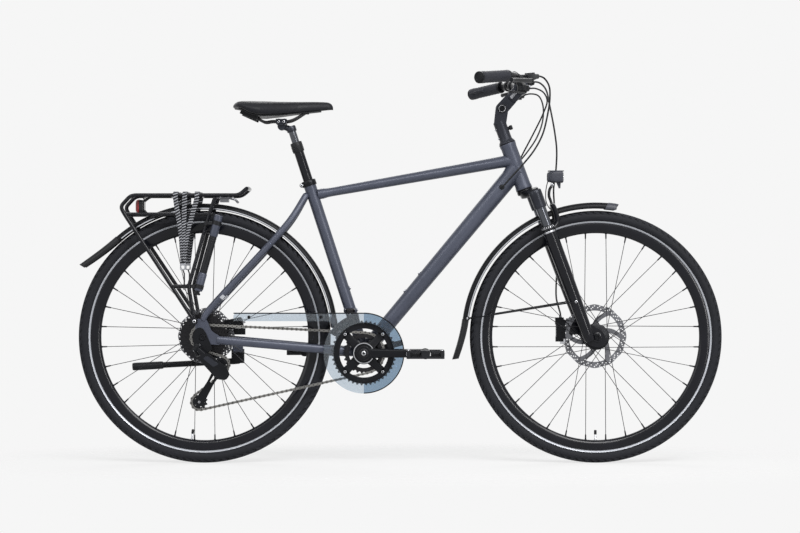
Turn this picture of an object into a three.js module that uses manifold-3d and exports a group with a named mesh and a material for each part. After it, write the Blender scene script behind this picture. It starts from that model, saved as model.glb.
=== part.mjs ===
// Touring bicycle with front suspension, mudguards, luggage rack and lights.
// Millimetres. +X points forwards, +Y to the rider's left, +Z up.
// The origin lies on the ground, midway between the axles.

import * as THREE from 'three';
import { mergeVertices } from 'three/addons/utils/BufferGeometryUtils.js';
import Module from 'manifold-3d';

const wasm = await Module();
wasm.setup();

// Layout of the whole bicycle
const wheelbase = 1095.6;
const tyreRadius = 353;
const chainstayLength = 449;
const bottomBracketDrop = 44;
const gap = 0.3;
const overrun = 5;

// Steering and fork
const headAngle = 69.6;
const forkLength = 456.3;
const forkOffset = 43.5;
const headTubeLength = 138;
const headTubeRadius = 23;
const headTubeBore = 17;
const steererRadius = 14.3;
const crownThickness = 22;
const crownRaceHeight = 4;
const crownHalfWidth = 25;
const crownFront = 36;
const crownRear = 16;
const legSpread = 62;
const stanchionOffset = 21;
const stanchionRadius = 14;
const stanchionOverlap = 105;
const socketTop = 18;
const socketLength = 47;
const socketRadius = 18.5;
const forkTravel = 50;
const lowersTop = 128;
const lowersTopRadius = 18;
const lowersBottomRadius = 15;
const forkToeLength = 26;
const archForward = 58;
const archHeight = 60;
const archRadius = 8;
const caliperLugDepth = 33;
const caliperLugThickness = 8;

// Frame
const seatAngle = 71.94;
const seatTubeLength = 505;
const seatTubeRadius = 16.5;
const frameWall = 2.4;
const shellRadius = 20.5;
const shellWidth = 68;
const shellBore = 17;
const topTubeSeatHeight = 459;
const topTubeHeadHeight = 88;
const topTubeSeatRadius = 12.5;
const topTubeHeadRadius = 18;
const downTubeHeadHeight = 61;
const downTubeBottomRadius = 20;
const downTubeHeadRadius = 24;
const stayBoltHeight = 462;
const seatstayRadius = 9.5;
const seatstayTopSpread = 17;
const seatstayBendSpread = 38;
const bridgeRadius = 4.8;
const chainstayRadius = 8;
const chainstayDepth = 13;
const chainstayRootSpread = 25;
const chainstayWaistSpread = 31;
const chainstayBendSpread = 40;
const dropoutSpacing = 135;
const dropoutThickness = 6;
const dropoutRadius = 19;
const dropoutReach = 50;
const bossRadius = 5;
const bossHeight = 4;
const bossSpacing = 64;
const downTubeBossDistance = 205;
const seatTubeBossDistance = 120;
const portRadius = 5;
const portHeight = 5;

// Wheels
const tyreWidth = 42;
const tyreHeight = 35;
const tyreWall = 3.6;
const rimDepth = 28;
const rimOuterRadius = tyreRadius - tyreHeight;
const rimInnerRadius = rimOuterRadius - rimDepth;
const rimWidth = 24;
const rimWall = 2.6;
const rimHookDepth = 6;
const spokeRadius = 1.1;
const spokeCount = 32;
const spokeCross = 62;
const flangeThickness = 6;
const frontHubWidth = 100;
const frontFlangeRadius = 36;
const frontFlangeSpread = 28;
const rearFlangeRadius = 29;
const rearFlangeSpread = 31;
const rearDriveFlange = 20;
const hubEndRadius = 9;
const rearShellRadius = 19;
const rotorSeatRadius = 21;
const rotorThickness = 1.8;
const frontRotorRadius = 90;
const rearRotorRadius = 80;
const rotorTrack = 15;
const frontRotorInset = 10.5;
const rearRotorInset = 15.5;
const axleRadius = 4.7;
const axleHeadRadius = 9;
const axleHeadLength = 6;

// Drive
const chainLinkLength = 12.7;
const innerTeeth = 28;
const outerTeeth = 44;
const pulleyTeeth = 11;
const cassetteTeeth = [11, 13, 15, 17, 20, 23, 26, 30, 34];
const chainCog = 3;
const cogSpacing = 4.2;
const cogThickness = 1.6;
const smallestCogInset = 5.1;
const freehubRadius = 17.2;
const ringThickness = 2;
const innerRingSide = 43;
const outerRingSide = 50.4;
const ringWebRadius = 68;
const innerRingWebRadius = 42;
const toothHeight = 1.4;
const toothRoot = 3.6;
const chainWidth = 6;
const chainPlate = 1;
const chainHalfDepth = 4;
const chainWeb = 0.8;
const chainWebShift = 2.9;
const crankLength = 170;
const crankRootDepth = 33;
const crankTipDepth = 27;
const crankThickness = 14;
const crankRootSide = 62;
const crankTipSide = 69;
const crankBossRadius = 21;
const spindleRadius = 12;
const spindleHalf = 70;
const spiderThickness = 1.8;
const spiderWidth = 22;
const spiderReach = 77;
const cupRadius = 22;
const cupWidth = 8;
const pedalGap = 6;
const pedalWidth = 96;
const pedalLength = 104;
const pedalThickness = 24;
const pedalAxleRadius = 6;
const pulleyBore = 3;

// Rear derailleur, measured from the rear axle
const hangerBack = 14;
const hangerDrop = 28;
const knuckleForward = 51;
const knuckleDrop = 97;
const guideForward = 50;
const guideDrop = 76;
const tensionBack = 11;
const tensionDrop = 180;
const knuckleRadius = 17;
const linkSide = 92;
const linkThickness = 8;
const linkWidth = 24;
const linkBarrelRadius = 6;
const knuckleFaceSide = 83.5;
const cagePlate = 1.5;
const cageRadius = 13;

// Front derailleur and chain guard
const swingSide = 27;
const swingHeight = 120;
const swingRadius = 4;
const swingLength = 26;
const cageInnerRadius = 93;
const cageOuterRadius = 110;
const cageLowReach = 80;
const guardRadius = 112;
const guardInnerRadius = 84;
const guardThickness = 1.4;
const guardSide = 60;
const guardRoofThickness = 1.6;
const guardRoofWidth = 6;
const guardWingLength = 362;
const guardWingDepth = 24;
const guardArmWidth = 16;
const guardArmAngle = 15;
const frontCageStart = 98;
const frontCageEnd = 150;
const frontCageBridgeEnd = 116;

// Seat
const seatPostRadius = 13.6;
const seatPostInsertion = 200;
const seatPostExposed = 87;
const seatPostTop = seatTubeLength + seatPostExposed;
const collarRadius = 16.5;
const collarLength = 26;
const shaftRadius = 10.8;
const seatTravel = 30;
const shaftInsertion = 70;
const headSetback = 25;
const headRise = 47.8025;
const tiltRadius = 11;
const tiltHalf = 15;
const clampLength = 30;
const clampSeat = 8;
const clampHalfWidth = 29;
const clampTop = 20;
const railSpread = 22;
const railRadius = 3.5;
const saddleLength = 278;
const saddleSetback = 133.6316;
const saddleRise = 69;
const saddleWidth = 184;
const saddleDepth = 46;
const saddleBaseThickness = 5;

// Stem, handlebar and controls
const headsetHeight = 9;
const stemTop = 205;
const stemRadius = 18;
const stemPivotForward = 19.6;
const stemPivotHeight = 233.3;
const stemPivotRadius = 20;
const stemWidth = 31;
const stemCheek = 7;
const barClampForward = 53;
const barClampHeight = 59;
const barClampRadius = 21;
const barRadius = 12.7;
const barThinRadius = 11.1;
const gripRadius = 16;
const gripLength = 138;
const barHalfWidth = 302;
const barSweep = 125;
const barRise = 19;
const controlLength = 58;
const controlRadius = 15;
const masterRadius = 9;
const masterForward = 45;
const masterReach = 33;
const masterSpread = 52;
const leverThickness = 9;
const leverRadius = 5.5;
const leverLength = 128;
const leverPivotRadius = 7;
const leverPinRadius = 2.5;
const leverSweep = 58;
const shifterRadius = 17;
const shifterDrop = 27;
const shifterThickness = 15;
const paddleLength = 36;
const paddleWidth = 11;
const paddleThickness = 5;
const hoseRadius = 2.5;
const cableRadius = 2.2;

// Mudguards
const mudguardWidth = 48;
const mudguardThickness = 2;
const mudguardDepth = 12;
const frontMudguardClearance = 23;
const rearMudguardClearance = 20;
const frontMudguardRadius = tyreRadius + frontMudguardClearance;
const rearMudguardRadius = tyreRadius + rearMudguardClearance;
const frontGuardAhead = 9;
const frontGuardBehind = 84;
const frontFlapEnd = 99;
const frontStayAngle = 82;
const rearGuardAhead = 86;
const rearGuardBehind = 43;
const rearFlapEnd = 60;
const flapFlare = 30;
const stayRadius = 2;

// Luggage rack, heights from the ground and distances behind the rear axle, less than 0 ahead of it
const rackRadius = 5.5;
const rackHalfWidth = 58;
const rackTop = 748;
const rackLower = 695;
const rackFront = -99.8;
const rackNose = -120.8;
const rackNoseHeight = 766;
const rackRear = 200.2;
const rackTail = 229.2;
const rackTailHeight = 716;
const rackFootSpread = 80;
const rackTieHeight = 494;
const rackTieRear = 84.2;
const strapWidth = 13;
const strapThickness = 3;
const buckleHeight = 557;
const buckleMiddle = 50.2;

// Lights, pump and stand
const headlightRadius = 17;
const headlightLength = 42;
const headlightBack = 13;
const headlightRise = 79;
const tailLightWidth = 76;
const tailLightDepth = 20;
const tailLightHeight = 39;
const tailLightBack = 190.2;
const pumpRadius = 8;
const pumpHandleRadius = 10;
const pumpSide = 80;
const pumpForward = 30;
const standPivotForward = 88;
const standPivotDrop = 71;
const standPivotSide = 80;
const standLength = 300;
const standSlope = 3.2;
const standRadius = 9;

// Brakes
const caliperWidth = 26;

// Facets
const wheelSides = 28;
const tubeSides = 12;
const smallSides = 8;
const wireSides = 6;
const cordSides = 5;
const guardFacet = 8;
const hubSides = 12;

const sideways = new THREE.Vector3(0, 1, 0);
const radians = THREE.MathUtils.degToRad;

// Shorthand for places and directions
function point(x, y, z) {
  return new THREE.Vector3(x, y, z);
}

function shifted(place, x, y, z) {
  return place.clone().add(point(x, y, z));
}

function between(from, to, share) {
  return from.clone().lerp(to, share);
}

function towards(from, to) {
  return to.clone().sub(from).normalize();
}

function ahead(from, direction, distance) {
  return from.clone().addScaledVector(direction, distance);
}

function atSide(place, y) {
  return point(place.x, y, place.z);
}

// Main places, all in the plane of the wheels
const rearAxle = point(-wheelbase / 2, 0, tyreRadius);
const frontAxle = point(wheelbase / 2, 0, tyreRadius);
const bottomBracket = point(
  rearAxle.x + Math.sqrt(chainstayLength ** 2 - bottomBracketDrop ** 2),
  0,
  rearAxle.z - bottomBracketDrop,
);
const steeringUp = point(-Math.cos(radians(headAngle)), 0, Math.sin(radians(headAngle)));
const steeringForward = point(steeringUp.z, 0, -steeringUp.x);
const seatUp = point(-Math.cos(radians(seatAngle)), 0, Math.sin(radians(seatAngle)));
const seatForward = point(seatUp.z, 0, -seatUp.x);
const crownRace = ahead(ahead(frontAxle, steeringForward, -forkOffset), steeringUp, forkLength);
const seatTop = ahead(bottomBracket, seatUp, seatTubeLength);
const barCentre = shifted(onSteering(stemPivotForward, 0, stemPivotHeight), barClampForward, 0, barClampHeight);

function onSteering(forward, side, up) {
  return atSide(ahead(ahead(crownRace, steeringForward, forward), steeringUp, up), side);
}

function onSeatTube(forward, side, up) {
  return atSide(ahead(ahead(bottomBracket, seatForward, forward), seatUp, up), side);
}

// Booleans: closed meshes in, closed meshes out
function volumeSign(positions, triangles) {
  const corners = [point(0, 0, 0), point(0, 0, 0), point(0, 0, 0)];
  let sum = 0;
  for (let i = 0; i < triangles.length; i += 3) {
    corners.forEach((corner, k) => corner.fromArray(positions, 3 * triangles[i + k]));
    sum += corners[0].dot(corners[1].clone().cross(corners[2]));
  }
  return Math.sign(sum);
}

function solidOf(geometry) {
  const bare = new THREE.BufferGeometry();
  bare.setAttribute('position', geometry.getAttribute('position').clone());
  if (geometry.index) {
    bare.setIndex(geometry.index.clone());
  }
  const merged = mergeVertices(bare);
  const positions = merged.getAttribute('position').array;
  const triangles = [];
  for (let i = 0; i < merged.index.count; i += 3) {
    const [a, b, c] = [0, 1, 2].map((k) => merged.index.getX(i + k));
    if (a !== b && b !== c && c !== a) {
      triangles.push(a, b, c);
    }
  }
  if (volumeSign(positions, triangles) < 0) {
    triangles.reverse();
  }
  const mesh = new wasm.Mesh({
    numProp: 3,
    vertProperties: new Float32Array(positions),
    triVerts: new Uint32Array(triangles),
  });
  return new wasm.Manifold(mesh);
}

function geometryOf(solid) {
  const mesh = solid.getMesh();
  const geometry = new THREE.BufferGeometry();
  geometry.setAttribute('position', new THREE.BufferAttribute(new Float32Array(mesh.vertProperties), 3));
  geometry.setIndex(new THREE.BufferAttribute(new Uint32Array(mesh.triVerts), 1));
  return geometry;
}

function join(...pieces) {
  return geometryOf(pieces.map(solidOf).reduce((whole, piece) => whole.add(piece)));
}

function cut(body, ...tools) {
  return geometryOf(tools.map(solidOf).reduce((whole, tool) => whole.subtract(tool), solidOf(body)));
}

// The same body with its faces pointing out
function outward(geometry) {
  return geometryOf(solidOf(geometry));
}

function mirrored(geometry) {
  return outward(geometry.clone().scale(1, -1, 1));
}

function onBothSides(geometry) {
  return [geometry, mirrored(geometry)];
}

// Shapes
function rod(from, to, radius, endRadius = radius, sides = tubeSides) {
  const length = from.distanceTo(to);
  const geometry = new THREE.CylinderGeometry(endRadius, radius, length, sides);
  geometry.translate(0, length / 2, 0);
  geometry.applyQuaternion(new THREE.Quaternion().setFromUnitVectors(sideways, towards(from, to)));
  return geometry.translate(from.x, from.y, from.z);
}

function roundSection(radius, sides) {
  const corners = Array.from({ length: sides }, (_, i) => {
    const angle = (2 * Math.PI * i) / sides;
    return new THREE.Vector2(radius * Math.cos(angle), radius * Math.sin(angle));
  });
  return new THREE.Shape(corners);
}

function pipe(places, radius, sides, steps) {
  const path = new THREE.CatmullRomCurve3(places, false, 'centripetal');
  return new THREE.ExtrudeGeometry(roundSection(radius, sides), { steps, extrudePath: path });
}

function block(low, high) {
  const size = high.clone().sub(low);
  const middle = between(low, high, 0.5);
  return new THREE.BoxGeometry(size.x, size.y, size.z).translate(middle.x, middle.y, middle.z);
}

// A flat plate lying along the bicycle: its outline is in X and Z
function plate(outline, sideLow, sideHigh, holes = []) {
  const shape = new THREE.Shape(outline);
  shape.holes = holes.map((hole) => new THREE.Path(hole));
  const geometry = new THREE.ExtrudeGeometry(shape, { depth: sideHigh - sideLow, bevelEnabled: false });
  return geometry.rotateX(Math.PI / 2).translate(0, sideHigh, 0);
}

// A turned piece round a sideways axis: its profile is in radius and Y
function turned(profile, sides, centre = point(0, 0, 0)) {
  const corners = profile.map(([radius, side]) => new THREE.Vector2(radius, side));
  const ring = new THREE.LatheGeometry([...corners, corners[0]], sides);
  return outward(ring.translate(centre.x, centre.y, centre.z));
}

function disc(centre, radius, sideLow, sideHigh, sides = tubeSides) {
  return rod(atSide(centre, sideLow), atSide(centre, sideHigh), radius, radius, sides);
}

// Radius of a faceted circle whose flats clear a round piece of the radius given
function aroundFacets(radius, sides) {
  return radius / Math.cos(Math.PI / sides);
}

function flat(x, z) {
  return new THREE.Vector2(x, z);
}

function circle(centre, radius, count, turn = 0) {
  return Array.from({ length: count }, (_, i) => {
    const angle = turn + (2 * Math.PI * i) / count;
    return flat(centre.x + radius * Math.cos(angle), centre.z + radius * Math.sin(angle));
  });
}

function arc(centre, radius, fromAngle, toAngle, steps) {
  return Array.from({ length: steps + 1 }, (_, i) => {
    const angle = radians(fromAngle + ((toAngle - fromAngle) * i) / steps);
    return flat(centre.x + radius * Math.cos(angle), centre.z + radius * Math.sin(angle));
  });
}

// Skins a row of rings of points; a row with no cap outline closes on itself
function loft(rings, capOutline) {
  const count = rings[0].length;
  const positions = rings.flat().flatMap((corner) => [corner.x, corner.y, corner.z]);
  const triangles = [];
  const spans = capOutline ? rings.length - 1 : rings.length;
  for (let i = 0; i < spans; i += 1) {
    const next = (i + 1) % rings.length;
    for (let k = 0; k < count; k += 1) {
      const [a, b] = [i * count + k, i * count + ((k + 1) % count)];
      const [c, d] = [next * count + k, next * count + ((k + 1) % count)];
      triangles.push(a, b, d, a, d, c);
    }
  }
  if (capOutline) {
    const last = (rings.length - 1) * count;
    const turnsLeft = !THREE.ShapeUtils.isClockWise(capOutline);
    THREE.ShapeUtils.triangulateShape(capOutline, []).forEach((face) => {
      const [a, b, c] = turnsLeft ? face : [face[0], face[2], face[1]];
      triangles.push(a, c, b, last + a, last + b, last + c);
    });
  }
  const geometry = new THREE.BufferGeometry();
  geometry.setAttribute('position', new THREE.Float32BufferAttribute(positions, 3));
  geometry.setIndex(triangles);
  return outward(geometry);
}

// Radius at which a chain's rollers sit on a sprocket
function pitchRadius(teeth) {
  return chainLinkLength / (2 * Math.sin(Math.PI / teeth));
}

function sprocketOutline(centre, teeth) {
  const pitch = pitchRadius(teeth);
  return Array.from({ length: 2 * teeth }, (_, i) => {
    const radius = i % 2 === 0 ? pitch + toothHeight : pitch - toothRoot;
    const angle = (Math.PI * i) / teeth;
    return flat(centre.x + radius * Math.cos(angle), centre.z + radius * Math.sin(angle));
  });
}

// Wheels, built round their own axle
function tyre() {
  const beadHalf = rimWidth / 2 - rimWall - gap;
  const beadRadius = rimOuterRadius - rimHookDepth;
  const middle = (tyreRadius + rimOuterRadius + gap) / 2;
  const belly = (depth, halfWidth, angle) => [
    middle + depth * Math.cos(radians(angle)),
    halfWidth * Math.sin(radians(angle)),
  ];
  const shoulder = 72;
  const bulge = tyreWidth / 2 / Math.sin(radians(shoulder));
  const outer = [142, shoulder, 0, -shoulder, -142].map((angle) => belly(tyreRadius - middle, bulge, angle));
  const inner = [-75, 75].map((angle) => (
    belly(tyreRadius - middle - tyreWall, tyreWidth / 2 - tyreWall, angle)
  ));
  const profile = [
    [beadRadius, beadHalf],
    ...outer,
    [beadRadius, -beadHalf],
    [beadRadius, tyreWall - beadHalf],
    ...inner,
    [beadRadius, beadHalf - tyreWall],
  ];
  return turned(profile, wheelSides);
}

function rim() {
  const outside = rimWidth / 2;
  const inside = outside - rimWall;
  const seat = rimOuterRadius - rimHookDepth - gap;
  const profile = [
    [rimOuterRadius, outside],
    [rimInnerRadius, outside / 2],
    [rimInnerRadius, -outside / 2],
    [rimOuterRadius, -outside],
    [seat, -inside],
    [seat, inside],
  ];
  return turned(profile, wheelSides);
}

function spokes(leftFlange, rightFlange, flangeRadius) {
  const end = rimInnerRadius * Math.cos(Math.PI / wheelSides) - gap;
  const root = flangeRadius - spokeRadius * 4;
  return Array.from({ length: spokeCount }, (_, i) => {
    const angle = (2 * Math.PI * (i + 0.5)) / spokeCount;
    const leading = Math.floor(i / 2) % 2 === 0 ? 1 : -1;
    const flange = i % 2 === 0 ? leftFlange : rightFlange;
    const lean = angle + leading * radians(spokeCross);
    const offset = leading * (flangeThickness / 2 - spokeRadius - gap);
    const from = point(root * Math.cos(lean), flange + offset, root * Math.sin(lean));
    const to = point(end * Math.cos(angle), Math.sign(flange) * rimWall, end * Math.sin(angle));
    return rod(from, to, spokeRadius, spokeRadius, 3);
  });
}

function hubBody(profile, leftFlange, rightFlange, flangeRadius) {
  return join(turned(profile, hubSides), ...spokes(leftFlange, rightFlange, flangeRadius));
}

function frontHub() {
  const bore = axleRadius + gap;
  const face = frontHubWidth / 2 - gap;
  const shell = frontFlangeRadius - flangeThickness / 2;
  const edge = frontFlangeSpread + flangeThickness / 2;
  const seatEnd = frontHubWidth / 2 - frontRotorInset + rotorThickness;
  return hubBody([
    [bore, -face],
    [hubEndRadius, -face],
    [hubEndRadius, -edge - flangeThickness],
    [shell, -edge],
    [frontFlangeRadius, -edge],
    [frontFlangeRadius, flangeThickness - edge],
    [shell, flangeThickness - edge],
    [shell, edge - flangeThickness],
    [frontFlangeRadius, edge - flangeThickness],
    [frontFlangeRadius, edge],
    [rotorSeatRadius, edge],
    [rotorSeatRadius, seatEnd],
    [hubEndRadius, seatEnd],
    [hubEndRadius, face],
    [bore, face],
  ], frontFlangeSpread, -frontFlangeSpread, frontFlangeRadius);
}

function rearHub() {
  const bore = axleRadius + gap;
  const face = dropoutSpacing / 2 - gap;
  const half = flangeThickness / 2;
  const seatEnd = dropoutSpacing / 2 - rearRotorInset + rotorThickness;
  return hubBody([
    [bore, -face],
    [hubEndRadius, -face],
    [hubEndRadius, smallestCogInset / 2 - face],
    [freehubRadius, smallestCogInset / 2 - face],
    [freehubRadius, -rearDriveFlange - half],
    [rearFlangeRadius, -rearDriveFlange - half],
    [rearFlangeRadius, half - rearDriveFlange],
    [rearShellRadius, half - rearDriveFlange],
    [rearShellRadius, rearFlangeSpread - half],
    [rearFlangeRadius, rearFlangeSpread - half],
    [rearFlangeRadius, rearFlangeSpread + half],
    [rotorSeatRadius, rearFlangeSpread + half],
    [rotorSeatRadius, seatEnd],
    [hubEndRadius, seatEnd],
    [hubEndRadius, face],
    [bore, face],
  ], rearFlangeSpread, -rearDriveFlange, rearFlangeRadius);
}

function rotor(radius, middle) {
  const origin = point(0, 0, 0);
  const arms = 6;
  const trackInner = radius - rotorTrack;
  const hubRing = rotorSeatRadius + rotorTrack / 2;
  const armShare = 0.28;
  const windows = Array.from({ length: arms }, (_, i) => {
    const start = (360 * (i + armShare)) / arms;
    const end = (360 * (i + 1)) / arms;
    const twist = rotorTrack;
    return [
      ...arc(origin, trackInner, start + twist, end + twist, 2),
      ...arc(origin, hubRing, end, start, 2),
    ];
  });
  const seat = circle(origin, aroundFacets(rotorSeatRadius + gap, hubSides), hubSides);
  const low = middle - rotorThickness / 2;
  return plate(circle(origin, radius, 24), low, low + rotorThickness, [seat, ...windows]);
}

// A wheel axle with a head outside each fork end or dropout
function axle(outerFace) {
  const headStart = outerFace + gap;
  const end = headStart + axleHeadLength;
  return turned([
    [0, -end],
    [axleHeadRadius, -end],
    [axleHeadRadius, -headStart],
    [axleRadius, -headStart],
    [axleRadius, headStart],
    [axleHeadRadius, headStart],
    [axleHeadRadius, end],
    [0, end],
  ], tubeSides);
}

// Frame
const shellHalf = shellWidth / 2;
const dropoutInner = dropoutSpacing / 2 + gap;
const dropoutMiddle = dropoutInner + dropoutThickness / 2;
const topTubeBack = onSeatTube(0, 0, topTubeSeatHeight);
const topTubeFront = onSteering(0, 0, topTubeHeadHeight);
const downTubeTop = onSteering(0, 0, downTubeHeadHeight);
const stayMeeting = onSeatTube(0, 0, stayBoltHeight);
const seatstayEnd = shifted(rearAxle, 0, dropoutMiddle, dropoutReach);
const chainstayEnd = shifted(rearAxle, dropoutReach * 0.8, dropoutMiddle, -dropoutReach * 0.15);

function seatstayPlaces() {
  const bendShare = 0.22;
  return [
    atSide(stayMeeting, seatstayTopSpread),
    atSide(between(stayMeeting, atSide(seatstayEnd, 0), bendShare), seatstayBendSpread),
    seatstayEnd,
  ];
}

function chainstayPlaces() {
  const rootShare = 0.05;
  const waistShare = 0.16;
  const bendShare = 0.29;
  const spine = (share, side) => atSide(between(bottomBracket, atSide(chainstayEnd, 0), share), side);
  return [
    spine(rootShare, chainstayRootSpread),
    spine(waistShare, chainstayWaistSpread),
    spine(bendShare, chainstayBendSpread),
    chainstayEnd,
  ];
}

// Straight lengths of round tube, mitred where they meet
function bentTube(places, radius, sides) {
  const directions = places.slice(1).map((place, i) => towards(places[i], place));
  const turn = new THREE.Quaternion().setFromUnitVectors(sideways, directions[0]);
  const section = roundSection(radius, sides).getPoints();
  let ring = section.map((corner) => point(corner.x, 0, corner.y).applyQuaternion(turn).add(places[0]));
  const rings = [ring];
  directions.forEach((direction, i) => {
    const place = places[i + 1];
    const normal = direction.clone().add(directions[i + 1] ?? direction).normalize();
    ring = ring.map((corner) => (
      ahead(corner, direction, place.clone().sub(corner).dot(normal) / direction.dot(normal))
    ));
    rings.push(ring);
  });
  return loft(rings, section);
}

function chainstay(extra = 0) {
  const depthScale = chainstayDepth / chainstayRadius;
  const places = chainstayPlaces().map((place) => point(place.x, place.y, place.z / depthScale));
  return bentTube(places, chainstayRadius + extra, smallSides).scale(1, 1, depthScale);
}

function seatstay(extra = 0) {
  return bentTube(seatstayPlaces(), seatstayRadius + extra, wireSides);
}

function dropoutOutline() {
  const rise = dropoutReach;
  const half = dropoutRadius;
  const tip = half / 2;
  return [
    flat(rearAxle.x - tip, rearAxle.z - half),
    flat(rearAxle.x + half, rearAxle.z - half),
    flat(rearAxle.x + dropoutReach, rearAxle.z - half),
    flat(rearAxle.x + dropoutReach, rearAxle.z),
    flat(rearAxle.x + half, rearAxle.z + half),
    flat(rearAxle.x + tip, rearAxle.z + rise),
    flat(rearAxle.x - half, rearAxle.z + rise),
    flat(rearAxle.x - half, rearAxle.z),
  ];
}

function hangerPlace() {
  return shifted(rearAxle, -hangerBack, 0, -hangerDrop);
}

function dropout(side) {
  const low = side > 0 ? dropoutInner : -dropoutInner - dropoutThickness;
  const hanger = disc(hangerPlace(), knuckleRadius / 2, low, low + dropoutThickness, smallSides);
  const body = plate(dropoutOutline(), low, low + dropoutThickness);
  const slot = disc(rearAxle, axleRadius + gap, low - overrun, low + dropoutThickness + overrun);
  return cut(side < 0 ? join(body, hanger) : body, slot);
}

function boss(place, outwards) {
  return rod(place, ahead(place, outwards, bossHeight), bossRadius, bossRadius, wireSides);
}

// Bottle bosses, two on the down tube and two on the seat tube, as places on the tube's skin
const downTubeUp = towards(bottomBracket, downTubeTop);
const downTubeNormal = point(-downTubeUp.z, 0, downTubeUp.x);
function downTubeRadiusAt(distance) {
  const share = distance / bottomBracket.distanceTo(downTubeTop);
  return downTubeBottomRadius + (downTubeHeadRadius - downTubeBottomRadius) * share;
}

function downTubeSkin(distance) {
  const spine = ahead(bottomBracket, downTubeUp, distance);
  return ahead(spine, downTubeNormal, downTubeRadiusAt(distance) - bossHeight / 2);
}

function bottleBosses() {
  const places = [0, bossSpacing];
  return [
    ...places.map((step) => boss(downTubeSkin(downTubeBossDistance + step), downTubeNormal)),
    ...places.map((step) => (
      boss(onSeatTube(seatTubeRadius - bossHeight / 2, 0, seatTubeBossDistance + step), seatForward)
    )),
  ];
}

// Cable entries on the down tube, one on the right and two on the left
const portDistances = [0.9, 0.86, 0.95];
const portSides = [-1, 1, 1];
function portPlace(number) {
  const length = bottomBracket.distanceTo(downTubeTop);
  const distance = portDistances[number] * length;
  const skin = portSides[number] * (downTubeRadiusAt(distance) - portHeight / 2);
  return atSide(ahead(bottomBracket, downTubeUp, distance), skin);
}

function portBoss(number) {
  const from = portPlace(number);
  return rod(from, shifted(from, 0, portSides[number] * portHeight, 0), portRadius, portRadius, wireSides);
}

// Tab on the seat tube that carries the front derailleur's swing pin
const swingBack = swingHeight / Math.tan(radians(seatAngle));
const swingMiddle = shifted(bottomBracket, -swingBack, -swingSide, swingHeight);

function swingEars() {
  const reach = swingLength / 2 + gap;
  const ear = (end) => {
    const near = shifted(swingMiddle, end * reach, 0, 0);
    const far = shifted(near, end * swingRadius, 0, 0);
    const inner = atSide(far, 0);
    const low = point(Math.min(near.x, far.x), near.y - swingRadius, near.z - swingRadius);
    const high = point(Math.max(near.x, inner.x), 0, near.z + swingRadius);
    return block(low, high);
  };
  return [ear(1), ear(-1)];
}

function standPlate() {
  const place = standPivot();
  const stay = chainstaySpine(place.x);
  return block(
    point(place.x - standRadius, stay.y, place.z + standRadius + gap),
    point(place.x + standRadius, place.y + standRadius, stay.z),
  );
}

// Middle of the left chain stay's rear length
function chainstaySpine(x) {
  const places = chainstayPlaces();
  const front = places[places.length - 2];
  return between(front, chainstayEnd, (x - front.x) / (chainstayEnd.x - front.x));
}

function standPivot() {
  return shifted(rearAxle, standPivotForward, standPivotSide, -standPivotDrop);
}

// The bridge between the seat stays lies just outside the rear mudguard
function stayBridge() {
  const reach = rearMudguardRadius + bridgeRadius + gap;
  const low = atSide(seatstayEnd, 0);
  const start = stayMeeting.clone().sub(rearAxle);
  const along = low.clone().sub(stayMeeting);
  const square = along.dot(along);
  const middle = start.dot(along);
  const root = Math.sqrt(middle ** 2 - square * (start.dot(start) - reach ** 2));
  return between(stayMeeting, low, (-middle - root) / square);
}

// The fixed half of the rear derailleur's upper hinge, on the hanger
function hangerKnuckle() {
  const hanger = hangerPlace();
  return [
    disc(hanger, knuckleRadius * hangerKnuckleShare, -knuckleFaceSide, -dropoutInner, smallSides),
    hingeCradle(hanger),
  ];
}

function mainFrame() {
  const bridge = stayBridge();
  const outside = [
    rod(onSteering(0, 0, 0), onSteering(0, 0, headTubeLength), headTubeRadius),
    rod(bottomBracket, seatTop, seatTubeRadius),
    rod(topTubeBack, topTubeFront, topTubeSeatRadius, topTubeHeadRadius),
    rod(bottomBracket, downTubeTop, downTubeBottomRadius, downTubeHeadRadius),
    disc(bottomBracket, shellRadius, -shellHalf, shellHalf, tubeSides),
    ...onBothSides(chainstay()),
    ...onBothSides(seatstay()),
    rod(
      atSide(bridge, -seatstayBendSpread),
      atSide(bridge, seatstayBendSpread),
      bridgeRadius,
      bridgeRadius,
      wireSides,
    ),
    dropout(1),
    dropout(-1),
    ...hangerKnuckle(),
    ...bottleBosses(),
    ...[0, 1, 2].map(portBoss),
    ...swingEars(),
    standPlate(),
  ];
  const inside = [
    rod(onSteering(0, 0, -overrun), onSteering(0, 0, headTubeLength + overrun), headTubeBore),
    rod(bottomBracket, ahead(seatTop, seatUp, overrun), seatPostRadius + gap, seatPostRadius + gap, tubeSides),
    rod(topTubeBack, topTubeFront, topTubeSeatRadius - frameWall, topTubeHeadRadius - frameWall, smallSides),
    rod(
      bottomBracket,
      downTubeTop,
      downTubeBottomRadius - frameWall,
      downTubeHeadRadius - frameWall,
      smallSides,
    ),
    disc(bottomBracket, shellBore, -shellHalf - overrun, shellHalf + overrun, tubeSides),
    linkBarrel(hangerPlace(), gap),
  ];
  return cut(join(...outside), ...inside);
}

function bottomBracketUnit() {
  const face = shellHalf + guardThickness + gap * 2;
  const end = face + cupWidth;
  const sleeve = shellBore - gap;
  const bore = aroundFacets(spindleRadius + gap, tubeSides);
  return turned([
    [bore, -end],
    [cupRadius, -end],
    [cupRadius, -face],
    [sleeve, -face],
    [sleeve, face],
    [cupRadius, face],
    [cupRadius, end],
    [bore, end],
  ], tubeSides, bottomBracket);
}

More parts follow.
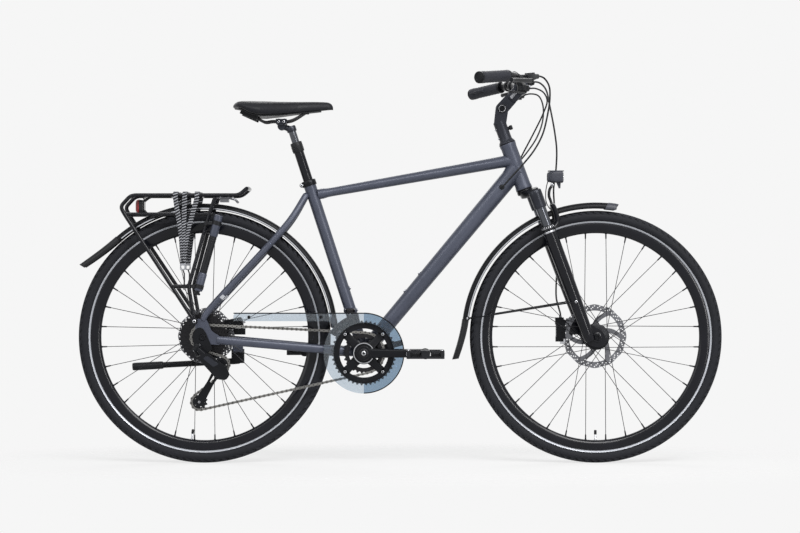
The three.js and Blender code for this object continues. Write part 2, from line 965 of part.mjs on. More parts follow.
function seatClamp() {
  const clampHeight = axleHeadRadius * 1.5;
  const bottom = onSeatTube(0, 0, seatTubeLength - clampHeight);
  const top = onSeatTube(0, 0, seatTubeLength);
  const outerRadius = seatTubeRadius + gap + frameWall * 1.5;
  const ring = rod(bottom, top, outerRadius, outerRadius, tubeSides);
  const ear = rod(
    onSeatTube(-outerRadius, -axleHeadRadius, seatTubeLength - clampHeight / 2),
    onSeatTube(-outerRadius, axleHeadRadius, seatTubeLength - clampHeight / 2),
    axleRadius,
    axleRadius,
    smallSides,
  );
  const bore = rod(
    ahead(bottom, seatUp, -overrun),
    ahead(top, seatUp, overrun),
    seatTubeRadius + gap,
    seatTubeRadius + gap,
    tubeSides,
  );
  return cut(join(ring, ear), bore);
}

// Crankset, at the bottom bracket
function crankArm(direction, side) {
  const root = bottomBracket;
  const tip = shifted(bottomBracket, direction * crankLength, 0, 0);
  const span = (x, depth, inner) => [
    point(x, side * inner, root.z - depth / 2),
    point(x, side * inner, root.z + depth / 2),
    point(x, side * (inner + crankThickness), root.z + depth / 2),
    point(x, side * (inner + crankThickness), root.z - depth / 2),
  ];
  const rings = [span(root.x, crankRootDepth, crankRootSide), span(tip.x, crankTipDepth, crankTipSide)];
  const outline = [flat(0, 0), flat(0, 1), flat(1, 1), flat(1, 0)];
  const tipRadius = crankTipDepth / 2;
  const end = disc(tip, tipRadius, side * crankTipSide, side * (crankTipSide + crankThickness));
  const hole = disc(
    tip,
    pedalAxleRadius + gap,
    side * (crankTipSide - overrun),
    side * (crankTipSide + crankThickness + overrun),
  );
  return { arm: join(loft(rings, outline), end), hole };
}

const bracketEnd = shellHalf + guardThickness + gap * 3 + cupWidth;

function spiderArm(angle) {
  const across = spiderWidth / 2;
  const along = point(Math.cos(angle), 0, Math.sin(angle));
  const aside = point(-along.z, 0, along.x);
  const corner = (reach, offset) => {
    const place = ahead(ahead(bottomBracket, along, reach), aside, offset);
    return flat(place.x, place.z);
  };
  const outline = [
    corner(0, -across),
    corner(spiderReach, -across / 2),
    corner(spiderReach, across / 2),
    corner(0, across),
  ];
  const low = gap + ringThickness / 2 - outerRingSide;
  const arm = plate(outline, low, low + spiderThickness);
  const seat = ahead(bottomBracket, along, innerRingWebRadius + spiderWidth / 5);
  const bolt = disc(seat, spiderWidth / 5, low, -innerRingSide - ringThickness / 2 - gap, wireSides);
  return join(arm, bolt);
}

function crankRight() {
  const { arm, hole } = crankArm(1, -1);
  const hub = turned([
    [0, -crankRootSide - crankThickness],
    [crankBossRadius, -crankRootSide - crankThickness],
    [crankBossRadius, -bracketEnd],
    [spindleRadius, -bracketEnd],
    [spindleRadius, spindleHalf],
    [0, spindleHalf],
  ], tubeSides, bottomBracket);
  const arms = [45, 135, 225, 315].map((angle) => spiderArm(radians(angle)));
  return cut(join(hub, arm, ...arms), hole);
}

function crankLeft() {
  const { arm, hole } = crankArm(-1, 1);
  const boss = disc(bottomBracket, crankBossRadius, bracketEnd, crankRootSide + crankThickness, tubeSides);
  const bore = disc(bottomBracket, spindleRadius + gap, 0, spindleHalf + gap, tubeSides);
  return cut(join(boss, arm), hole, bore);
}

function chainring(teeth, side, webRadius) {
  const low = -side - ringThickness / 2;
  const web = circle(bottomBracket, webRadius, 24);
  return plate(sprocketOutline(bottomBracket, teeth), low, low + ringThickness, [web]);
}

// A platform pedal round its own axle; its axle enters the crank's end
function pedal() {
  const inner = pedalGap;
  const outer = pedalGap + pedalWidth;
  const half = pedalLength / 2;
  const thick = pedalThickness / 2;
  const bar = thick / 2;
  const window = (rear, front) => block(
    point(rear, inner + bar * 2, -thick - overrun),
    point(front, outer - bar * 2, thick + overrun),
  );
  const frame = cut(
    block(point(-half, inner, -thick), point(half, outer, thick)),
    window(bar * 2, half - bar),
    window(bar - half, -bar * 2),
  );
  const spindle = disc(point(0, 0, 0), pedalAxleRadius, gap - crankThickness, inner + bar);
  return join(frame, spindle);
}

// Chain: side plates with a web between them that keeps clear of the teeth
const cogSides = cassetteTeeth.map((_, i) => -(dropoutSpacing / 2 - smallestCogInset) + cogSpacing * i);
const cogPlane = cogSides[chainCog];
const guideCentre = shifted(rearAxle, guideForward, cogPlane, -guideDrop);
const tensionCentre = shifted(rearAxle, -tensionBack, cogPlane, -tensionDrop);
const knuckleCentre = shifted(rearAxle, knuckleForward, cogPlane, -knuckleDrop);

// Angle, seen from the right side, at which a straight run touches two pitch circles
function tangentAngle(from, to, fromRadius, toRadius) {
  const across = Math.atan2(to.z - from.z, to.x - from.x);
  const distance = Math.hypot(to.x - from.x, to.z - from.z);
  return across + Math.acos((fromRadius - toRadius) / distance);
}

function chainStops() {
  const cog = { at: rearAxle, radius: pitchRadius(cassetteTeeth[chainCog]), side: cogPlane, inside: 1 };
  const ring = { at: bottomBracket, radius: pitchRadius(innerTeeth), side: -innerRingSide, inside: 1 };
  const tension = { at: tensionCentre, radius: pitchRadius(pulleyTeeth), side: cogPlane, inside: 1 };
  const guide = { at: guideCentre, radius: pitchRadius(pulleyTeeth), side: cogPlane, inside: -1 };
  return [cog, ring, tension, guide];
}

function chainPath() {
  const stops = chainStops();
  const turn = 2 * Math.PI;
  const leave = [];
  const arrive = [];
  stops.forEach((stop, i) => {
    const next = stops[(i + 1) % stops.length];
    const angle = tangentAngle(stop.at, next.at, stop.inside * stop.radius, next.inside * next.radius);
    leave[i] = stop.inside > 0 ? angle : angle + Math.PI;
    arrive[(i + 1) % stops.length] = next.inside > 0 ? angle : angle + Math.PI;
  });
  const places = [];
  stops.forEach((stop, i) => {
    let sweep = (leave[i] - arrive[i]) % turn;
    if (stop.inside > 0 && sweep > 0) {
      sweep -= turn;
    }
    if (stop.inside < 0 && sweep < 0) {
      sweep += turn;
    }
    const steps = Math.max(2, Math.ceil(Math.abs(sweep) / radians(stop.radius > chainLinkLength * 2 ? 20 : 30)));
    for (let k = 0; k <= steps; k += 1) {
      const angle = arrive[i] + (sweep * k) / steps;
      const outwards = point(Math.cos(angle), 0, Math.sin(angle));
      const place = ahead(atSide(stop.at, stop.side), outwards, stop.radius);
      places.push({ place, outwards: outwards.clone().multiplyScalar(stop.inside), web: stop.inside });
    }
  });
  return places;
}

function chain() {
  const half = chainWidth / 2;
  const slot = half - chainPlate;
  const rings = chainPath().map(({ place, outwards, web }) => {
    const middle = chainWebShift * web;
    const section = [
      [half, chainHalfDepth], [half, -chainHalfDepth],
      [slot, -chainHalfDepth], [slot, middle - chainWeb / 2], [-slot, middle - chainWeb / 2],
      [-slot, -chainHalfDepth], [-half, -chainHalfDepth],
      [-half, chainHalfDepth], [-slot, chainHalfDepth], [-slot, middle + chainWeb / 2],
      [slot, middle + chainWeb / 2], [slot, chainHalfDepth],
    ];
    return section.map(([side, depth]) => shifted(ahead(place, outwards, depth), 0, side, 0));
  });
  return loft(rings);
}

function cassette() {
  const cogs = cassetteTeeth.map((teeth, i) => {
    const low = cogSides[i] - cogThickness / 2;
    return disc(rearAxle, pitchRadius(teeth) + toothHeight, low, low + cogThickness, Math.round(teeth / 2));
  });
  const low = cogSides[0] - cogThickness / 2;
  const high = cogSides[cogSides.length - 1] + cogThickness / 2;
  const core = disc(rearAxle, freehubRadius + frameWall, low, high, hubSides);
  const boreRadius = aroundFacets(freehubRadius + gap, hubSides);
  const bore = disc(rearAxle, boreRadius, low - overrun, high + overrun, hubSides);
  return cut(join(core, ...cogs), bore);
}

function pulley() {
  const origin = point(0, 0, 0);
  const half = cogThickness / 2;
  const bore = circle(origin, pulleyBore + gap, smallSides);
  return plate(sprocketOutline(origin, pulleyTeeth), -half, half, [bore]);
}

// Rear derailleur: link from the hanger, knuckle in the chain's plane, and cage
const cageHalf = chainWidth / 2 + gap * 3;
const knuckleOuter = cageHalf + cagePlate + gap;
const hangerKnuckleShare = 0.7;
const linkDirection = towards(hangerPlace(), atSide(knuckleCentre, 0));
const linkAxis = point(-linkDirection.z, 0, linkDirection.x);

function capsule(from, to, radius, sideLow, sideHigh) {
  const along = towards(atSide(from, 0), atSide(to, 0));
  const lean = THREE.MathUtils.radToDeg(Math.atan2(along.z, along.x));
  const outline = [...arc(to, radius, lean - 90, lean + 90, 4), ...arc(from, radius, lean + 90, lean + 270, 4)];
  return plate(outline, sideLow, sideHigh);
}

function linkBarrel(place, extra) {
  const middle = atSide(place, -linkSide);
  const half = linkWidth / 2 + extra;
  const radius = extra ? aroundFacets(linkBarrelRadius + extra, smallSides) : linkBarrelRadius;
  return rod(ahead(middle, linkAxis, -half), ahead(middle, linkAxis, half), radius, radius, smallSides);
}

// A block that reaches from a knuckle's face to the hinge barrel
function hingeCradle(place) {
  const half = linkWidth / 2;
  const across = linkBarrelRadius * 0.8;
  const corner = (along, aside) => {
    const spot = ahead(ahead(place, linkAxis, along), linkDirection, aside);
    return flat(spot.x, spot.z);
  };
  const outline = [corner(-half, -across), corner(-half, across), corner(half, across), corner(half, -across)];
  return plate(outline, linkBarrelRadius * 0.95 - linkSide, linkThickness / 2 - knuckleFaceSide);
}

function derailleurBody() {
  const hanger = hangerPlace();
  const half = linkThickness / 2;
  const link = capsule(hanger, knuckleCentre, linkBarrelRadius, -linkSide - half, half - linkSide);
  return join(link, linkBarrel(hanger, 0), linkBarrel(knuckleCentre, 0));
}

function derailleurKnuckle() {
  const face = cogPlane - knuckleOuter;
  const body = disc(knuckleCentre, knuckleRadius, -knuckleFaceSide, face);
  return cut(join(body, hingeCradle(knuckleCentre)), linkBarrel(knuckleCentre, gap));
}

function derailleurCage() {
  const inner = [cogPlane + cageHalf, cogPlane + cageHalf + cagePlate];
  const outer = [cogPlane - cageHalf - cagePlate, cogPlane - cageHalf];
  const ends = [guideCentre, tensionCentre];
  const plates = [inner, outer].map(([low, high]) => capsule(...ends, cageRadius, low, high));
  const pins = ends.map((centre) => disc(centre, pulleyBore, outer[0], inner[1], smallSides));
  return join(...plates, ...pins, capsule(guideCentre, knuckleCentre, cageRadius, outer[0], outer[1]));
}

// Front derailleur: swing barrel, arm and two cage plates over the outer ring
function frontCageOutline(innerRadius, fromAngle, toAngle) {
  return [
    ...arc(bottomBracket, cageOuterRadius, fromAngle, toAngle, 4),
    ...arc(bottomBracket, innerRadius, toAngle, fromAngle, 4),
  ];
}

function frontDerailleurCage() {
  const inner = chainWidth / 2 + chainWeb - innerRingSide;
  const outer = outerRingSide - ringThickness / 2;
  const innerOutline = frontCageOutline(cageLowReach, frontCageStart, frontCageEnd);
  const innerPlate = plate(innerOutline, inner, inner + cagePlate);
  const outerOutline = frontCageOutline(cageInnerRadius, frontCageStart, frontCageEnd);
  const outerPlate = plate(outerOutline, -outer - cagePlate, -outer);
  const bridgeOutline = frontCageOutline(cageOuterRadius - cagePlate * 2, frontCageStart, frontCageBridgeEnd);
  const bridge = plate(bridgeOutline, -outer - cagePlate, inner + cagePlate);
  const barrel = rod(
    shifted(swingMiddle, -swingLength / 2, 0, 0),
    shifted(swingMiddle, swingLength / 2, 0, 0),
    swingRadius,
    swingRadius,
    smallSides,
  );
  const foot = shifted(bottomBracket, -swingBack, inner + cagePlate, cageOuterRadius - swingRadius * 3);
  const arm = block(
    point(swingMiddle.x - swingLength / 3, foot.y - cagePlate, foot.z),
    point(swingMiddle.x + swingLength / 3, swingMiddle.y, swingMiddle.z),
  );
  return join(innerPlate, outerPlate, bridge, barrel, arm);
}

// Chain guard: outer wall round the rings, wing over the chain, roof and arm to the bracket
function chainGuard() {
  const low = -guardSide - guardThickness;
  const top = bottomBracket.z + guardRadius;
  const back = bottomBracket.x - guardWingLength;
  const roofInner = guardRadius - guardRoofThickness;
  const wall = plate(circle(bottomBracket, guardRadius, wheelSides), low, -guardSide, [
    circle(bottomBracket, guardInnerRadius, wheelSides),
  ]);
  const wing = block(point(back, low, top - guardWingDepth), point(bottomBracket.x, -guardSide, top));
  const roofOutline = [
    flat(back, top),
    ...arc(bottomBracket, guardRadius, 90, -90, wheelSides / 2),
    ...arc(bottomBracket, roofInner, -90, 90, wheelSides / 2),
    flat(back, top - guardRoofThickness),
  ];
  const roof = plate(roofOutline, low, guardRoofWidth - guardSide);
  return join(wall, wing, roof, ...guardArm(roofInner));
}

function guardArm(roofInner) {
  const angle = radians(guardArmAngle);
  const low = -shellHalf - gap - guardThickness;
  const high = low + guardThickness;
  const along = point(Math.cos(angle), 0, Math.sin(angle));
  const aside = point(-along.z, 0, along.x);
  const end = roofInner + guardRoofThickness / 2;
  const strip = (from) => [[from, -1], [end, -1], [end, 1], [from, 1]].map(([distance, hand]) => {
    const spot = ahead(ahead(bottomBracket, along, distance), aside, (hand * guardArmWidth) / 2);
    return flat(spot.x, spot.z);
  });
  const ring = plate(circle(bottomBracket, cupRadius + guardArmWidth / 4, tubeSides), low, high, [
    circle(bottomBracket, shellBore, tubeSides),
  ]);
  const arm = plate(strip(cupRadius), low, high);
  const riser = plate(strip(roofInner - guardThickness), -guardSide, high);
  return [ring, arm, riser];
}

// Seatpost
const collarBase = seatPostTop;

function seatpostTube() {
  const outside = rod(
    onSeatTube(0, 0, seatTubeLength - seatPostInsertion),
    onSeatTube(0, 0, collarBase + collarLength / 2),
    seatPostRadius,
    seatPostRadius,
    tubeSides,
  );
  const collarTop = onSeatTube(0, 0, collarBase + collarLength);
  const collar = rod(onSeatTube(0, 0, collarBase), collarTop, collarRadius);
  const bore = rod(
    onSeatTube(0, 0, collarBase - shaftInsertion - seatTravel - overrun),
    onSeatTube(0, 0, collarBase + collarLength + overrun),
    shaftRadius + gap,
    shaftRadius + gap,
    tubeSides,
  );
  return cut(join(outside, collar), bore);
}

function tiltCentre() {
  return shifted(onSeatTube(0, 0, collarBase + collarLength + headRise), -headSetback, 0, 0);
}

function seatpostShaft() {
  const tilt = tiltCentre();
  const shoulder = onSeatTube(0, 0, collarBase + collarLength + seatTravel + gap);
  const neckStart = ahead(shoulder, seatUp, shaftRadius / 2);
  const shaft = rod(onSeatTube(0, 0, collarBase - shaftInsertion), neckStart, shaftRadius);
  const neck = rod(neckStart, tilt, shaftRadius, tiltRadius * 0.65);
  const head = disc(tilt, tiltRadius, -tiltHalf, tiltHalf);
  return join(shaft, neck, head);
}

function saddleClamp() {
  const tilt = tiltCentre();
  const half = clampLength / 2;
  const body = block(
    shifted(tilt, -half, -clampHalfWidth, clampSeat),
    shifted(tilt, half, clampHalfWidth, clampTop),
  );
  const recessRadius = aroundFacets(tiltRadius + gap, tubeSides);
  const recess = disc(tilt, recessRadius, -clampHalfWidth - overrun, clampHalfWidth + overrun);
  return cut(body, recess, ...onBothSides(railRod(gap)));
}

// Rails run level through the clamp and rise into the base at each end: shares of the length
const railShares = [0.14, 0.24, 0.66, 0.86];

function railPlaces() {
  const [tail, low, high, nose] = railShares;
  const level = tiltCentre().z + clampTop - railRadius * 1.8;
  const along = saddleAlong;
  const end = (share) => saddleFloor(share) - saddleBaseThickness * 0.8;
  return [
    point(along(tail), railSpread * 1.6, end(tail)),
    point(along(low), railSpread, level),
    point(along(high), railSpread, level),
    point(along(nose), railSpread * 0.4, end(nose)),
  ];
}

function saddleTop() {
  return tiltCentre().z + saddleRise;
}

// Place along the bicycle at a share of the saddle's length, from its tail
function saddleAlong(share) {
  return tiltCentre().x - saddleSetback + saddleLength * share;
}

// Height of the pad's underside at a share of the saddle's length
function saddleFloor(share) {
  const next = saddleShares.findIndex(([length]) => length >= share);
  const [from, to] = [saddleShares[Math.max(0, next - 1)], saddleShares[next]];
  const mix = to[0] === from[0] ? 0 : (share - from[0]) / (to[0] - from[0]);
  const [crown, depth] = [2, 3].map((k) => from[k] + (to[k] - from[k]) * mix);
  return saddleTop() - saddleDepth * (1 - crown) - saddleDepth * depth * (1 - padFootShare) - gap;
}

function railRod(extra) {
  return bentTube(railPlaces(), railRadius + extra, wireSides);
}

// Saddle sections from tail to nose: share of length, of width, height of crown, depth
const saddleShares = [
  [0, 0.42, 0.9, 0.42],
  [0.03, 0.78, 0.97, 0.72],
  [0.1, 0.97, 1, 0.95],
  [0.22, 1, 1, 1],
  [0.34, 0.86, 0.985, 0.96],
  [0.46, 0.62, 0.975, 0.86],
  [0.58, 0.43, 0.975, 0.76],
  [0.72, 0.31, 0.98, 0.66],
  [0.86, 0.25, 0.985, 0.58],
  [0.96, 0.2, 0.96, 0.44],
  [1, 0.1, 0.86, 0.24],
];

// Half section of the cover, from the crown's middle to its lower edge, as shares
const saddleSectionShares = [
  [0, 0.97], [0.3, 1], [0.62, 0.95], [0.86, 0.76], [1, 0.46], [0.96, 0.24], [0.86, 0.12],
];

const padFootShare = 0.12;

function saddlePad() {
  const half = saddleSectionShares.filter(([, height]) => height >= padFootShare);
  const section = [...half, ...half.slice(1).reverse().map(([side, height]) => [-side, height])];
  const rings = saddleShares.map(([length, width, crown, depth]) => {
    const top = saddleTop() - saddleDepth * (1 - crown);
    const foot = top - saddleDepth * depth;
    return section.map(([side, height]) => point(
      saddleAlong(length),
      (side * width * saddleWidth) / 2,
      foot + (top - foot) * height,
    ));
  });
  return loft(rings, rings[0].map((corner) => flat(corner.y, corner.z)));
}

function saddleBase() {
  const baseShare = 0.8;
  const shares = saddleShares.filter(([length]) => length >= railShares[0] / 2 && length <= railShares[3]);
  const rings = shares.map(([length, width]) => {
    const x = saddleAlong(length);
    const reach = (width * saddleWidth * baseShare) / 2;
    const top = saddleFloor(length);
    const bottom = top - saddleBaseThickness;
    return [
      point(x, reach, top),
      point(x, -reach, top),
      point(x, -reach * baseShare, bottom),
      point(x, reach * baseShare, bottom),
    ];
  });
  const outline = rings[0].map((corner) => flat(corner.y, corner.z));
  return join(loft(rings, outline), ...onBothSides(railRod(0)));
}

// Fork: crown, steerer and stanchions turn with the bars
function crownRing(side, top, depth, rear, front) {
  const chamfer = crownRaceHeight;
  return [
    [rear + chamfer, top], [front - chamfer, top], [front, top - chamfer], [front, top - depth],
    [rear, top - depth], [rear, top - chamfer],
  ].map(([forward, up]) => onSteering(forward, side, up));
}

function crownBridge() {
  const side = legSpread;
  const reach = stanchionRadius;
  const end = (y) => crownRing(y, -socketTop, crownThickness, stanchionOffset - reach, stanchionOffset + reach);
  const middle = (y) => crownRing(y, -crownRaceHeight, crownThickness, -crownRear, crownFront);
  const rings = [end(-side), middle(-crownHalfWidth), middle(crownHalfWidth), end(side)];
  const outline = rings[0].map((corner) => flat(corner.x, corner.z));
  return loft(rings, outline);
}

function forkCrown() {
  const legPiece = (from, to, radius, sides) => rod(
    onSteering(stanchionOffset, legSpread, -from),
    onSteering(stanchionOffset, legSpread, -to),
    radius,
    radius,
    sides,
  );
  const leg = join(
    legPiece(socketTop, socketTop + socketLength, socketRadius, tubeSides),
    legPiece(socketTop, lowersTop + stanchionOverlap, stanchionRadius, tubeSides),
  );
  const steerer = rod(onSteering(0, 0, -crownThickness), onSteering(0, 0, stemTop - overrun), steererRadius);
  const race = rod(onSteering(0, 0, -crownThickness / 2), onSteering(0, 0, -gap), headTubeRadius);
  return join(crownBridge(), steerer, race, ...onBothSides(leg));
}

// Arch from leg to leg in front of the crown: shares of forward reach, of spread and of rise
const archShares = [[0, 1, -0.13], [0.73, 0.9, 0.13], [0.95, 0.65, 0.5], [1, 0.3, 0.95]];

function archPlaces() {
  const half = archShares.map(([forward, side, rise]) => onSteering(
    stanchionOffset + (archForward - stanchionOffset) * forward,
    legSpread * side,
    archHeight * rise - lowersTop,
  ));
  return [...half, ...half.map((place) => atSide(place, -place.y)).reverse()];
}

function arch(extra = 0) {
  return bentTube(archPlaces(), archRadius + extra, wireSides);
}

const forkDropoutInner = frontHubWidth / 2 + gap;
const forkDropoutOuter = forkDropoutInner + caliperLugThickness;

function forkDropout() {
  const bottom = forkLength + forkToeLength;
  const top = forkLength - forkToeLength * 1.6;
  const front = forkOffset + axleHeadRadius * 1.6;
  const rear = stanchionOffset - lowersBottomRadius / 2;
  const corners = [
    [rear, top], [stanchionOffset, top], [front, forkLength - axleHeadRadius],
    [front, forkLength + axleHeadRadius], [forkOffset, bottom], [rear, forkLength],
  ];
  const outline = corners.map(([forward, down]) => {
    const place = onSteering(forward, 0, -down);
    return flat(place.x, place.z);
  });
  return cut(
    plate(outline, forkDropoutInner, forkDropoutOuter),
    disc(frontAxle, axleRadius + gap, forkDropoutInner - overrun, forkDropoutOuter + overrun),
  );
}

function forkLeg() {
  const top = onSteering(stanchionOffset, legSpread, -lowersTop);
  const bottom = onSteering(stanchionOffset, legSpread, -forkLength);
  return rod(top, bottom, lowersTopRadius, lowersBottomRadius, tubeSides);
}

function forkBore() {
  const depth = lowersTop + stanchionOverlap + forkTravel + overrun;
  const radius = stanchionRadius + gap;
  return rod(
    onSteering(stanchionOffset, legSpread, archRadius * 2 - lowersTop),
    onSteering(stanchionOffset, legSpread, -depth),
    radius,
    radius,
    tubeSides,
  );
}

const caliperBack = 110;
const caliperDrop = 23;
const caliperRise = 54;
const caliperReach = 51;

function caliperLug() {
  const rear = frontAxle.x - caliperBack + caliperReach - caliperLugDepth / 2;
  return block(
    point(rear, forkDropoutOuter - caliperLugThickness / 2, frontAxle.z - caliperDrop / 2),
    point(rear + caliperLugDepth * 1.5, forkDropoutOuter + caliperLugThickness / 2, frontAxle.z + caliperRise),
  );
}

function forkLowers() {
  const legs = onBothSides(join(forkLeg(), forkDropout()));
  const headSpace = disc(
    frontAxle,
    axleHeadRadius + gap * 2,
    forkDropoutOuter,
    legSpread + lowersTopRadius + overrun,
  );
  return cut(join(...legs, arch(), caliperLug()), ...onBothSides(forkBore()), ...onBothSides(headSpace));
}

function frontCaliper() {
  const middle = frontHubWidth / 2 - frontRotorInset;
  const half = rotorThickness;
  const outer = forkDropoutOuter - caliperLugThickness / 2 - gap;
  const body = block(
    shifted(frontAxle, -caliperBack, outer - caliperWidth + gap, -caliperDrop),
    shifted(frontAxle, caliperReach - caliperBack, outer, caliperRise),
  );
  return cut(body, disc(frontAxle, frontRotorRadius + half, middle - half, middle + half, wheelSides));
}

const rearCaliperBack = 26;
const rearCaliperFront = 110;
const rearCaliperLow = 9;
const rearCaliperHigh = 57;

function rearBrakeCaliper() {
  const middle = dropoutSpacing / 2 - rearRotorInset;
  const half = rotorThickness;
  const inner = middle - caliperWidth / 2 + half;
  const body = block(
    shifted(rearAxle, rearCaliperBack, inner, rearCaliperLow),
    shifted(rearAxle, rearCaliperFront, inner + caliperWidth, rearCaliperHigh),
  );
  const foot = block(
    shifted(rearAxle, rearCaliperFront / 2, middle + half * 2, -rearCaliperLow),
    shifted(rearAxle, rearCaliperFront, inner + caliperWidth, rearCaliperLow + overrun),
  );
  return cut(
    join(body, foot),
    disc(rearAxle, rearRotorRadius + half, middle - half, middle + half, wheelSides),
    chainstay(gap),
    seatstay(gap),
  );
}

// Stem: base on the steerer, arm that tilts about a bolt
function stemPivot() {
  return onSteering(stemPivotForward, 0, stemPivotHeight);
}

function stemTongueHalf() {
  return stemWidth / 2 - stemCheek;
}

function stemBase() {
  const foot = headTubeLength + gap;
  const cover = foot + headsetHeight;
  const half = stemWidth / 2;
  const body = join(
    rod(onSteering(0, 0, foot), onSteering(0, 0, cover), headTubeRadius, stemRadius - gap),
    rod(onSteering(0, 0, foot + gap), onSteering(0, 0, stemTop), stemRadius),
    capsule(onSteering(0, 0, stemTop - stemRadius / 2), stemPivot(), stemRadius - gap, -half, half),
  );
  const tongue = stemTongueHalf() + gap;
  const steererBore = rod(
    onSteering(0, 0, foot - overrun),
    onSteering(0, 0, stemTop - overrun + gap),
    steererRadius + gap,
  );
  const slotRadius = aroundFacets(stemPivotRadius + gap, tubeSides);
  return cut(body, disc(stemPivot(), slotRadius, -tongue, tongue), steererBore);
}

function stemArm() {
  const pivot = stemPivot();
  const half = stemWidth / 2;
  const along = towards(pivot, barCentre);
  const wideStart = ahead(pivot, along, stemPivotRadius * 2);
  const tongue = capsule(pivot, wideStart, stemRadius, -stemTongueHalf(), stemTongueHalf());
  const arm = capsule(wideStart, barCentre, stemRadius, -half, half);
  const clamp = disc(barCentre, barClampRadius, -half, half, tubeSides);
  const bore = disc(barCentre, barRadius + gap, -half - overrun, half + overrun, tubeSides);
  return cut(join(tongue, arm, clamp), bore);
}

// Bar, left half from the clamp to the tip: shares of sweep, of half width and of rise
const barShares = [[0, 0, 0], [0, 0.15, 0.05], [0.104, 0.364, 0.74], [0.28, 0.629, 1], [1, 1, 0.26]];
const barPlaces = barShares.map(([sweep, side, rise]) => (
  shifted(barCentre, -barSweep * sweep, barHalfWidth * side, barRise * rise)
));
const barTip = barPlaces[4];
const gripDirection = towards(barPlaces[3], barTip);
const controlDirection = towards(barPlaces[2], barPlaces[3]);
const controlMiddle = between(barPlaces[2], barPlaces[3], 0.42);

function handlebar() {
  const left = barPlaces.slice(1);
  const right = left.map((place) => atSide(place, -place.y));
  const tube = bentTube([...right.reverse(), ...left], barThinRadius, tubeSides);
  const middle = disc(barCentre, barRadius, -stemWidth, stemWidth);
  const inward = ahead(barTip, gripDirection, barThinRadius);
  const trim = rod(barTip, inward, gripRadius);
  return cut(join(tube, middle), ...onBothSides(trim));
}

function grip() {
  const end = ahead(barTip, gripDirection, gap + frameWall);
  const outside = rod(ahead(end, gripDirection, -gripLength), end, gripRadius, gripRadius, tubeSides);
  const bore = rod(
    ahead(end, gripDirection, -gripLength - overrun),
    ahead(barTip, gripDirection, gap),
    barThinRadius + gap,
  );
  return cut(outside, bore);
}

// Controls, built for the left hand
const masterRear = shifted(controlMiddle, masterForward - masterReach / 2, gripRadius, 0);
const masterNose = shifted(masterRear, masterReach, -masterSpread, controlRadius / 2);
const leverPivot = shifted(masterRear, leverPivotRadius * 2, leverPivotRadius, -leverThickness);
const podMiddle = shifted(controlMiddle, masterForward / 2, -controlRadius, -shifterDrop);

function leverTip(turn = 0) {
  const angle = radians(90 + leverSweep / 2 + turn);
  const lean = leverPivotRadius / leverLength;
  return ahead(leverPivot, point(Math.cos(angle), Math.sin(angle), -lean), leverLength);
}

function control() {
  const half = controlLength / 2;
  const clamp = rod(
    ahead(controlMiddle, controlDirection, -half),
    ahead(controlMiddle, controlDirection, half),
    controlRadius,
  );
  const bore = rod(
    ahead(controlMiddle, controlDirection, -half - overrun),
    ahead(controlMiddle, controlDirection, half + overrun),
    barThinRadius + gap,
  );
  const plateLow = leverThickness / 2 + gap;
  const pinEnd = shifted(leverPivot, 0, 0, -leverThickness / 2);
  const hood = shifted(leverPivot, 0, 0, plateLow);
  const solids = [
    clamp,
    rod(controlMiddle, between(masterRear, masterNose, 0.3), masterRadius, masterRadius, smallSides),
    rod(masterRear, masterNose, masterRadius, masterRadius * 0.8, smallSides),
    rod(hood, shifted(hood, 0, 0, paddleThickness), leverPivotRadius, leverPivotRadius, smallSides),
    rod(shifted(hood, 0, 0, paddleThickness / 2), masterRear, paddleThickness / 2, masterRadius / 2, wireSides),
    rod(pinEnd, shifted(hood, 0, 0, leverPinRadius), leverPinRadius, leverPinRadius, wireSides),
    rod(controlMiddle, podMiddle, masterRadius, masterRadius, smallSides),
    rod(
      shifted(podMiddle, 0, 0, -shifterThickness / 2),
      shifted(podMiddle, 0, 0, shifterThickness / 2),
      shifterRadius,
      shifterRadius,
      smallSides,
    ),
    rod(
      shifted(podMiddle, 0, 0, -shifterThickness / 2 - gap - paddleThickness),
      podMiddle,
      leverPinRadius,
      leverPinRadius,
      wireSides,
    ),
  ];
  return cut(join(...solids), bore);
}

function brakeLever() {
  const half = leverThickness / 2;
  const boss = rod(
    shifted(leverPivot, 0, 0, -half),
    shifted(leverPivot, 0, 0, half),
    leverPivotRadius,
    leverPivotRadius,
    smallSides,
  );
  const blade = rod(leverPivot, leverTip(), leverRadius, leverRadius * 0.8, smallSides);
  const hole = rod(
    shifted(leverPivot, 0, 0, -half - overrun),
    shifted(leverPivot, 0, 0, half + overrun),
    leverPinRadius + gap,
    leverPinRadius + gap,
    smallSides,
  );
  const hood = rod(
    shifted(leverPivot, 0, 0, half),
    shifted(leverPivot, 0, 0, half + overrun),
    leverPivotRadius * 1.5,
    leverPivotRadius * 1.5,
    smallSides,
  );
  return cut(join(boss, blade), hole, hood);
}

function shiftLever() {
  const top = podMiddle.z - shifterThickness / 2 - gap;
  const bottom = top - paddleThickness;
  const tip = shifted(podMiddle, -paddleLength, paddleWidth, 0);
  const along = towards(podMiddle, tip);
  const aside = point(-along.y, along.x, 0);
  const ring = [[0, -1], [1, -0.6], [1, 0.6], [0, 1]].map(([share, hand]) => (
    ahead(ahead(podMiddle, along, paddleLength * share), aside, (hand * paddleWidth) / 2)
  ));
  const atHeight = (z) => ring.map((corner) => point(corner.x, corner.y, z));
  const outline = ring.map((corner) => flat(corner.x, corner.y));
  const boss = rod(
    point(podMiddle.x, podMiddle.y, bottom),
    point(podMiddle.x, podMiddle.y, top),
    paddleWidth / 2,
  );
  const hole = rod(
    point(podMiddle.x, podMiddle.y, bottom - overrun),
    point(podMiddle.x, podMiddle.y, top + overrun),
    leverPinRadius + gap,
    leverPinRadius + gap,
    smallSides,
  );
  return cut(join(loft([atHeight(bottom), atHeight(top)], outline), boss), hole);
}

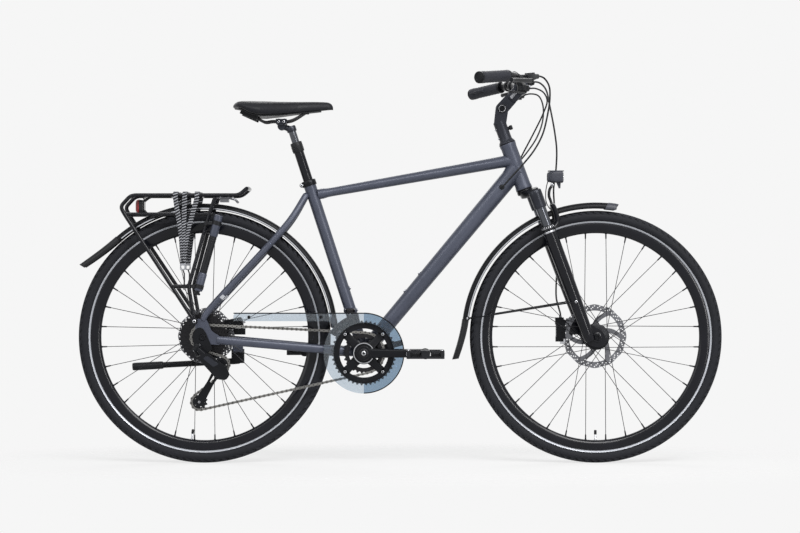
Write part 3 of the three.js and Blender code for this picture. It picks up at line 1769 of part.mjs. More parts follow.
// Mudguards: a channel swept round the wheel
const channelShares = [[-1, 1], [-0.7, 0], [0.7, 0], [1, 1]];

function channelRing(centre, radius, angle, flare = 0) {
  const half = mudguardWidth / 2;
  const outer = channelShares.map(([side, drop]) => [half * side, radius - mudguardDepth * drop]);
  const inner = channelShares.map(([side, drop]) => [
    (half - mudguardThickness) * side,
    radius - mudguardThickness - mudguardDepth * drop,
  ]).reverse();
  const lean = radians(angle);
  return [...outer, ...inner].map(([side, reach]) => point(
    centre.x + (reach + flare) * Math.sin(lean),
    side,
    centre.z + (reach + flare) * Math.cos(lean),
  ));
}

function mudguard(centre, radius, frontAngle, rearAngle, flapAngle) {
  const steps = Math.round((frontAngle + rearAngle) / guardFacet);
  const rings = Array.from({ length: steps + 1 }, (_, i) => (
    channelRing(centre, radius, frontAngle - ((frontAngle + rearAngle) * i) / steps)
  ));
  const flap = [0.4, 0.75, 1].map((share) => (
    channelRing(centre, radius, -rearAngle - (flapAngle - rearAngle) * share, flapFlare * share ** 2)
  ));
  const all = [...rings, ...flap];
  const outline = channelRing(point(0, 0, 0), radius, 90).map((corner) => flat(corner.y, corner.x));
  return loft(all, outline);
}

function frontMudguard() {
  const guard = mudguard(frontAxle, frontMudguardRadius, frontGuardAhead, frontGuardBehind, frontFlapEnd);
  const forkEnd = shifted(
    onSteering(stanchionOffset, 0, -forkLength * 0.75),
    0,
    legSpread + lowersTopRadius,
    0,
  );
  const rearEnd = channelRing(frontAxle, frontMudguardRadius, -frontStayAngle)[channelShares.length - 1];
  const stay = rod(rearEnd, forkEnd, stayRadius, stayRadius, wireSides);
  return cut(
    join(guard, ...onBothSides(stay), mudguardTab()),
    ...onBothSides(rodLegAround(gap)),
    arch(gap),
  );
}

// The mudguard hangs from a tab under the arch
function mudguardTab() {
  const top = onSteering(archForward, 0, archHeight - lowersTop);
  return block(
    shifted(top, -archRadius, -archRadius, -archRadius * 2),
    shifted(top, archRadius, archRadius, -archRadius / 2),
  );
}

function rodLegAround(extra) {
  const top = onSteering(stanchionOffset, legSpread, -lowersTop);
  const bottom = onSteering(stanchionOffset, legSpread, -forkLength);
  return rod(top, bottom, lowersTopRadius + extra, lowersBottomRadius + extra, tubeSides);
}

function rearMudguard() {
  return mudguard(rearAxle, rearMudguardRadius, rearGuardAhead, rearGuardBehind, rearFlapEnd);
}

// Luggage rack: legs spread from the rails down to the dropouts
function behindAxle(distance) {
  return rearAxle.x - distance;
}

function rackPlace(back, height) {
  const share = Math.max(0, (rackLower - height) / (rackLower - rackFootHeight()));
  const spread = (rackFootSpread - rackHalfWidth) * Math.min(1, share);
  return point(behindAxle(back), rackHalfWidth + spread, height);
}

function rackFootHeight() {
  return tyreRadius + dropoutReach + dropoutRadius;
}

function rackRods(places) {
  return bentTube(places, rackRadius, cordSides);
}

const rackFootBack = rackRadius * 4;
const rackFootTop = tyreRadius + dropoutReach * 0.9;
const rackBend = rackFront + (rackTail - rackFront) * 0.42;

function rackFrontLeg() {
  return [
    rackPlace(rackFront + rackRadius * 12, rackTop - rackRadius),
    rackPlace(rackFront + rackRadius * 15, rackLower),
    rackPlace(rackBend, rackTieHeight),
    rackPlace(rackFootBack, rackFootTop),
  ];
}

// Side frame: rails, legs and tie
function rackSide() {
  const top = [
    rackPlace(rackNose, rackNoseHeight),
    rackPlace(rackFront, rackTop),
    rackPlace(rackRear, rackTop),
    rackPlace(rackTail, rackTailHeight),
    rackPlace(rackTail - rackRadius * 2, rackLower),
    rackPlace(rackFootBack, rackFootTop),
  ];
  const lower = [
    rackPlace(rackTail - rackRadius * 2, rackLower),
    rackPlace(rackFront + rackRadius * 13, rackLower),
  ];
  const tie = [rackPlace(rackTieRear, rackTieHeight), rackPlace(rackBend, rackTieHeight)];
  return join(rackRods(top), rackRods(rackFrontLeg()), rackRods(lower), rackRods(tie));
}

function rackFoot() {
  const inner = dropoutInner + dropoutThickness + gap;
  const foot = rackPlace(rackFootBack, rackFootTop);
  return disc(foot, rackRadius * 1.6, inner, foot.y + rackRadius, smallSides);
}

function crossBar(back, height, radius = rackRadius) {
  const half = rackHalfWidth;
  const middle = point(behindAxle(back), 0, height);
  return rod(atSide(middle, -half), atSide(middle, half), radius, radius, cordSides);
}

// Distance behind the axle at which a cross bar on the lower rails rests on the mudguard
function restingBar() {
  const reach = rearMudguardRadius + rackRadius + gap;
  return Math.sqrt(reach ** 2 - (rackLower - tyreRadius) ** 2);
}

function luggageRack() {
  const span = rackRear - rackFront;
  const bars = [0.08, 0.36, 0.64, 0.9].map((share) => crossBar(rackFront + span * share, rackTop));
  const lightBar = crossBar(tailLightBack - tailLightDepth - rackRadius, rackTop);
  const lightBack = behindAxle(tailLightBack - tailLightDepth - gap);
  const lightPlate = block(
    point(lightBack, -tailLightWidth / 4, rackTop - tailLightHeight * 1.2),
    point(lightBack + mudguardThickness, tailLightWidth / 4, rackTop),
  );
  const bracketBack = rackFront + rackRadius * 4;
  const bracket = block(
    point(behindAxle(bracketBack + rackRadius * 8), -mudguardWidth / 2.5, rearAxle.z + rearMudguardRadius / 2),
    point(behindAxle(bracketBack), mudguardWidth / 2.5, rackTop),
  );
  const wheelSpace = disc(
    rearAxle,
    aroundFacets(rearMudguardRadius + gap, wheelSides),
    -mudguardWidth,
    mudguardWidth,
    wheelSides,
  );
  return join(
    ...onBothSides(join(rackSide(), rackFoot())),
    ...bars,
    lightBar,
    lightPlate,
    crossBar(restingBar(), rackLower),
    cut(bracket, wheelSpace),
  );
}

// Elastic straps over the rack, drawn together at a buckle and hooked to the tie on each side
function strapBand(back) {
  const outer = rackHalfWidth + rackRadius + gap + strapThickness / 2;
  const top = rackTop + rackRadius + gap + strapThickness / 2;
  const buckle = rackPlace(buckleMiddle, buckleHeight);
  const low = shifted(buckle, 0, outer - rackHalfWidth, 0);
  const places = [
    [low, point(0, 1, 0)],
    [point(behindAxle(back), outer, rackTop), point(0, 1, 0)],
    [point(behindAxle(back), outer - strapThickness / 2, rackTop + rackRadius), point(0, 0.7, 0.7)],
    [point(behindAxle(back), outer - strapThickness * 2, top), point(0, 0, 1)],
  ];
  const mirror = (place) => atSide(place, -place.y);
  const all = [...places, ...places.map(([place, out]) => [mirror(place), mirror(out)]).reverse()];
  const rings = all.map(([place, out]) => [[1, 1], [-1, 1], [-1, -1], [1, -1]].map(([along, across]) => (
    shifted(ahead(place, out, (across * strapThickness) / 2), (along * strapWidth) / 2, 0, 0)
  )));
  const outline = rings[0].map((corner) => flat(corner.x, corner.y));
  return loft(rings, outline);
}

function strapBuckle() {
  const outer = rackHalfWidth + rackRadius + gap;
  const middle = shifted(rackPlace(buckleMiddle, buckleHeight), 0, outer - rackHalfWidth, 0);
  const hookTop = shifted(middle, 0, strapThickness / 2, 0);
  const tie = rackPlace(buckleMiddle, rackTieHeight);
  const seat = shifted(tie, 0, 0, rackRadius + gap);
  return join(
    block(
      shifted(middle, -strapWidth / 2, 0, -strapWidth),
      shifted(middle, strapWidth / 2, strapThickness * 2, strapWidth),
    ),
    rod(shifted(hookTop, 0, 0, -strapWidth / 2), seat, strapThickness / 1.2, strapThickness / 2, smallSides),
  );
}

function luggageStraps() {
  const bands = [2, 0, -2.6].map((steps) => strapBand(buckleMiddle + steps * strapWidth));
  return join(...bands, ...onBothSides(strapBuckle()));
}

// Lights
function tailLight() {
  const ring = (back, shrink) => {
    const half = (tailLightWidth * shrink) / 2;
    const rise = (tailLightHeight * shrink) / 2;
    const middle = rackTop - rackRadius * 2 - tailLightHeight / 2;
    return [[-0.7, -1], [0.7, -1], [1, -0.6], [1, 0.6], [0.7, 1], [-0.7, 1], [-1, 0.6], [-1, -0.6]].map(
      ([side, up]) => point(behindAxle(back), half * side, middle + rise * up),
    );
  };
  const rings = [
    ring(tailLightBack, 0.86),
    ring(tailLightBack - tailLightDepth / 3, 1),
    ring(tailLightBack - tailLightDepth, 1),
  ];
  const outline = rings[0].map((corner) => flat(corner.y, corner.z));
  return loft(rings, outline);
}

function headlight() {
  const top = onSteering(archForward, 0, archHeight - lowersTop);
  const rear = shifted(top, -headlightBack, 0, headlightRise);
  const front = shifted(rear, headlightLength, 0, 0);
  const lamp = rod(rear, front, headlightRadius * 0.86, headlightRadius, tubeSides);
  const hood = block(
    shifted(rear, 0, -headlightRadius * 0.7, headlightRadius * 0.6),
    shifted(front, 0, headlightRadius * 0.7, headlightRadius),
  );
  const fin = block(
    shifted(front, -headlightRadius, -stayRadius, -headlightRadius * 1.9),
    shifted(front, -headlightRadius / 2, stayRadius, -headlightRadius / 2),
  );
  const neck = shifted(rear, headlightBack, 0, 0);
  const stem = rod(top, neck, stayRadius * 2, stayRadius * 2, smallSides);
  return cut(join(lamp, hood, fin, stem), arch(gap));
}

// Pump on the right, clipped to the rack's front leg: distances ahead of the leg and heights
const pumpHeights = [692, 631, 531, 472];

function rackLegAt(height) {
  const [, high, low] = rackFrontLeg();
  return between(high, low, (high.z - height) / (high.z - low.z));
}

function pumpPlace(height) {
  return shifted(atSide(rackLegAt(height), -pumpSide), pumpForward, 0, 0);
}

function handPump() {
  const [top, shoulder, lower, foot] = pumpHeights.map(pumpPlace);
  const clips = [0.1, 0.9].map((share) => {
    const middle = between(shoulder, lower, share);
    const leg = rackLegAt(middle.z);
    return rod(middle, atSide(leg, -leg.y), pumpRadius / 2, pumpRadius / 2, wireSides);
  });
  const body = join(
    rod(top, shoulder, pumpHandleRadius, pumpHandleRadius, smallSides),
    rod(shoulder, lower, pumpRadius, pumpRadius, smallSides),
    rod(lower, foot, pumpHandleRadius, pumpHandleRadius, smallSides),
    ...clips,
  );
  return cut(body, mirrored(bentTube(rackFrontLeg(), rackRadius + gap, cordSides)));
}

// Kickstand, folded back along the wheel at rest
function kickstandLeg() {
  const pivot = standPivot();
  const slope = radians(standSlope);
  const end = ahead(pivot, point(-Math.cos(slope), 0, -Math.sin(slope)), standLength);
  const hub = new THREE.SphereGeometry(standRadius, smallSides, wireSides).translate(pivot.x, pivot.y, pivot.z);
  const foot = between(pivot, end, 0.88);
  return join(
    hub,
    rod(pivot, end, standRadius * 0.8, standRadius * 0.8, smallSides),
    rod(foot, end, standRadius, standRadius * 1.1, smallSides),
  );
}

// Hoses and cables from the controls, held at both ends
const rearBrakeRoute = [
  point(377.5, -107.3, 1073.6), point(384, -97.5, 1075), point(398, -88, 1070), point(412, -78, 1050),
  point(415, -68, 1015), point(408, -60, 965), point(395, -54, 915), point(372, -48, 872),
  point(340, -46, 832), point(305, -44, 794), point(288, -40, 775), point(284, -33, 771.5),
  point(284, -26.9, 771.3),
];
const frontBrakeRoute = [
  point(377.5, 107.3, 1073.6), point(384, 97.5, 1075), point(398, 87, 1070), point(413, 77, 1052),
  point(423, 62, 1005), point(437, 50, 925), point(442, 50, 878), point(440, 52, 822),
  point(434, 60, 768), point(440, 84, 700), point(446, 88, 620), point(447, 87, 560),
  point(443, 78, 511), point(442, 64, 460), point(449, 48, 428), point(452, 44, 416),
  point(452, 44, 407.6),
];
const rearShiftRoute = [
  point(353.5, -119.7, 1039.1), point(372, -112, 1040), point(394, -100, 1031), point(407, -75, 1010),
  point(399, -35, 977), point(380, 0, 935), point(352, 28, 880), point(330, 40, 838),
  point(314, 41, 812), point(306, 35, 798.5), point(305.3, 27.2, 797),
];
const frontShiftRoute = [
  point(353.5, 119.7, 1039.1), point(372, 114, 1042), point(393, 102, 1036), point(405, 84, 1008),
  point(403, 66, 960), point(385, 55, 912), point(355, 52, 868), point(320, 50, 826),
  point(288, 46, 780), point(269, 40, 756), point(266.8, 33, 751.3), point(266.8, 26.8, 750.8),
];

function hose(route, steps) {
  return pipe(route, hoseRadius, cordSides, steps);
}

function cable(route, steps) {
  return pipe(route, cableRadius, cordSides, steps);
}

// Finishes
function finish(color, roughness, metalness) {
  return new THREE.MeshStandardMaterial({ color, roughness, metalness });
}

const blackAluminium = finish('#26282f', 0.4, 0.5);
const paint = finish('#20232c', 0.35, 0.3);
const brightSteel = finish('#b9bcc2', 0.3, 0.9);
const darkSteel = finish('#3c3d42', 0.4, 0.8);
const rubber = finish('#1b1b1d', 0.9, 0);
const gripRubber = finish('#2b2d33', 0.85, 0);
const plastic = finish('#1d1e21', 0.6, 0);
const guardPlastic = finish('#3d4250', 0.3, 0);
const cover = finish('#232427', 0.7, 0);
const elastic = finish('#3a3c42', 0.8, 0);
const redLens = finish('#8c1f24', 0.3, 0);

const group = new THREE.Group();

function add(parent, name, geometry, material, place = point(0, 0, 0)) {
  const mesh = new THREE.Mesh(geometry, material);
  mesh.name = name;
  mesh.position.copy(place);
  parent.add(mesh);
}

function groupAt(place) {
  const holder = new THREE.Group();
  holder.position.copy(place);
  group.add(holder);
  return holder;
}

add(group, 'main_frame', mainFrame(), paint);
add(group, 'bottom_bracket', bottomBracketUnit(), darkSteel);
add(group, 'seat_clamp', seatClamp(), blackAluminium);
add(group, 'rear_mudguard', rearMudguard(), plastic);
add(group, 'luggage_rack', luggageRack(), blackAluminium);
add(group, 'luggage_straps', luggageStraps(), elastic);
add(group, 'tail_light', tailLight(), redLens);
add(group, 'rear_axle', axle(dropoutInner + dropoutThickness), darkSteel, rearAxle);
add(group, 'rear_brake_caliper', rearBrakeCaliper(), blackAluminium);
add(group, 'chain_guard', chainGuard(), guardPlastic);
add(group, 'chain', chain(), darkSteel);
add(group, 'hand_pump', handPump(), blackAluminium);
add(group, 'kickstand_leg', kickstandLeg(), blackAluminium);
add(group, 'front_derailleur_cage', frontDerailleurCage(), darkSteel);

add(group, 'crank_right', crankRight(), blackAluminium);
add(group, 'outer_chainring', chainring(outerTeeth, outerRingSide, ringWebRadius), darkSteel);
add(group, 'inner_chainring', chainring(innerTeeth, innerRingSide, innerRingWebRadius), darkSteel);
add(group, 'crank_left', crankLeft(), blackAluminium);
[[-1, 'pedal_right'], [1, 'pedal_left']].forEach(([side, name]) => {
  const place = shifted(bottomBracket, -side * crankLength, side * (crankTipSide + crankThickness), 0);
  add(group, name, side > 0 ? pedal() : mirrored(pedal()), plastic, place);
});
add(group, 'cassette', cassette(), brightSteel);

const rearWheel = groupAt(rearAxle);
add(rearWheel, 'rear_hub', rearHub(), darkSteel);
add(rearWheel, 'rear_rim', rim(), blackAluminium);
add(rearWheel, 'rear_tyre', tyre(), rubber);
add(rearWheel, 'rear_rotor', rotor(rearRotorRadius, dropoutSpacing / 2 - rearRotorInset), brightSteel);
add(group, 'derailleur_body', derailleurBody(), darkSteel);
add(group, 'derailleur_knuckle', derailleurKnuckle(), darkSteel);
add(group, 'derailleur_cage', derailleurCage(), darkSteel);
add(group, 'guide_pulley', pulley(), plastic, guideCentre);
add(group, 'tension_pulley', pulley(), plastic, tensionCentre);

add(group, 'seatpost_tube', seatpostTube(), blackAluminium);
add(group, 'seatpost_shaft', seatpostShaft(), blackAluminium);
add(group, 'saddle_clamp', saddleClamp(), darkSteel);
add(group, 'saddle_base', saddleBase(), plastic);
add(group, 'saddle_pad', saddlePad(), cover);

add(group, 'fork_crown', forkCrown(), blackAluminium);
add(group, 'stem_base', stemBase(), blackAluminium);
add(group, 'stem_arm', stemArm(), blackAluminium);
add(group, 'handlebar', handlebar(), blackAluminium);
[['left', (geometry) => geometry], ['right', mirrored]].forEach(([side, handed]) => {
  add(group, `grip_${side}`, handed(grip()), gripRubber);
  add(group, `control_${side}`, handed(control()), plastic);
  add(group, `brake_lever_${side}`, handed(brakeLever()), blackAluminium);
  add(group, `shift_lever_${side}`, handed(shiftLever()), plastic);
});

add(group, 'fork_lowers', forkLowers(), paint);
add(group, 'front_mudguard', frontMudguard(), plastic);
add(group, 'headlight', headlight(), plastic);
add(group, 'front_caliper', frontCaliper(), blackAluminium);
add(group, 'front_axle', axle(forkDropoutOuter), darkSteel, frontAxle);
const frontWheel = groupAt(frontAxle);
add(frontWheel, 'front_hub', frontHub(), darkSteel);
add(frontWheel, 'front_rim', rim(), blackAluminium);
add(frontWheel, 'front_tyre', tyre(), rubber);
add(frontWheel, 'front_rotor', rotor(frontRotorRadius, frontHubWidth / 2 - frontRotorInset), brightSteel);

add(group, 'front_brake_hose', hose(frontBrakeRoute, 26), rubber);
add(group, 'rear_brake_hose', hose(rearBrakeRoute, 17), rubber);
add(group, 'rear_shift_cable', cable(rearShiftRoute, 16), rubber);
add(group, 'front_shift_cable', cable(frontShiftRoute, 16), rubber);

export default group;
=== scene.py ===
"""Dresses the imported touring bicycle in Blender: pieces, finishes, light and camera."""
import logging
from dataclasses import dataclass
from enum import Enum
from math import acos, atan2, cos, hypot, pi, radians, sin, tau
from typing import Callable, Sequence

import bmesh
import bpy
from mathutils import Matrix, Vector
from mathutils.geometry import tessellate_polygon


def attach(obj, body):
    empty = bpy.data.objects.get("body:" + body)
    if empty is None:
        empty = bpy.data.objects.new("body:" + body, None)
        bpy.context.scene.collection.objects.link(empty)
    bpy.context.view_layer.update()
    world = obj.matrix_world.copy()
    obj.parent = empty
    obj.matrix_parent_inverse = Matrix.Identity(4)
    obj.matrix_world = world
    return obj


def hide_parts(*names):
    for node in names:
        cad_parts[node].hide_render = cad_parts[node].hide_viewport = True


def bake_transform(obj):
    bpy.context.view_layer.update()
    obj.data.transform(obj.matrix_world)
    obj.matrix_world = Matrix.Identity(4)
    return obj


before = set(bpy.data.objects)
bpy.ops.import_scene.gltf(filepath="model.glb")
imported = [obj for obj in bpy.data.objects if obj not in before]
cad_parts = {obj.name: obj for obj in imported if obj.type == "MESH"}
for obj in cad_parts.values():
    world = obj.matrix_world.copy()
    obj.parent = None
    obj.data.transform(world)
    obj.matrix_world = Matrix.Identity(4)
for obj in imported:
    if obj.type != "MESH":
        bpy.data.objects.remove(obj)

MM = 0.001
Point = tuple[float, float]
Triple = tuple[float, float, float]
Placer = Callable[[float, float, float], Vector]
ORIGIN = Vector()
log = logging.getLogger("bicycle")


# Finishes

def hex_to_linear(code: str) -> tuple[float, float, float, float]:
    """Turns an sRGB hex colour into Blender's linear colour.

    Args:
        code: six hex digits, with or without a leading hash.

    Returns:
        Red, green, blue and an alpha of 1.
    """
    digits = code.lstrip("#")
    parts = [int(digits[i:i + 2], 16) / 255 for i in (0, 2, 4)]
    linear = [p / 12.92 if p <= 0.04045 else ((p + 0.055) / 1.055) ** 2.4 for p in parts]
    return (linear[0], linear[1], linear[2], 1.0)


def add_node(tree: bpy.types.NodeTree, kind: str, options: dict | None = None,
        inputs: dict | None = None) -> bpy.types.Node:
    """Adds one node with its settings and links.

    Args:
        tree: the node tree that gets the node.
        kind: the node's Blender type name.
        options: properties of the node, by name.
        inputs: values or other nodes' output sockets, by input name or number.

    Returns:
        The new node.
    """
    node = tree.nodes.new(kind)
    for name, value in (options or {}).items():
        setattr(node, name, value)
    for name, value in (inputs or {}).items():
        if isinstance(value, bpy.types.NodeSocket):
            tree.links.new(value, node.inputs[name])
        else:
            node.inputs[name].default_value = value
    return node


class Texture(Enum):
    """How a surface was made, which sets its fine pattern."""

    SPRAYED = "sprayed paint with fine flake"
    ANODISED = "blasted and anodised"
    BRUSHED = "brushed or drawn along its length"
    POLISHED = "turned and polished"
    MOULDED = "moulded with a spark-eroded grain"
    RUBBED = "moulded rubber"
    RIBBED = "rubber with fine raised ribs"
    WOVEN = "woven band"
    CLEAR = "clear moulding"


@dataclass(frozen=True)
class Finish:
    """One real material and the way its surface was made.

    The pattern's grain and depth are real sizes in millimetres.
    """

    name: str
    slot: str
    colour: str
    second: str
    texture: Texture
    grain: float = 0.5
    depth: float = 0.02
    metallic: float = 0.0
    roughness: float = 0.5
    spread: float = 0.08
    ior: float = 1.5
    coat: float = 0.0
    coat_roughness: float = 0.1
    transmission: float = 0.0
    specular: float = 0.5

    def build(self) -> bpy.types.Material:
        """Makes the Blender material.

        Returns:
            The material, with its nodes linked.
        """
        material = bpy.data.materials.new(self.name)
        material.use_nodes = True
        tree = material.node_tree
        tree.nodes.clear()
        place = add_node(tree, "ShaderNodeTexCoord").outputs["Object"]
        fine = self._pattern(tree, place)
        broad = add_node(tree, "ShaderNodeTexNoise", None, {"Vector": place, "Scale": 1000 / 70,
            "Detail": 3.0}).outputs["Fac"]
        blend = add_node(tree, "ShaderNodeMath", {"operation": "MULTIPLY"}, {0: fine, 1: broad}).outputs[0]
        fade = add_node(tree, "ShaderNodeMapRange", None, {"Value": blend, "From Min": 0.1,
            "From Max": 0.5}).outputs["Result"]
        colour = add_node(tree, "ShaderNodeMix", {"data_type": "RGBA"},
            {0: fade, 6: hex_to_linear(self.colour), 7: hex_to_linear(self.second)}).outputs[2]
        rough = add_node(tree, "ShaderNodeMapRange", None, {"Value": broad, "From Min": 0.3, "From Max": 0.7,
            "To Min": max(0.02, self.roughness - self.spread), "To Max": self.roughness
            + self.spread}).outputs["Result"]
        bump = add_node(tree, "ShaderNodeBump", None, {"Height": fine, "Distance": self.depth * MM,
            "Strength": 1.0}).outputs["Normal"]
        inputs = {"Base Color": colour, "Roughness": rough, "Normal": bump, "Metallic": self.metallic,
            "Coat Weight": self.coat, "Coat Roughness": self.coat_roughness,
            "Transmission Weight": self.transmission, "Specular IOR Level": self.specular}
        if self.metallic < 0.5:
            inputs["IOR"] = self.ior
        shader = add_node(tree, "ShaderNodeBsdfPrincipled", None, inputs)
        add_node(tree, "ShaderNodeOutputMaterial", None, {"Surface": shader.outputs[0]})
        return material

    def _pattern(self, tree: bpy.types.NodeTree, place: bpy.types.NodeSocket) -> bpy.types.NodeSocket:
        """Adds the fine pattern of this finish.

        Args:
            tree: the material's node tree.
            place: the socket with the point in metres.

        Returns:
            A socket from 0 to 1.
        """
        scale = 1000 / self.grain
        if self.texture in (Texture.MOULDED, Texture.RUBBED):
            return add_node(tree, "ShaderNodeTexVoronoi", {"feature": "SMOOTH_F1"}, {"Vector": place,
                "Scale": scale}).outputs["Distance"]
        if self.texture is Texture.BRUSHED:
            drawn = add_node(tree, "ShaderNodeMapping", None, {"Vector": place, "Scale": (scale * 0.04, scale,
                scale)}).outputs["Vector"]
            return add_node(tree, "ShaderNodeTexNoise", None, {"Vector": drawn, "Scale": 1.0,
                "Detail": 3.0}).outputs["Fac"]
        if self.texture in (Texture.WOVEN, Texture.RIBBED):
            bands = add_node(tree, "ShaderNodeTexWave", {"wave_type": "BANDS", "bands_direction": "DIAGONAL"},
                {"Vector": place, "Scale": scale / 6.3, "Distortion": 0.4}).outputs["Fac"]
            cross = add_node(tree, "ShaderNodeTexWave", {"wave_type": "BANDS", "bands_direction": "Y"},
                {"Vector": place, "Scale": scale / 6.3}).outputs["Fac"]
            return add_node(tree, "ShaderNodeMath", {"operation": "MAXIMUM"}, {0: bands, 1: cross}).outputs[0]
        return add_node(tree, "ShaderNodeTexNoise", None, {"Vector": place, "Scale": scale,
            "Detail": 2.0}).outputs["Fac"]


# Slate blue powder-and-flake paint under a satin lacquer: a soft wide highlight, darker at the edges.
FRAME_PAINT = Finish("slate_lacquered_paint", "frame_paint", "3c404d", "4c505e", Texture.SPRAYED, grain=0.9,
    depth=0.006, metallic=0.25, roughness=0.38, coat=0.2, coat_roughness=0.3, specular=0.3)
# Bead-blasted, black anodised aluminium: dark, with a broad grey sheen and hardly any grain.
ANODISED = Finish("black_anodised_aluminium", "black_aluminium", "101114", "191a1e", Texture.ANODISED,
    grain=0.4, depth=0.008, metallic=0.35, roughness=0.34, specular=0.2)
# Black lacquer over smooth aluminium: the rims, the fork legs and the rack tubes mirror the studio.
GLOSS_BLACK = Finish("gloss_black_lacquer", "black_aluminium", "0b0c11", "13141b", Texture.SPRAYED, grain=2.5,
    depth=0.004, roughness=0.17, spread=0.03, ior=1.48, specular=0.25)
# Titanium-grey anodised aluminium of the crown sockets and the stem: satin, lighter than the black.
GREY_ALUMINIUM = Finish("grey_anodised_aluminium", "black_aluminium", "24262c", "30323a", Texture.ANODISED,
    grain=0.4, depth=0.008, metallic=0.45, roughness=0.33, specular=0.3)
# Hard-chromed steel tube: nearly a mirror, with faint turning lines.
CHROME = Finish("hard_chromed_steel", "bright_steel", "5a5c61", "4b4d52", Texture.POLISHED, grain=0.3,
    depth=0.002, metallic=1.0, roughness=0.13, spread=0.03)
# Bright zinc-plated or stainless steel: bolts, spoke heads, axle ends and springs.
STAINLESS = Finish("stainless_steel", "bright_steel", "c3c4c8", "a2a4a8", Texture.BRUSHED, grain=0.35,
    depth=0.006, metallic=1.0, roughness=0.24)
# Phosphated, oiled carbon steel: sprockets and stampings, dark with a warm metallic sheen.
DARK_STEEL = Finish("phosphated_steel", "dark_steel", "1c1c1f", "2b2a2c", Texture.ANODISED, grain=0.6,
    depth=0.012, metallic=0.75, roughness=0.36)
# Nickel-plated spring steel of the chain: grey, with worn bright faces.
CHAIN_STEEL = Finish("nickel_plated_chain_steel", "bright_steel", "6f6e6c", "8d8c89", Texture.BRUSHED,
    depth=0.01, metallic=1.0, roughness=0.3)
# Ground stainless of the brake discs: grey with fine circular-looking scuffs.
DISC_STEEL = Finish("ground_disc_steel", "bright_steel", "696a6e", "7d7e83", Texture.BRUSHED, grain=0.4,
    depth=0.008, metallic=1.0, roughness=0.3)
# Butyl and natural rubber tread compound: charcoal, dusty matt, with a fine pebbled skin.
TYRE_RUBBER = Finish("tyre_rubber_compound", "tyre_rubber", "1a1b1f", "26272c", Texture.RUBBED, grain=1.8,
    depth=0.12, roughness=0.68, ior=1.52, specular=0.16)
# The same compound, painted near-black in the grooves as painted shade where light hardly reaches, and a
# little lighter on the block tops.
PAINTED_GROOVE_SHADE = Finish("tyre_rubber_painted_groove_shade", "tyre_rubber", "08090b", "101114", Texture.RUBBED, grain=1.8,
    depth=0.1, roughness=0.8, ior=1.52, specular=0.15)
TREAD_RUBBER = Finish("tyre_tread_rubber", "tyre_rubber", "212226", "303137", Texture.RUBBED, grain=1.4,
    depth=0.16, roughness=0.75, ior=1.52, specular=0.16)
# Reflective glass-bead film vulcanised on the sidewall: pale silver, finely grained.
REFLECTIVE = Finish("glass_bead_film", "bright_steel", "b4b7bd", "9a9da4", Texture.ANODISED, grain=0.6,
    depth=0.01, metallic=0.35, roughness=0.35)
# Thermoplastic hose and cable housing: black, smooth and slightly waxy.
HOSE = Finish("polyamide_hose", "hose_rubber", "0f1013", "17181b", Texture.RUBBED, grain=0.8, depth=0.01,
    roughness=0.42, ior=1.53, specular=0.25)
# Soft thermoplastic elastomer of the grips: matt, with small moulded pips, drawn 2.4 mm wide so they show.
GRIP_RUBBER = Finish("soft_grip_elastomer", "grip_rubber", "26272d", "34363d", Texture.RUBBED, grain=2.4,
    depth=0.35, roughness=0.62, specular=0.22)
# Glass-filled nylon: matt black with a spark-eroded grain, drawn 0.9 mm wide so it shows.
NYLON = Finish("glass_filled_nylon", "plastic", "121316", "1c1d21", Texture.MOULDED, grain=0.9, depth=0.03,
    roughness=0.45, ior=1.53, specular=0.2)
# Polycarbonate of the mudguards: black, smoother, with a long soft reflection.
GUARD_PLASTIC = Finish("black_polycarbonate", "plastic", "0e0f12", "15161a", Texture.MOULDED, grain=1.4,
    depth=0.008, roughness=0.36, spread=0.05, specular=0.12)
# Grey ABS of lamp housings and end clips: satin and a little lighter.
GREY_ABS = Finish("grey_abs", "plastic", "33353d", "3f414a", Texture.MOULDED, grain=0.8, depth=0.02,
    roughness=0.42, ior=1.54, specular=0.3)
# Metallised foil trim of the mudguard edges and badges left bare: bright, thin and smooth.
FOIL = Finish("metallised_foil_trim", "bright_steel", "c9cbd0", "b4b6bc", Texture.POLISHED, grain=1.0,
    depth=0.002, metallic=1.0, roughness=0.2)
# Polyurethane-coated synthetic leather on the saddle: matt black with a fine pebbled grain.
SADDLE_COVER = Finish("coated_synthetic_leather", "saddle_cover", "121317", "1d1e23", Texture.MOULDED,
    grain=1.1, depth=0.05, roughness=0.46, ior=1.49, specular=0.2)
# Knitted, coated mesh on the saddle's flanks: drawn with a 2 mm mesh, coarser than the real one.
SADDLE_MESH = Finish("coated_saddle_mesh", "saddle_cover", "0e0f13", "1a1b20", Texture.WOVEN, grain=2.0,
    depth=0.08, roughness=0.6, ior=1.49, specular=0.2)
# Woven elastic webbing: black polyester over rubber, threads drawn 1.2 mm wide so they show.
WEBBING = Finish("woven_elastic_webbing", "elastic", "141518", "222328", Texture.WOVEN, grain=1.2, depth=0.12,
    roughness=0.75, specular=0.25)
# The pale reflective yarn woven across that band.
PALE_YARN = Finish("pale_reflective_yarn", "elastic", "83858b", "a2a4a9", Texture.WOVEN, grain=1.2, depth=0.1,
    roughness=0.55)
# Red PMMA lens over its prisms: saturated and glossy.
RED_LENS = Finish("red_acrylic_lens", "red_lens", "8c0f16", "a81a20", Texture.CLEAR, grain=3.0, depth=0.03,
    roughness=0.08, spread=0.03, ior=1.49, transmission=0.25)
# Clear PMMA window of the lamp: water-clear and glossy.
CLEAR_LENS = Finish("clear_acrylic_lens", "bright_steel", "dfe3e6", "f0f2f4", Texture.CLEAR, grain=3.0,
    depth=0.01, roughness=0.05, spread=0.02, ior=1.49, transmission=0.85)
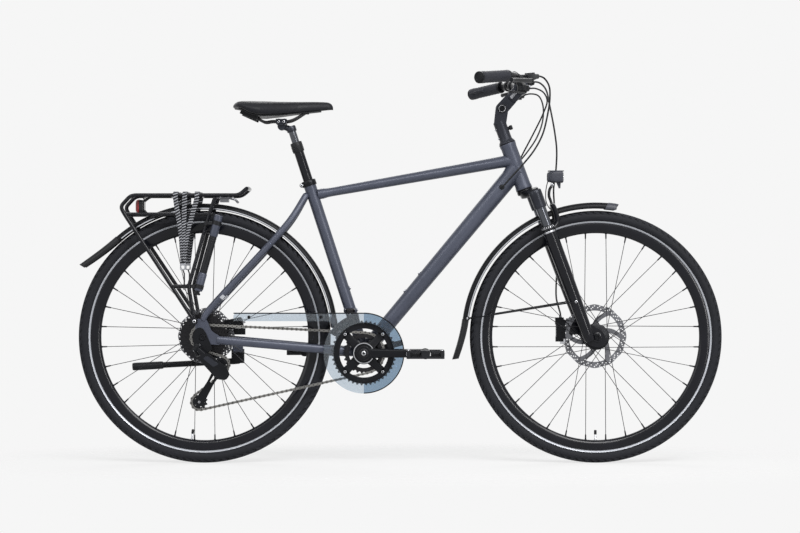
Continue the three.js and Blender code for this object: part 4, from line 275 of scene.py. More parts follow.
# Smoke-tinted polycarbonate chain guard: blue-grey over white, almost navy over black.
SMOKED = Finish("smoked_polycarbonate", "guard_plastic", "7d95ab", "889fb4", Texture.CLEAR, grain=6.0,
    depth=0.006, roughness=0.06, spread=0.02, ior=1.45, transmission=0.95)
# The same sheet where it is a single thin layer: only a breath of blue over white.
PALE_SMOKE = Finish("thin_smoked_polycarbonate", "guard_plastic", "c3ced8", "ccd6df", Texture.CLEAR,
    grain=6.0, depth=0.006, roughness=0.06, spread=0.02, ior=1.45, transmission=0.95)


class Finishes:
    """Makes each material once and hands it out by its finish."""

    def __init__(self) -> None:
        """Starts with no material made."""
        self._made: dict[str, bpy.types.Material] = {}

    def get(self, finish: Finish) -> bpy.types.Material:
        """Gives the material of a finish, making it the first time."""
        if finish.name not in self._made:
            self._made[finish.name] = finish.build()
        return self._made[finish.name]


FINISHES = Finishes()


# Mesh tools

def smooth_path(points: Sequence[Sequence[float]], steps: int = 8) -> list[Vector]:
    """Runs a centripetal curve through points.

    Args:
        points: the points that it passes through.
        steps: the points made for each span.

    Returns:
        The points along the curve.
    """
    given = [Vector(p) for p in points]
    given = [given[0] * 2 - given[1]] + given + [given[-1] * 2 - given[-2]]
    made = []
    for k in range(1, len(given) - 2):
        p0, p1, p2, p3 = given[k - 1:k + 3]
        t1 = (p1 - p0).length ** 0.5
        t2 = t1 + (p2 - p1).length ** 0.5
        t3 = t2 + (p3 - p2).length ** 0.5
        for i in range(steps):
            t = t1 + (t2 - t1) * i / steps
            a1 = p0 * ((t1 - t) / t1) + p1 * (t / t1)
            a2 = p1 * ((t2 - t) / (t2 - t1)) + p2 * ((t - t1) / (t2 - t1))
            a3 = p2 * ((t3 - t) / (t3 - t2)) + p3 * ((t - t2) / (t3 - t2))
            b1 = a1 * ((t2 - t) / t2) + a2 * (t / t2)
            b2 = a2 * ((t3 - t) / (t3 - t1)) + a3 * ((t - t1) / (t3 - t1))
            made.append(b1 * ((t2 - t) / (t2 - t1)) + b2 * ((t - t1) / (t2 - t1)))
    made.append(given[-2].copy())
    return made


def evenly(path: Sequence[Vector], step: float) -> list[Vector]:
    """Gives points one step apart along a path, and its end.

    Args:
        path: the points of the path.
        step: the distance between the new ones.

    Returns:
        The new points.
    """
    made, left = [path[0].copy()], step
    for a, b in zip(path, path[1:]):
        run, done = (b - a).length, 0.0
        while run - done >= left:
            done += left
            made.append(a.lerp(b, done / run))
            left = step
        left -= run - done
    made.append(path[-1].copy())
    return made


def polar(radius: float, turn: float) -> Point:
    """Gives the point of a plane at a radius and an angle."""
    return (radius * cos(turn), radius * sin(turn))


def turns(first: int, last: int, step: int) -> list[float]:
    """Gives the angles in radians of a range of degrees, both ends included."""
    return [radians(d) for d in range(first, last + 1, step)]


def circle(centre: Point, radius: float, count: int = 16) -> list[Point]:
    """Gives points round a circle in a plane."""
    return [(centre[0] + u, centre[1] + v) for u, v in (polar(radius, tau * i / count) for i in range(count))]


def corner(before: Vector, here: Vector, after: Vector, reach: float, steps: int) -> list[Vector]:
    """Rounds one corner.

    Args:
        before: the point before it.
        here: the corner.
        after: the point after it.
        reach: how far the rounding reaches along its legs.
        steps: the points made, less one.

    Returns:
        The points of the rounding.
    """
    back = min(reach, (before - here).length * 0.45, (after - here).length * 0.45)
    first = here + (before - here).normalized() * back
    last = here + (after - here).normalized() * back
    shares = [k / steps for k in range(steps + 1)]
    return [first * (1 - t) ** 2 + here * (2 * t * (1 - t)) + last * t ** 2 for t in shares]


def rounded(outline: Sequence[Point], radius: float, steps: int = 4) -> list[Point]:
    """Rounds the corners of an outline.

    Args:
        outline: its corners in order.
        radius: how far each rounding reaches from its corner.
        steps: the points in each rounding, less one.

    Returns:
        The new outline.
    """
    made = []
    for i, here in enumerate(outline):
        ends = Vector(outline[i - 1]), Vector(here), Vector(outline[(i + 1) % len(outline)])
        made += [tuple(p) for p in corner(*ends, radius, steps)]
    return made


def box(half: float, tall: float, radius: float, steps: int) -> list[Point]:
    """Gives an upright rectangle round the origin, its corners rounded."""
    return rounded([(-half, -tall), (half, -tall), (half, tall), (-half, tall)], radius, steps)


def mirrored(points: Sequence[Point]) -> list[Point]:
    """Gives the points of the other half of a symmetrical outline, in reverse order."""
    return [(-u, v) for u, v in reversed(points)]


def xyz(x: float, y: float, z: float) -> Vector:
    """Makes a point or a step."""
    return Vector((x, y, z))


def aside(y: float) -> Vector:
    """Makes a step across the bicycle, to its left."""
    return Vector((0, y, 0))


def ray(turn: float) -> Vector:
    """Makes the direction at an angle in the bicycle's plane, from ahead upwards."""
    return Vector((cos(turn), 0, sin(turn)))


def hand(side: int) -> str:
    """Names a side, of which 1 is the left one."""
    return "left" if side > 0 else "right"


def side_on(y: float, middle: Vector = ORIGIN) -> Placer:
    """Gives a placer for a plate in the bicycle's plane, y aside of a point."""
    return lambda u, v, w: middle + xyz(u, y + w, v)


class Shape:
    """Collects faces in millimetres and turns them into one Blender object."""

    def __init__(self) -> None:
        """Starts empty, painting with the first finish."""
        self.points: list[Vector] = []
        self.faces: list[list[int]] = []
        self.paints: list[int] = []
        self.paint = 0

    def add(self, points: Sequence[Vector], faces: Sequence[Sequence[int]]) -> None:
        """Adds a skin in the present paint.

        Args:
            points: its points.
            faces: the numbers of each face's points.
        """
        base = len(self.points)
        self.points.extend(points)
        self.faces += [[base + i for i in face] for face in faces]
        self.paints += [self.paint] * len(faces)

    def sleeve(self, profile: Sequence[Point], centre: Sequence[float], axis: Sequence[float] = (0, 1, 0),
            sides: int = 48) -> None:
        """Turns a closed profile, so that the piece has a bore."""
        self.turned(profile, centre, axis, sides, True)

    def loft(self, rings: Sequence[Sequence[Vector]], closed: bool = False, capped: bool = True) -> None:
        """Joins rings of equal length into a skin.

        Args:
            rings: the closed loops in order.
            closed: joins the last ring to the first.
            capped: closes the two ends.
        """
        count, sides = len(rings), len(rings[0])
        faces = []
        for k in range(count if closed else count - 1):
            a, b = k * sides, ((k + 1) % count) * sides
            for i in range(sides):
                j = (i + 1) % sides
                faces.append([a + i, a + j, b + j, b + i])
        if capped and not closed:
            faces.append(list(range(sides))[::-1])
            faces.append([(count - 1) * sides + i for i in range(sides)])
        self.add([p for ring in rings for p in ring], faces)

    def tube(self, path: Sequence[Sequence[float]], radius: float | Sequence[float], sides: int = 20,
            flat: float = 1.0, up: Sequence[float] | None = None, closed: bool = False,
            capped: bool = True) -> None:
        """Sweeps a round or oval section along a path.

        Args:
            path: the points of its centre line.
            radius: one radius, or one for each point.
            sides: the points round it.
            flat: its height along up over its radius.
            up: the direction that flat acts along.
            closed: joins its end to its start.
            capped: closes the ends.
        """
        line = [Vector(p) for p in path]
        radii = [radius] * len(line) if isinstance(radius, (int, float)) else list(radius)
        count = len(line)
        rings = []
        normal = None
        for k, here in enumerate(line):
            ahead = line[(k + 1) % count] if closed or k < count - 1 else here
            behind = line[k - 1] if closed or k else here
            along = (ahead - behind).normalized()
            if up is not None:
                normal = Vector(up) - along * Vector(up).dot(along)
            elif normal is None:
                normal = along.orthogonal()
            else:
                normal = normal - along * normal.dot(along)
            normal = normal.normalized()
            across = along.cross(normal)
            rings.append([here + (normal * sin(a) * flat + across * cos(a)) * radii[k] for a in (tau * i
                / sides for i in range(sides))])
        self.loft(rings, closed, capped)

    def turned(self, profile: Sequence[Point], centre: Sequence[float], axis: Sequence[float] = (0, 1, 0),
            sides: int = 48, closed: bool = False) -> None:
        """Turns a profile round an axis.

        Args:
            profile: pairs of radius and distance along the axis.
            centre: the point that the distances are measured from.
            axis: the axis.
            sides: the points round it.
            closed: the profile is a closed ring, so that the piece has a bore.
        """
        middle, along = Vector(centre), Vector(axis).normalized()
        first = along.orthogonal().normalized()
        if abs(along.y) > 0.999:
            first = xyz(1, 0, 0)
        second = along.cross(first)
        self.loft([[middle + along * d + (first * cos(a) + second * sin(a)) * r for a in (tau * i / sides
            for i in range(sides))] for r, d in profile], closed)

    def plate(self, outline: Sequence[Point], thickness: float, place: Placer,
            holes: Sequence[Sequence[Point]] = ()) -> None:
        """Cuts a flat plate with holes.

        Args:
            outline: its edge.
            thickness: its thickness, half to each side.
            place: turns two plane measures and a height into a point.
            holes: the edges of its holes.
        """
        loops = [list(outline)] + [list(hole) for hole in holes]
        flat = [p for loop in loops for p in loop]
        triangles = tessellate_polygon([[Vector((u, v, 0)) for u, v in loop] for loop in loops])
        count, base = len(flat), 0
        faces = [list(t) for t in triangles] + [[i + count for i in reversed(t)] for t in triangles]
        for loop in loops:
            for i in range(len(loop)):
                j = (i + 1) % len(loop)
                faces.append([base + i, base + j, base + j + count, base + i + count])
            base += len(loop)
        self.add([place(u, v, w) for w in (-thickness / 2, thickness / 2) for u, v in flat], faces)

    def block(self, centre: Sequence[float], size: Sequence[float],
            axes: Sequence[Sequence[float]] | None = None, taper: float = 1.0) -> None:
        """Adds a block whose edges the piece's bevel rounds.

        Args:
            centre: its middle.
            size: its size along each axis.
            axes: its three directions, by default X, Y and Z.
            taper: how much narrower its far end on the third axis is.
        """
        middle = Vector(centre)
        a, b, c = (Vector(x).normalized() for x in (axes or ((1, 0, 0), (0, 1, 0), (0, 0, 1))))
        ends = []
        for w, share in ((-0.5, 1.0), (0.5, taper)):
            ends.append([middle + a * (u * size[0] * share) + b * (v * size[1] * share) + c * (w * size[2])
                for u, v in ((-0.5, -0.5), (0.5, -0.5), (0.5, 0.5), (-0.5, 0.5))])
        self.loft(ends)

    def ball(self, centre: Sequence[float], radius: float, sides: int = 20, flat: float = 1.0,
            axis: Sequence[float] = (0, 0, 1)) -> None:
        """Adds a rounded knob.

        Args:
            centre: its middle.
            radius: its radius.
            sides: the points round it.
            flat: its height along the axis over its width.
            axis: the axis.
        """
        steps = max(6, sides // 2)
        profile = [(max(0.02, sin(pi * i / steps)) * radius, -cos(pi * i / steps) * radius * flat)
            for i in range(steps + 1)]
        self.turned(profile, centre, axis, sides)

    def bolt(self, foot: Sequence[float], axis: Sequence[float], radius: float = 4.0,
            height: float = 3.0) -> None:
        """Adds a button-head bolt with its hexagon socket.

        Args:
            foot: the middle of the face that it stands on.
            axis: the way that its head points.
            radius: its head's radius.
            height: its head's height.
        """
        r, h = radius, height
        self.turned([(r, -0.4), (r, h * 0.45), (r * 0.9, h * 0.8), (r * 0.62, h)], foot, axis, 24)
        self.turned([(r * 0.62, h), (r * 0.55, h), (r * 0.5, h * 0.35), (0.02, h * 0.35)], foot, axis, 6)

    def build(self, name: str, body: str, finishes: Sequence[Finish], stands_for: Sequence[str] = (),
            bevel: float = 0.0, sharp: float = 38.0) -> bpy.types.Object:
        """Makes the object, dresses it and puts it on its body.

        Args:
            name: the piece's name.
            body: the body that it moves with, or "" to join it to none yet.
            finishes: its finishes, in the order of the paint numbers.
            stands_for: the nodes that it replaces.
            bevel: the rounding of its edges in millimetres.
            sharp: the angle in degrees over which an edge stays sharp.

        Returns:
            The new object.
        """
        mesh = bpy.data.meshes.new(name)
        mesh.from_pydata([p * MM for p in self.points], [], self.faces)
        for finish in finishes:
            mesh.materials.append(FINISHES.get(finish))
        mesh.polygons.foreach_set("material_index", self.paints)
        work = bmesh.new()
        work.from_mesh(mesh)
        bmesh.ops.recalc_face_normals(work, faces=work.faces)
        work.to_mesh(mesh)
        work.free()
        mesh.polygons.foreach_set("use_smooth", [True] * len(mesh.polygons))
        mesh.set_sharp_from_angle(angle=radians(sharp))
        piece = bpy.data.objects.new(name, mesh)
        bpy.context.collection.objects.link(piece)
        if bevel:
            rounding = piece.modifiers.new("edges", "BEVEL")
            rounding.width = bevel * MM
            rounding.segments = 2
            rounding.limit_method = "ANGLE"
            rounding.angle_limit = radians(40)
        if stands_for:
            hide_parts(*stands_for)
        if body:
            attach(piece, body)
        log.info("piece %s on %s", name, body or "two bodies")
        return piece


@dataclass(frozen=True)
class Layout:
    """The bicycle's main points and directions, in millimetres."""

    axle_reach: float = 547.8
    axle_height: float = 353.0
    head_angle: float = 69.6
    seat_angle: float = 71.94
    bracket_x: float = -100.961
    bracket_z: float = 309.0
    race_back: float = 43.5
    race_up: float = 456.3
    shifter_x: float = -140.1

    @property
    def rear_axle(self) -> Vector:
        """The middle of the rear wheel."""
        return xyz(-self.axle_reach, 0, self.axle_height)

    @property
    def front_axle(self) -> Vector:
        """The middle of the front wheel."""
        return xyz(self.axle_reach, 0, self.axle_height)

    @property
    def bracket(self) -> Vector:
        """The middle of the bottom bracket."""
        return xyz(self.bracket_x, 0, self.bracket_z)

    @property
    def steering_up(self) -> Vector:
        """The steering axis, upwards."""
        turn = radians(self.head_angle)
        return xyz(-cos(turn), 0, sin(turn))

    @property
    def steering_forward(self) -> Vector:
        """Square to the steering axis, forwards."""
        return xyz(self.steering_up.z, 0, -self.steering_up.x)

    @property
    def seat_up(self) -> Vector:
        """Up the seat tube."""
        turn = radians(self.seat_angle)
        return xyz(-cos(turn), 0, sin(turn))

    @property
    def seat_forward(self) -> Vector:
        """Square to the seat tube, forwards."""
        return xyz(self.seat_up.z, 0, -self.seat_up.x)

    def steering(self, forward: float, side: float, up: float) -> Vector:
        """A point measured from the crown race along the steering axis."""
        race = self.front_axle - self.steering_forward * self.race_back + self.steering_up * self.race_up
        return race + self.steering_forward * forward + self.steering_up * up + aside(side)

    def seat(self, forward: float, side: float, up: float) -> Vector:
        """A point measured from the bottom bracket along the seat tube."""
        return self.bracket + self.seat_forward * forward + self.seat_up * up + aside(side)


LAYOUT = Layout()


# Wheels

FRONT_HUB: list[Point] = [(9, -49.7), (9, -37), (30, -33), (36, -31), (36, -25), (30, -23), (15.5, -17),
    (15.5, 17), (30, 23), (36, 25), (36, 31), (21, 33), (21, 41.3), (9, 41.3), (9, 49.7), (5.2, 49.7),
    (5.2, -49.7)]
REAR_HUB: list[Point] = [(9, -67.2), (9, -64.65), (17.2, -64.65), (17.2, -24), (26, -23), (29, -22.4),
    (29, -17.4), (26, -16), (18, -12), (18, 24), (26, 28), (29, 28.6), (29, 33.4), (21, 35), (21, 53.8),
    (9, 53.8), (9, 67.2), (5.2, 67.2), (5.2, -67.2)]


@dataclass
class Wheel:
    """One wheel: tyre, rim, spokes, hub and brake disc, in millimetres."""

    place: str
    axle: Vector
    hub_profile: Sequence[Point]
    flanges: tuple[float, float]
    flange_radius: float
    disc_radius: float
    disc_side: float
    valve_turn: float
    tyre_radius: float = 353.0
    tyre_middle: float = 335.65
    tyre_half_width: float = 21.0
    rim_inside: float = 290.0
    spoke_count: int = 32
    tread_count: int = 108
    rim_count: int = 144
    hole_side: float = 2.6

    @property
    def body(self) -> str:
        """The body that the whole wheel turns with."""
        return f"{self.place}_wheel"

    def build(self) -> None:
        """Builds every piece of the wheel."""
        self._tyre()
        self._line()
        self._rim()
        self._valve()
        self._spokes()
        self._hub()
        self._disc()

    def _ring(self, shape: Shape, count: int, section: Callable[[int], Sequence[Point]]) -> None:
        """Sweeps a section that may change round the wheel.

        Args:
            shape: the shape that gets the skin.
            count: the sections round the wheel.
            section: gives pairs of side and radius for a section's number.
        """
        rings = []
        for i in range(count):
            turn = tau * i / count
            rings.append([self.axle + xyz(r * cos(turn), y, r * sin(turn)) for y, r in section(i)])
        shape.loft(rings, closed=True)

    def _tyre(self) -> None:
        """The carcass, with moulded tread blocks across its crown and painted shade in its grooves."""
        high = self.tyre_radius - self.tyre_middle
        crown = [-62, -55, -46, -38, -30, -21, -19, -10, -8, 8, 10, 19, 21, 30, 38, 46, 55, 62]
        grooves = {5, 6, 11, 12}
        bead = [(10.6, 313.0), (8.0, 312.5), (8.0, 320.0), (17.5, 331.0), (17.5, 340.0), (9.0, 349.0)]

        def section(i: int) -> list[Point]:
            """Gives the section at one place round the tyre: flank, crown, flank and beads."""
            flank = [(self.tyre_half_width * cos(radians(a)), self.tyre_middle + high * sin(radians(a)))
                for a in range(24, -60, -12)]
            loop = mirrored(flank)
            for j, a in enumerate(crown):
                gap = (i + int(abs(j - 8.5) * 0.5)) % 4 == 0 and abs(a) > 9
                depth = 2.3 if gap or j in grooves else 0.0
                loop.append((sin(radians(a)) * (self.tyre_half_width - depth), self.tyre_middle
                    + cos(radians(a)) * (high - depth)))
            return loop + flank + bead + mirrored(bead)
        shape = Shape()
        self._ring(shape, self.tread_count * 4, section)
        sides = len(section(0))
        # Painted shade: groove and gap faces get the near-black groove colour, the other crown faces the
        # lighter tread colour.
        for index in range(len(shape.faces)):
            i, j = index // sides, index % sides - 7
            if 0 <= j < len(crown) - 1:
                gap = (i + int(abs(j - 8) * 0.5)) % 4 == 0 and abs(crown[j]) > 9
                shape.paints[index] = 1 if gap or (j in grooves and j + 1 in grooves) else 2
        shape.build(f"{self.place}_tyre_with_tread", self.body, [TYRE_RUBBER, PAINTED_GROOVE_SHADE, TREAD_RUBBER],
            [f"{self.place}_tyre"], sharp=50)

    def _line(self) -> None:
        """The thin reflective line on each sidewall."""
        shape = Shape()
        profile = ((12.2, 319.2), (14.1, 321.0), (15.6, 323.4), (16.1, 323.4), (14.7, 320.8), (12.7, 318.8))
        for side in (-1, 1):
            self._ring(shape, self.rim_count, lambda i: [(side * y, r) for y, r in profile])
        shape.build(f"{self.place}_reflective_line", self.body, [REFLECTIVE])

    def _rim(self) -> None:
        """The deep rim with its hooks and the seats of the spoke nipples."""
        shape = Shape()
        hook = [(12.0, 317.2), (11.6, 318.0), (10.9, 318.0), (10.4, 314.0), (9.0, 312.0), (7.2, 306.0)]
        wall = [(5.2, 290.2), (7.6, 292.2), (10.6, 299.0), (12.0, 307.0)]
        profile = hook + mirrored(hook) + mirrored(wall) + [(0, 289.6)] + wall
        self._ring(shape, self.rim_count, lambda i: profile)
        for i in range(self.spoke_count):
            out = ray(tau * (i + 0.5) / self.spoke_count)
            foot = self.axle + out * self.rim_inside + aside(self.hole_side if i % 2 == 0
                else -self.hole_side)
            shape.turned([(3.4, 0.6), (3.2, -1.0), (2.4, -1.6)], foot, out, 12)
        shape.build(f"{self.place}_deep_rim", self.body, [GLOSS_BLACK], [f"{self.place}_rim"])

    def _valve(self) -> None:
        """The valve with its nut and dust cap."""
        shape, turn = Shape(), radians(self.valve_turn)
        inward = xyz(-cos(turn), 0, -sin(turn))
        foot = self.axle - inward * (self.rim_inside + 1)
        shape.paint = 1
        shape.turned([(4.6, 0), (4.6, 2.0), (3.0, 2.4)], foot, inward, 20)
        shape.turned([(2.9, 1), (2.9, 17), (2.6, 17.5)], foot, inward, 16)
        shape.paint = 0
        shape.turned([(3.3, 17), (3.8, 18), (3.8, 27), (3.1, 29), (1.5, 29.6)], foot, inward, 16)
        shape.build(f"{self.place}_valve", self.body, [NYLON, STAINLESS], sharp=50)

    def _spokes(self) -> None:
        """Thin steel spokes, crossed, each with its nipple."""
        shape, grip = Shape(), self.flange_radius - 4.4
        for i in range(self.spoke_count):
            turn = tau * (i + 0.5) / self.spoke_count
            leading = 1 if (i // 2) % 2 == 0 else -1
            flange, lift = (self.flanges[0], self.hole_side) if i % 2 == 0 else (self.flanges[1],
                -self.hole_side)
            lean = turn + leading * radians(62)
            head = xyz(grip * cos(lean), flange + 1.6 * leading, grip * sin(lean))
            tip = xyz(self.rim_inside * cos(turn), lift, self.rim_inside * sin(turn))
            along = (tip - head).normalized()
            head, tip = self.axle + head, self.axle + tip
            shape.paint = 0
            shape.tube([head - aside(3.4 * leading), head, head + along * 4, tip - along * 12], 0.95, 7)
            shape.ball(head - aside(3.6 * leading), 1.9, 8, 0.6, (0, 1, 0))
            shape.paint = 1
            shape.tube([tip - along * 15, tip - along * 12.5, tip - along * 1.0], [1.5, 2.0, 2.2], 8)
        shape.build(f"{self.place}_spokes", self.body, [DARK_STEEL, ANODISED])

    def _hub(self) -> None:
        """The hub shell with its drilled flanges, seals and disc seat."""
        shape = Shape()
        shape.sleeve(self.hub_profile, self.axle, (0, 1, 0), 56)
        shape.paint = 1
        low, high = self.hub_profile[0][1], max(d for _, d in self.hub_profile)
        for d in (low + 0.4, high - 3.4):
            shape.sleeve([(8.9, d), (9.5, d + 0.6), (9.5, d + 2.4), (8.9, d + 3.0), (5.2, d + 3.0), (5.2, d)],
                self.axle, (0, 1, 0), 32)
        shape.paint = 0
        for d in (-9.0, 9.0):
            radius = min(r for r, _ in self.hub_profile if r > 12) + 0.4
            shape.sleeve([(radius, d - 3), (radius + 0.9, d - 2), (radius + 0.9, d + 2), (radius, d + 3),
                (radius - 3, d + 3), (radius - 3, d - 3)], self.axle, (0, 1, 0))
        shape.build(f"{self.place}_hub_shell", self.body, [ANODISED, STAINLESS], [f"{self.place}_hub"],
            bevel=0.4)

    def _disc(self) -> None:
        """The brake disc: a wavy drilled track on curved arms, and its lock ring."""
        r, waves, arms = self.disc_radius, 12, 6
        outline = [polar(r + (1.1 * cos(t * waves) - 1.1), t) for t in (tau * i / 240 for i in range(240))]
        holes = [circle((0, 0), 21.4, 48)]
        for i in range(waves * 3):
            for step, away in ((0.0, 4.4), (0.34, 8.6), (0.67, 12.0)):
                if i % 3 < 2 or away < 11:
                    turn = tau * i / (waves * 3) + step * tau / (waves * 3)
                    holes.append(circle(polar(r - away, turn), 1.9, 8))
        inner, outer = 32.0, r - 17.5
        for k in range(arms):
            edge = [(outer, k + 0.10 + 0.80 * t / 8) for t in range(9)]
            edge += [(outer + (inner - outer) * (t / 6), k + 0.90 + 0.42 * (t / 6)) for t in range(1, 6)]
            edge += [(inner, k + 1.32 - 0.62 * t / 6) for t in range(7)]
            edge += [(outer + (inner - outer) * (1 - t / 6), k + 0.10 + 0.60 * (1 - t / 6)) for t in range(1,
                6)]
            holes.append([polar(q, tau * (a / arms)) for q, a in edge])
        shape = Shape()
        shape.plate(outline, 1.8, side_on(self.disc_side, self.axle), holes)
        shape.paint = 1
        out = 1 if self.disc_side > 0 else -1
        shape.sleeve([(20.8, -1.5), (23.6, -1.5), (24.2, -0.9), (24.2, 2.4), (23.6, 3.0), (20.8, 3.0)],
            self.axle + aside(self.disc_side + out * 1.2), (0, out, 0), 24)
        shape.build(f"{self.place}_brake_disc", self.body, [DISC_STEEL, ANODISED], [f"{self.place}_rotor"])


# Frame

@dataclass
class FrameSet:
    """The welded frame and what is fixed to it, in millimetres."""

    plate_side: float = 70.8
    plate_thickness: float = 6.0

    def build(self) -> None:
        """Builds the frame and its small fittings."""
        self._tubes()
        self._bracket_cups()
        self._seat_clamp()
        self._fittings()
        self._mount()
        self._axle()
        self._stand()

    def _tubes(self) -> None:
        """Main tubes, stays, dropouts and their bosses."""
        at, shape = LAYOUT, Shape()
        shape.sleeve([(22.6, 0), (23.2, 1.5), (23.2, 8), (22.2, 12), (22.2, 126), (23.2, 130), (23.2, 136.5),
            (22.6, 138), (17.2, 138), (17.2, 0)], at.steering(0, 0, 0), at.steering_up, 56)
        shape.sleeve([(16.5, 8), (16.5, 470), (17.3, 478), (17.3, 505), (13.9, 505), (13.9, 8)], at.bracket,
            at.seat_up)
        self._flared(shape, at.seat(14.2, 0, 461), at.steering(0, 0, 88), 12.7, 17.6, 0.94)
        self._flared(shape, at.bracket, at.steering(0, 0, 61), 20.2, 23.6, 1.04)
        shape.sleeve([(20.5, -34), (21.0, -33), (21.0, 33), (20.5, 34), (17.6, 34), (17.6, -34)], at.bracket,
            (0, 1, 0), 56)
        rear = at.rear_axle
        for side in (-1, 1):
            top = at.seat(-20, side * 9, 467)
            knee = at.seat(0, 0, 462).lerp(rear + xyz(0, 0, 50), 0.22)
            shape.tube(smooth_path([top, xyz(knee.x, side * 38, knee.z), rear + xyz(10, side * 66, 66), rear
                + xyz(0, side * self.plate_side, 46)], 10), [9.5] * 22 + [9.3, 9.1, 8.9, 8.6, 8.3, 8.0, 7.6,
                7.1, 6.4])
            shape.ball(top, 9.5, 24)
            end = xyz(-507.8, 0, 345.5)
            spine = [at.bracket.lerp(end, share) for share in (0.03, 0.16, 0.29)]
            line = [xyz(p.x, side * y, p.z) for p, y in zip(spine, (22, 31, 40))]
            line.append(end + aside(side * self.plate_side))
            path = smooth_path(line, 10)
            shape.tube(path, [8.0 - 0.9 * k / (len(path) - 1) for k in range(len(path))], 24, 1.6, (0, 0, 1))
            self._dropout(shape, side)
        stay = at.seat(0, 0, 462) - (rear + xyz(0, 0, 50))
        middle = rear + xyz(0, 0, 50) + stay.normalized() * 330
        shape.tube([middle + xyz(0, y, 4 if abs(y) < 20 else 0) for y in (-40, -14, 14, 40)], 4.8, 16)
        shape.block((-459.8, 66, 318), (30, 12, 22))
        for x in (-13, 13):
            shape.tube([(at.shifter_x + x, -25, 429), (at.shifter_x + x, -22, 424)], 5.0, 16)
        shape.block((at.shifter_x, -20.5, 427), (34, 7, 14))
        shape.build("welded_frame", "frame", [FRAME_PAINT], ["main_frame"], bevel=0.8, sharp=50)

    def _flared(self, shape: Shape, start: Vector, end: Vector, first: float, last: float,
            tall: float) -> None:
        """Adds a tapered tube with a welded fillet at each end.

        Args:
            shape: the shape that gets it.
            start: one end of its centre line.
            end: the other end.
            first: its radius at the start.
            last: its radius at the end.
            tall: its height over its width.
        """
        count = 40
        path, radii = [], []
        length = (end - start).length
        for k in range(count + 1):
            share = k / count
            near = min(share, 1 - share) * length
            path.append(start.lerp(end, share))
            radii.append(first + (last - first) * share + 2.6 * max(0.0, 1 - max(0.0, near - 19) / 16) ** 2)
        shape.tube(path, radii, 36, tall, (0, 0, 1))

    def _dropout(self, shape: Shape, side: int) -> None:
        """Adds one dropout plate, with a relieved middle.

        Args:
            shape: the shape that gets it.
            side: 1 for the left side, -1 for the right.
        """
        rear = LAYOUT.rear_axle
        outline = rounded([(-9.5, -19), (19, -19), (50, -21), (50, 2), (24, 18), (12, 50), (-20, 52),
            (-20, 0)], 9)
        shape.plate(outline, self.plate_thickness, lambda u, v, w: rear + xyz(u, side * (self.plate_side + w),
            v), [circle((0, 0), 5.0, 20)])
        relief = rounded([(-14, 10), (4, 14), (8, 40), (-14, 44)], 6)
        shape.plate(relief, 1.6, lambda u, v, w: rear + xyz(u, side * (self.plate_side + 3.4 + w), v))
        if side < 0:
            shape.turned([(8.5, -3), (8.5, 3), (7.8, 3.6)], rear + xyz(-14, -self.plate_side, -28),
                (0, -1, 0), 32)
            shape.block(rear + xyz(-12, -self.plate_side, -20), (14, 6, 14))

    def _bracket_cups(self) -> None:
        """The bottom bracket's notched cups."""
        shape = Shape()
        for side in (-1, 1):
            foot = LAYOUT.bracket + aside(side * 34.5)
            shape.sleeve([(20.6, 0), (22, 0.8), (22, 8.6), (20.8, 9.5), (12.6, 9.5), (12.6, 0)], foot,
                (0, side, 0), 32)
            for i in range(16):
                turn = tau * i / 16
                shape.block(foot + xyz(22 * cos(turn), side * 5.2, 22 * sin(turn)), (2.6, 6.4, 1.4),
                    ((-sin(turn), 0, cos(turn)), (0, 1, 0), (cos(turn), 0, sin(turn))))
        shape.build("bracket_cups", "frame", [ANODISED], ["bottom_bracket"], bevel=0.3)

    def _seat_clamp(self) -> None:
        """The collar round the seat tube, with its bolt."""
        at, shape = LAYOUT, Shape()
        shape.sleeve([(19.8, 490.5), (20.4, 491.5), (20.4, 505), (19.4, 506.4), (14.6, 506.4), (14.6, 503),
            (17.5, 503), (17.5, 490.5)], at.bracket, at.seat_up)
        for side in (-1, 1):
            middle = at.seat(-21.5, side * 5.4, 498.5)
            shape.turned([(5.4, -3.8), (5.8, -3), (5.8, 3), (5.4, 3.8)], middle, (0, 1, 0), 24)
            shape.block(middle + at.seat_forward * 3.4, (8, 7.2, 11), (at.seat_forward, (0, 1, 0),
                at.seat_up))
        shape.paint = 1
        shape.bolt(at.seat(-21.5, -9.2, 498.5), (0, -1, 0), 4.4, 3.4)
        shape.tube([at.seat(-21.5, -9, 498.5), at.seat(-21.5, 9.5, 498.5)], 2.4, 12)
        shape.turned([(3.6, 0), (3.6, 2.0), (2.6, 2.6)], at.seat(-21.5, 9.2, 498.5), (0, 1, 0), 6)
        shape.build("seat_tube_collar", "frame", [ANODISED, STAINLESS], ["seat_clamp"], bevel=0.4)

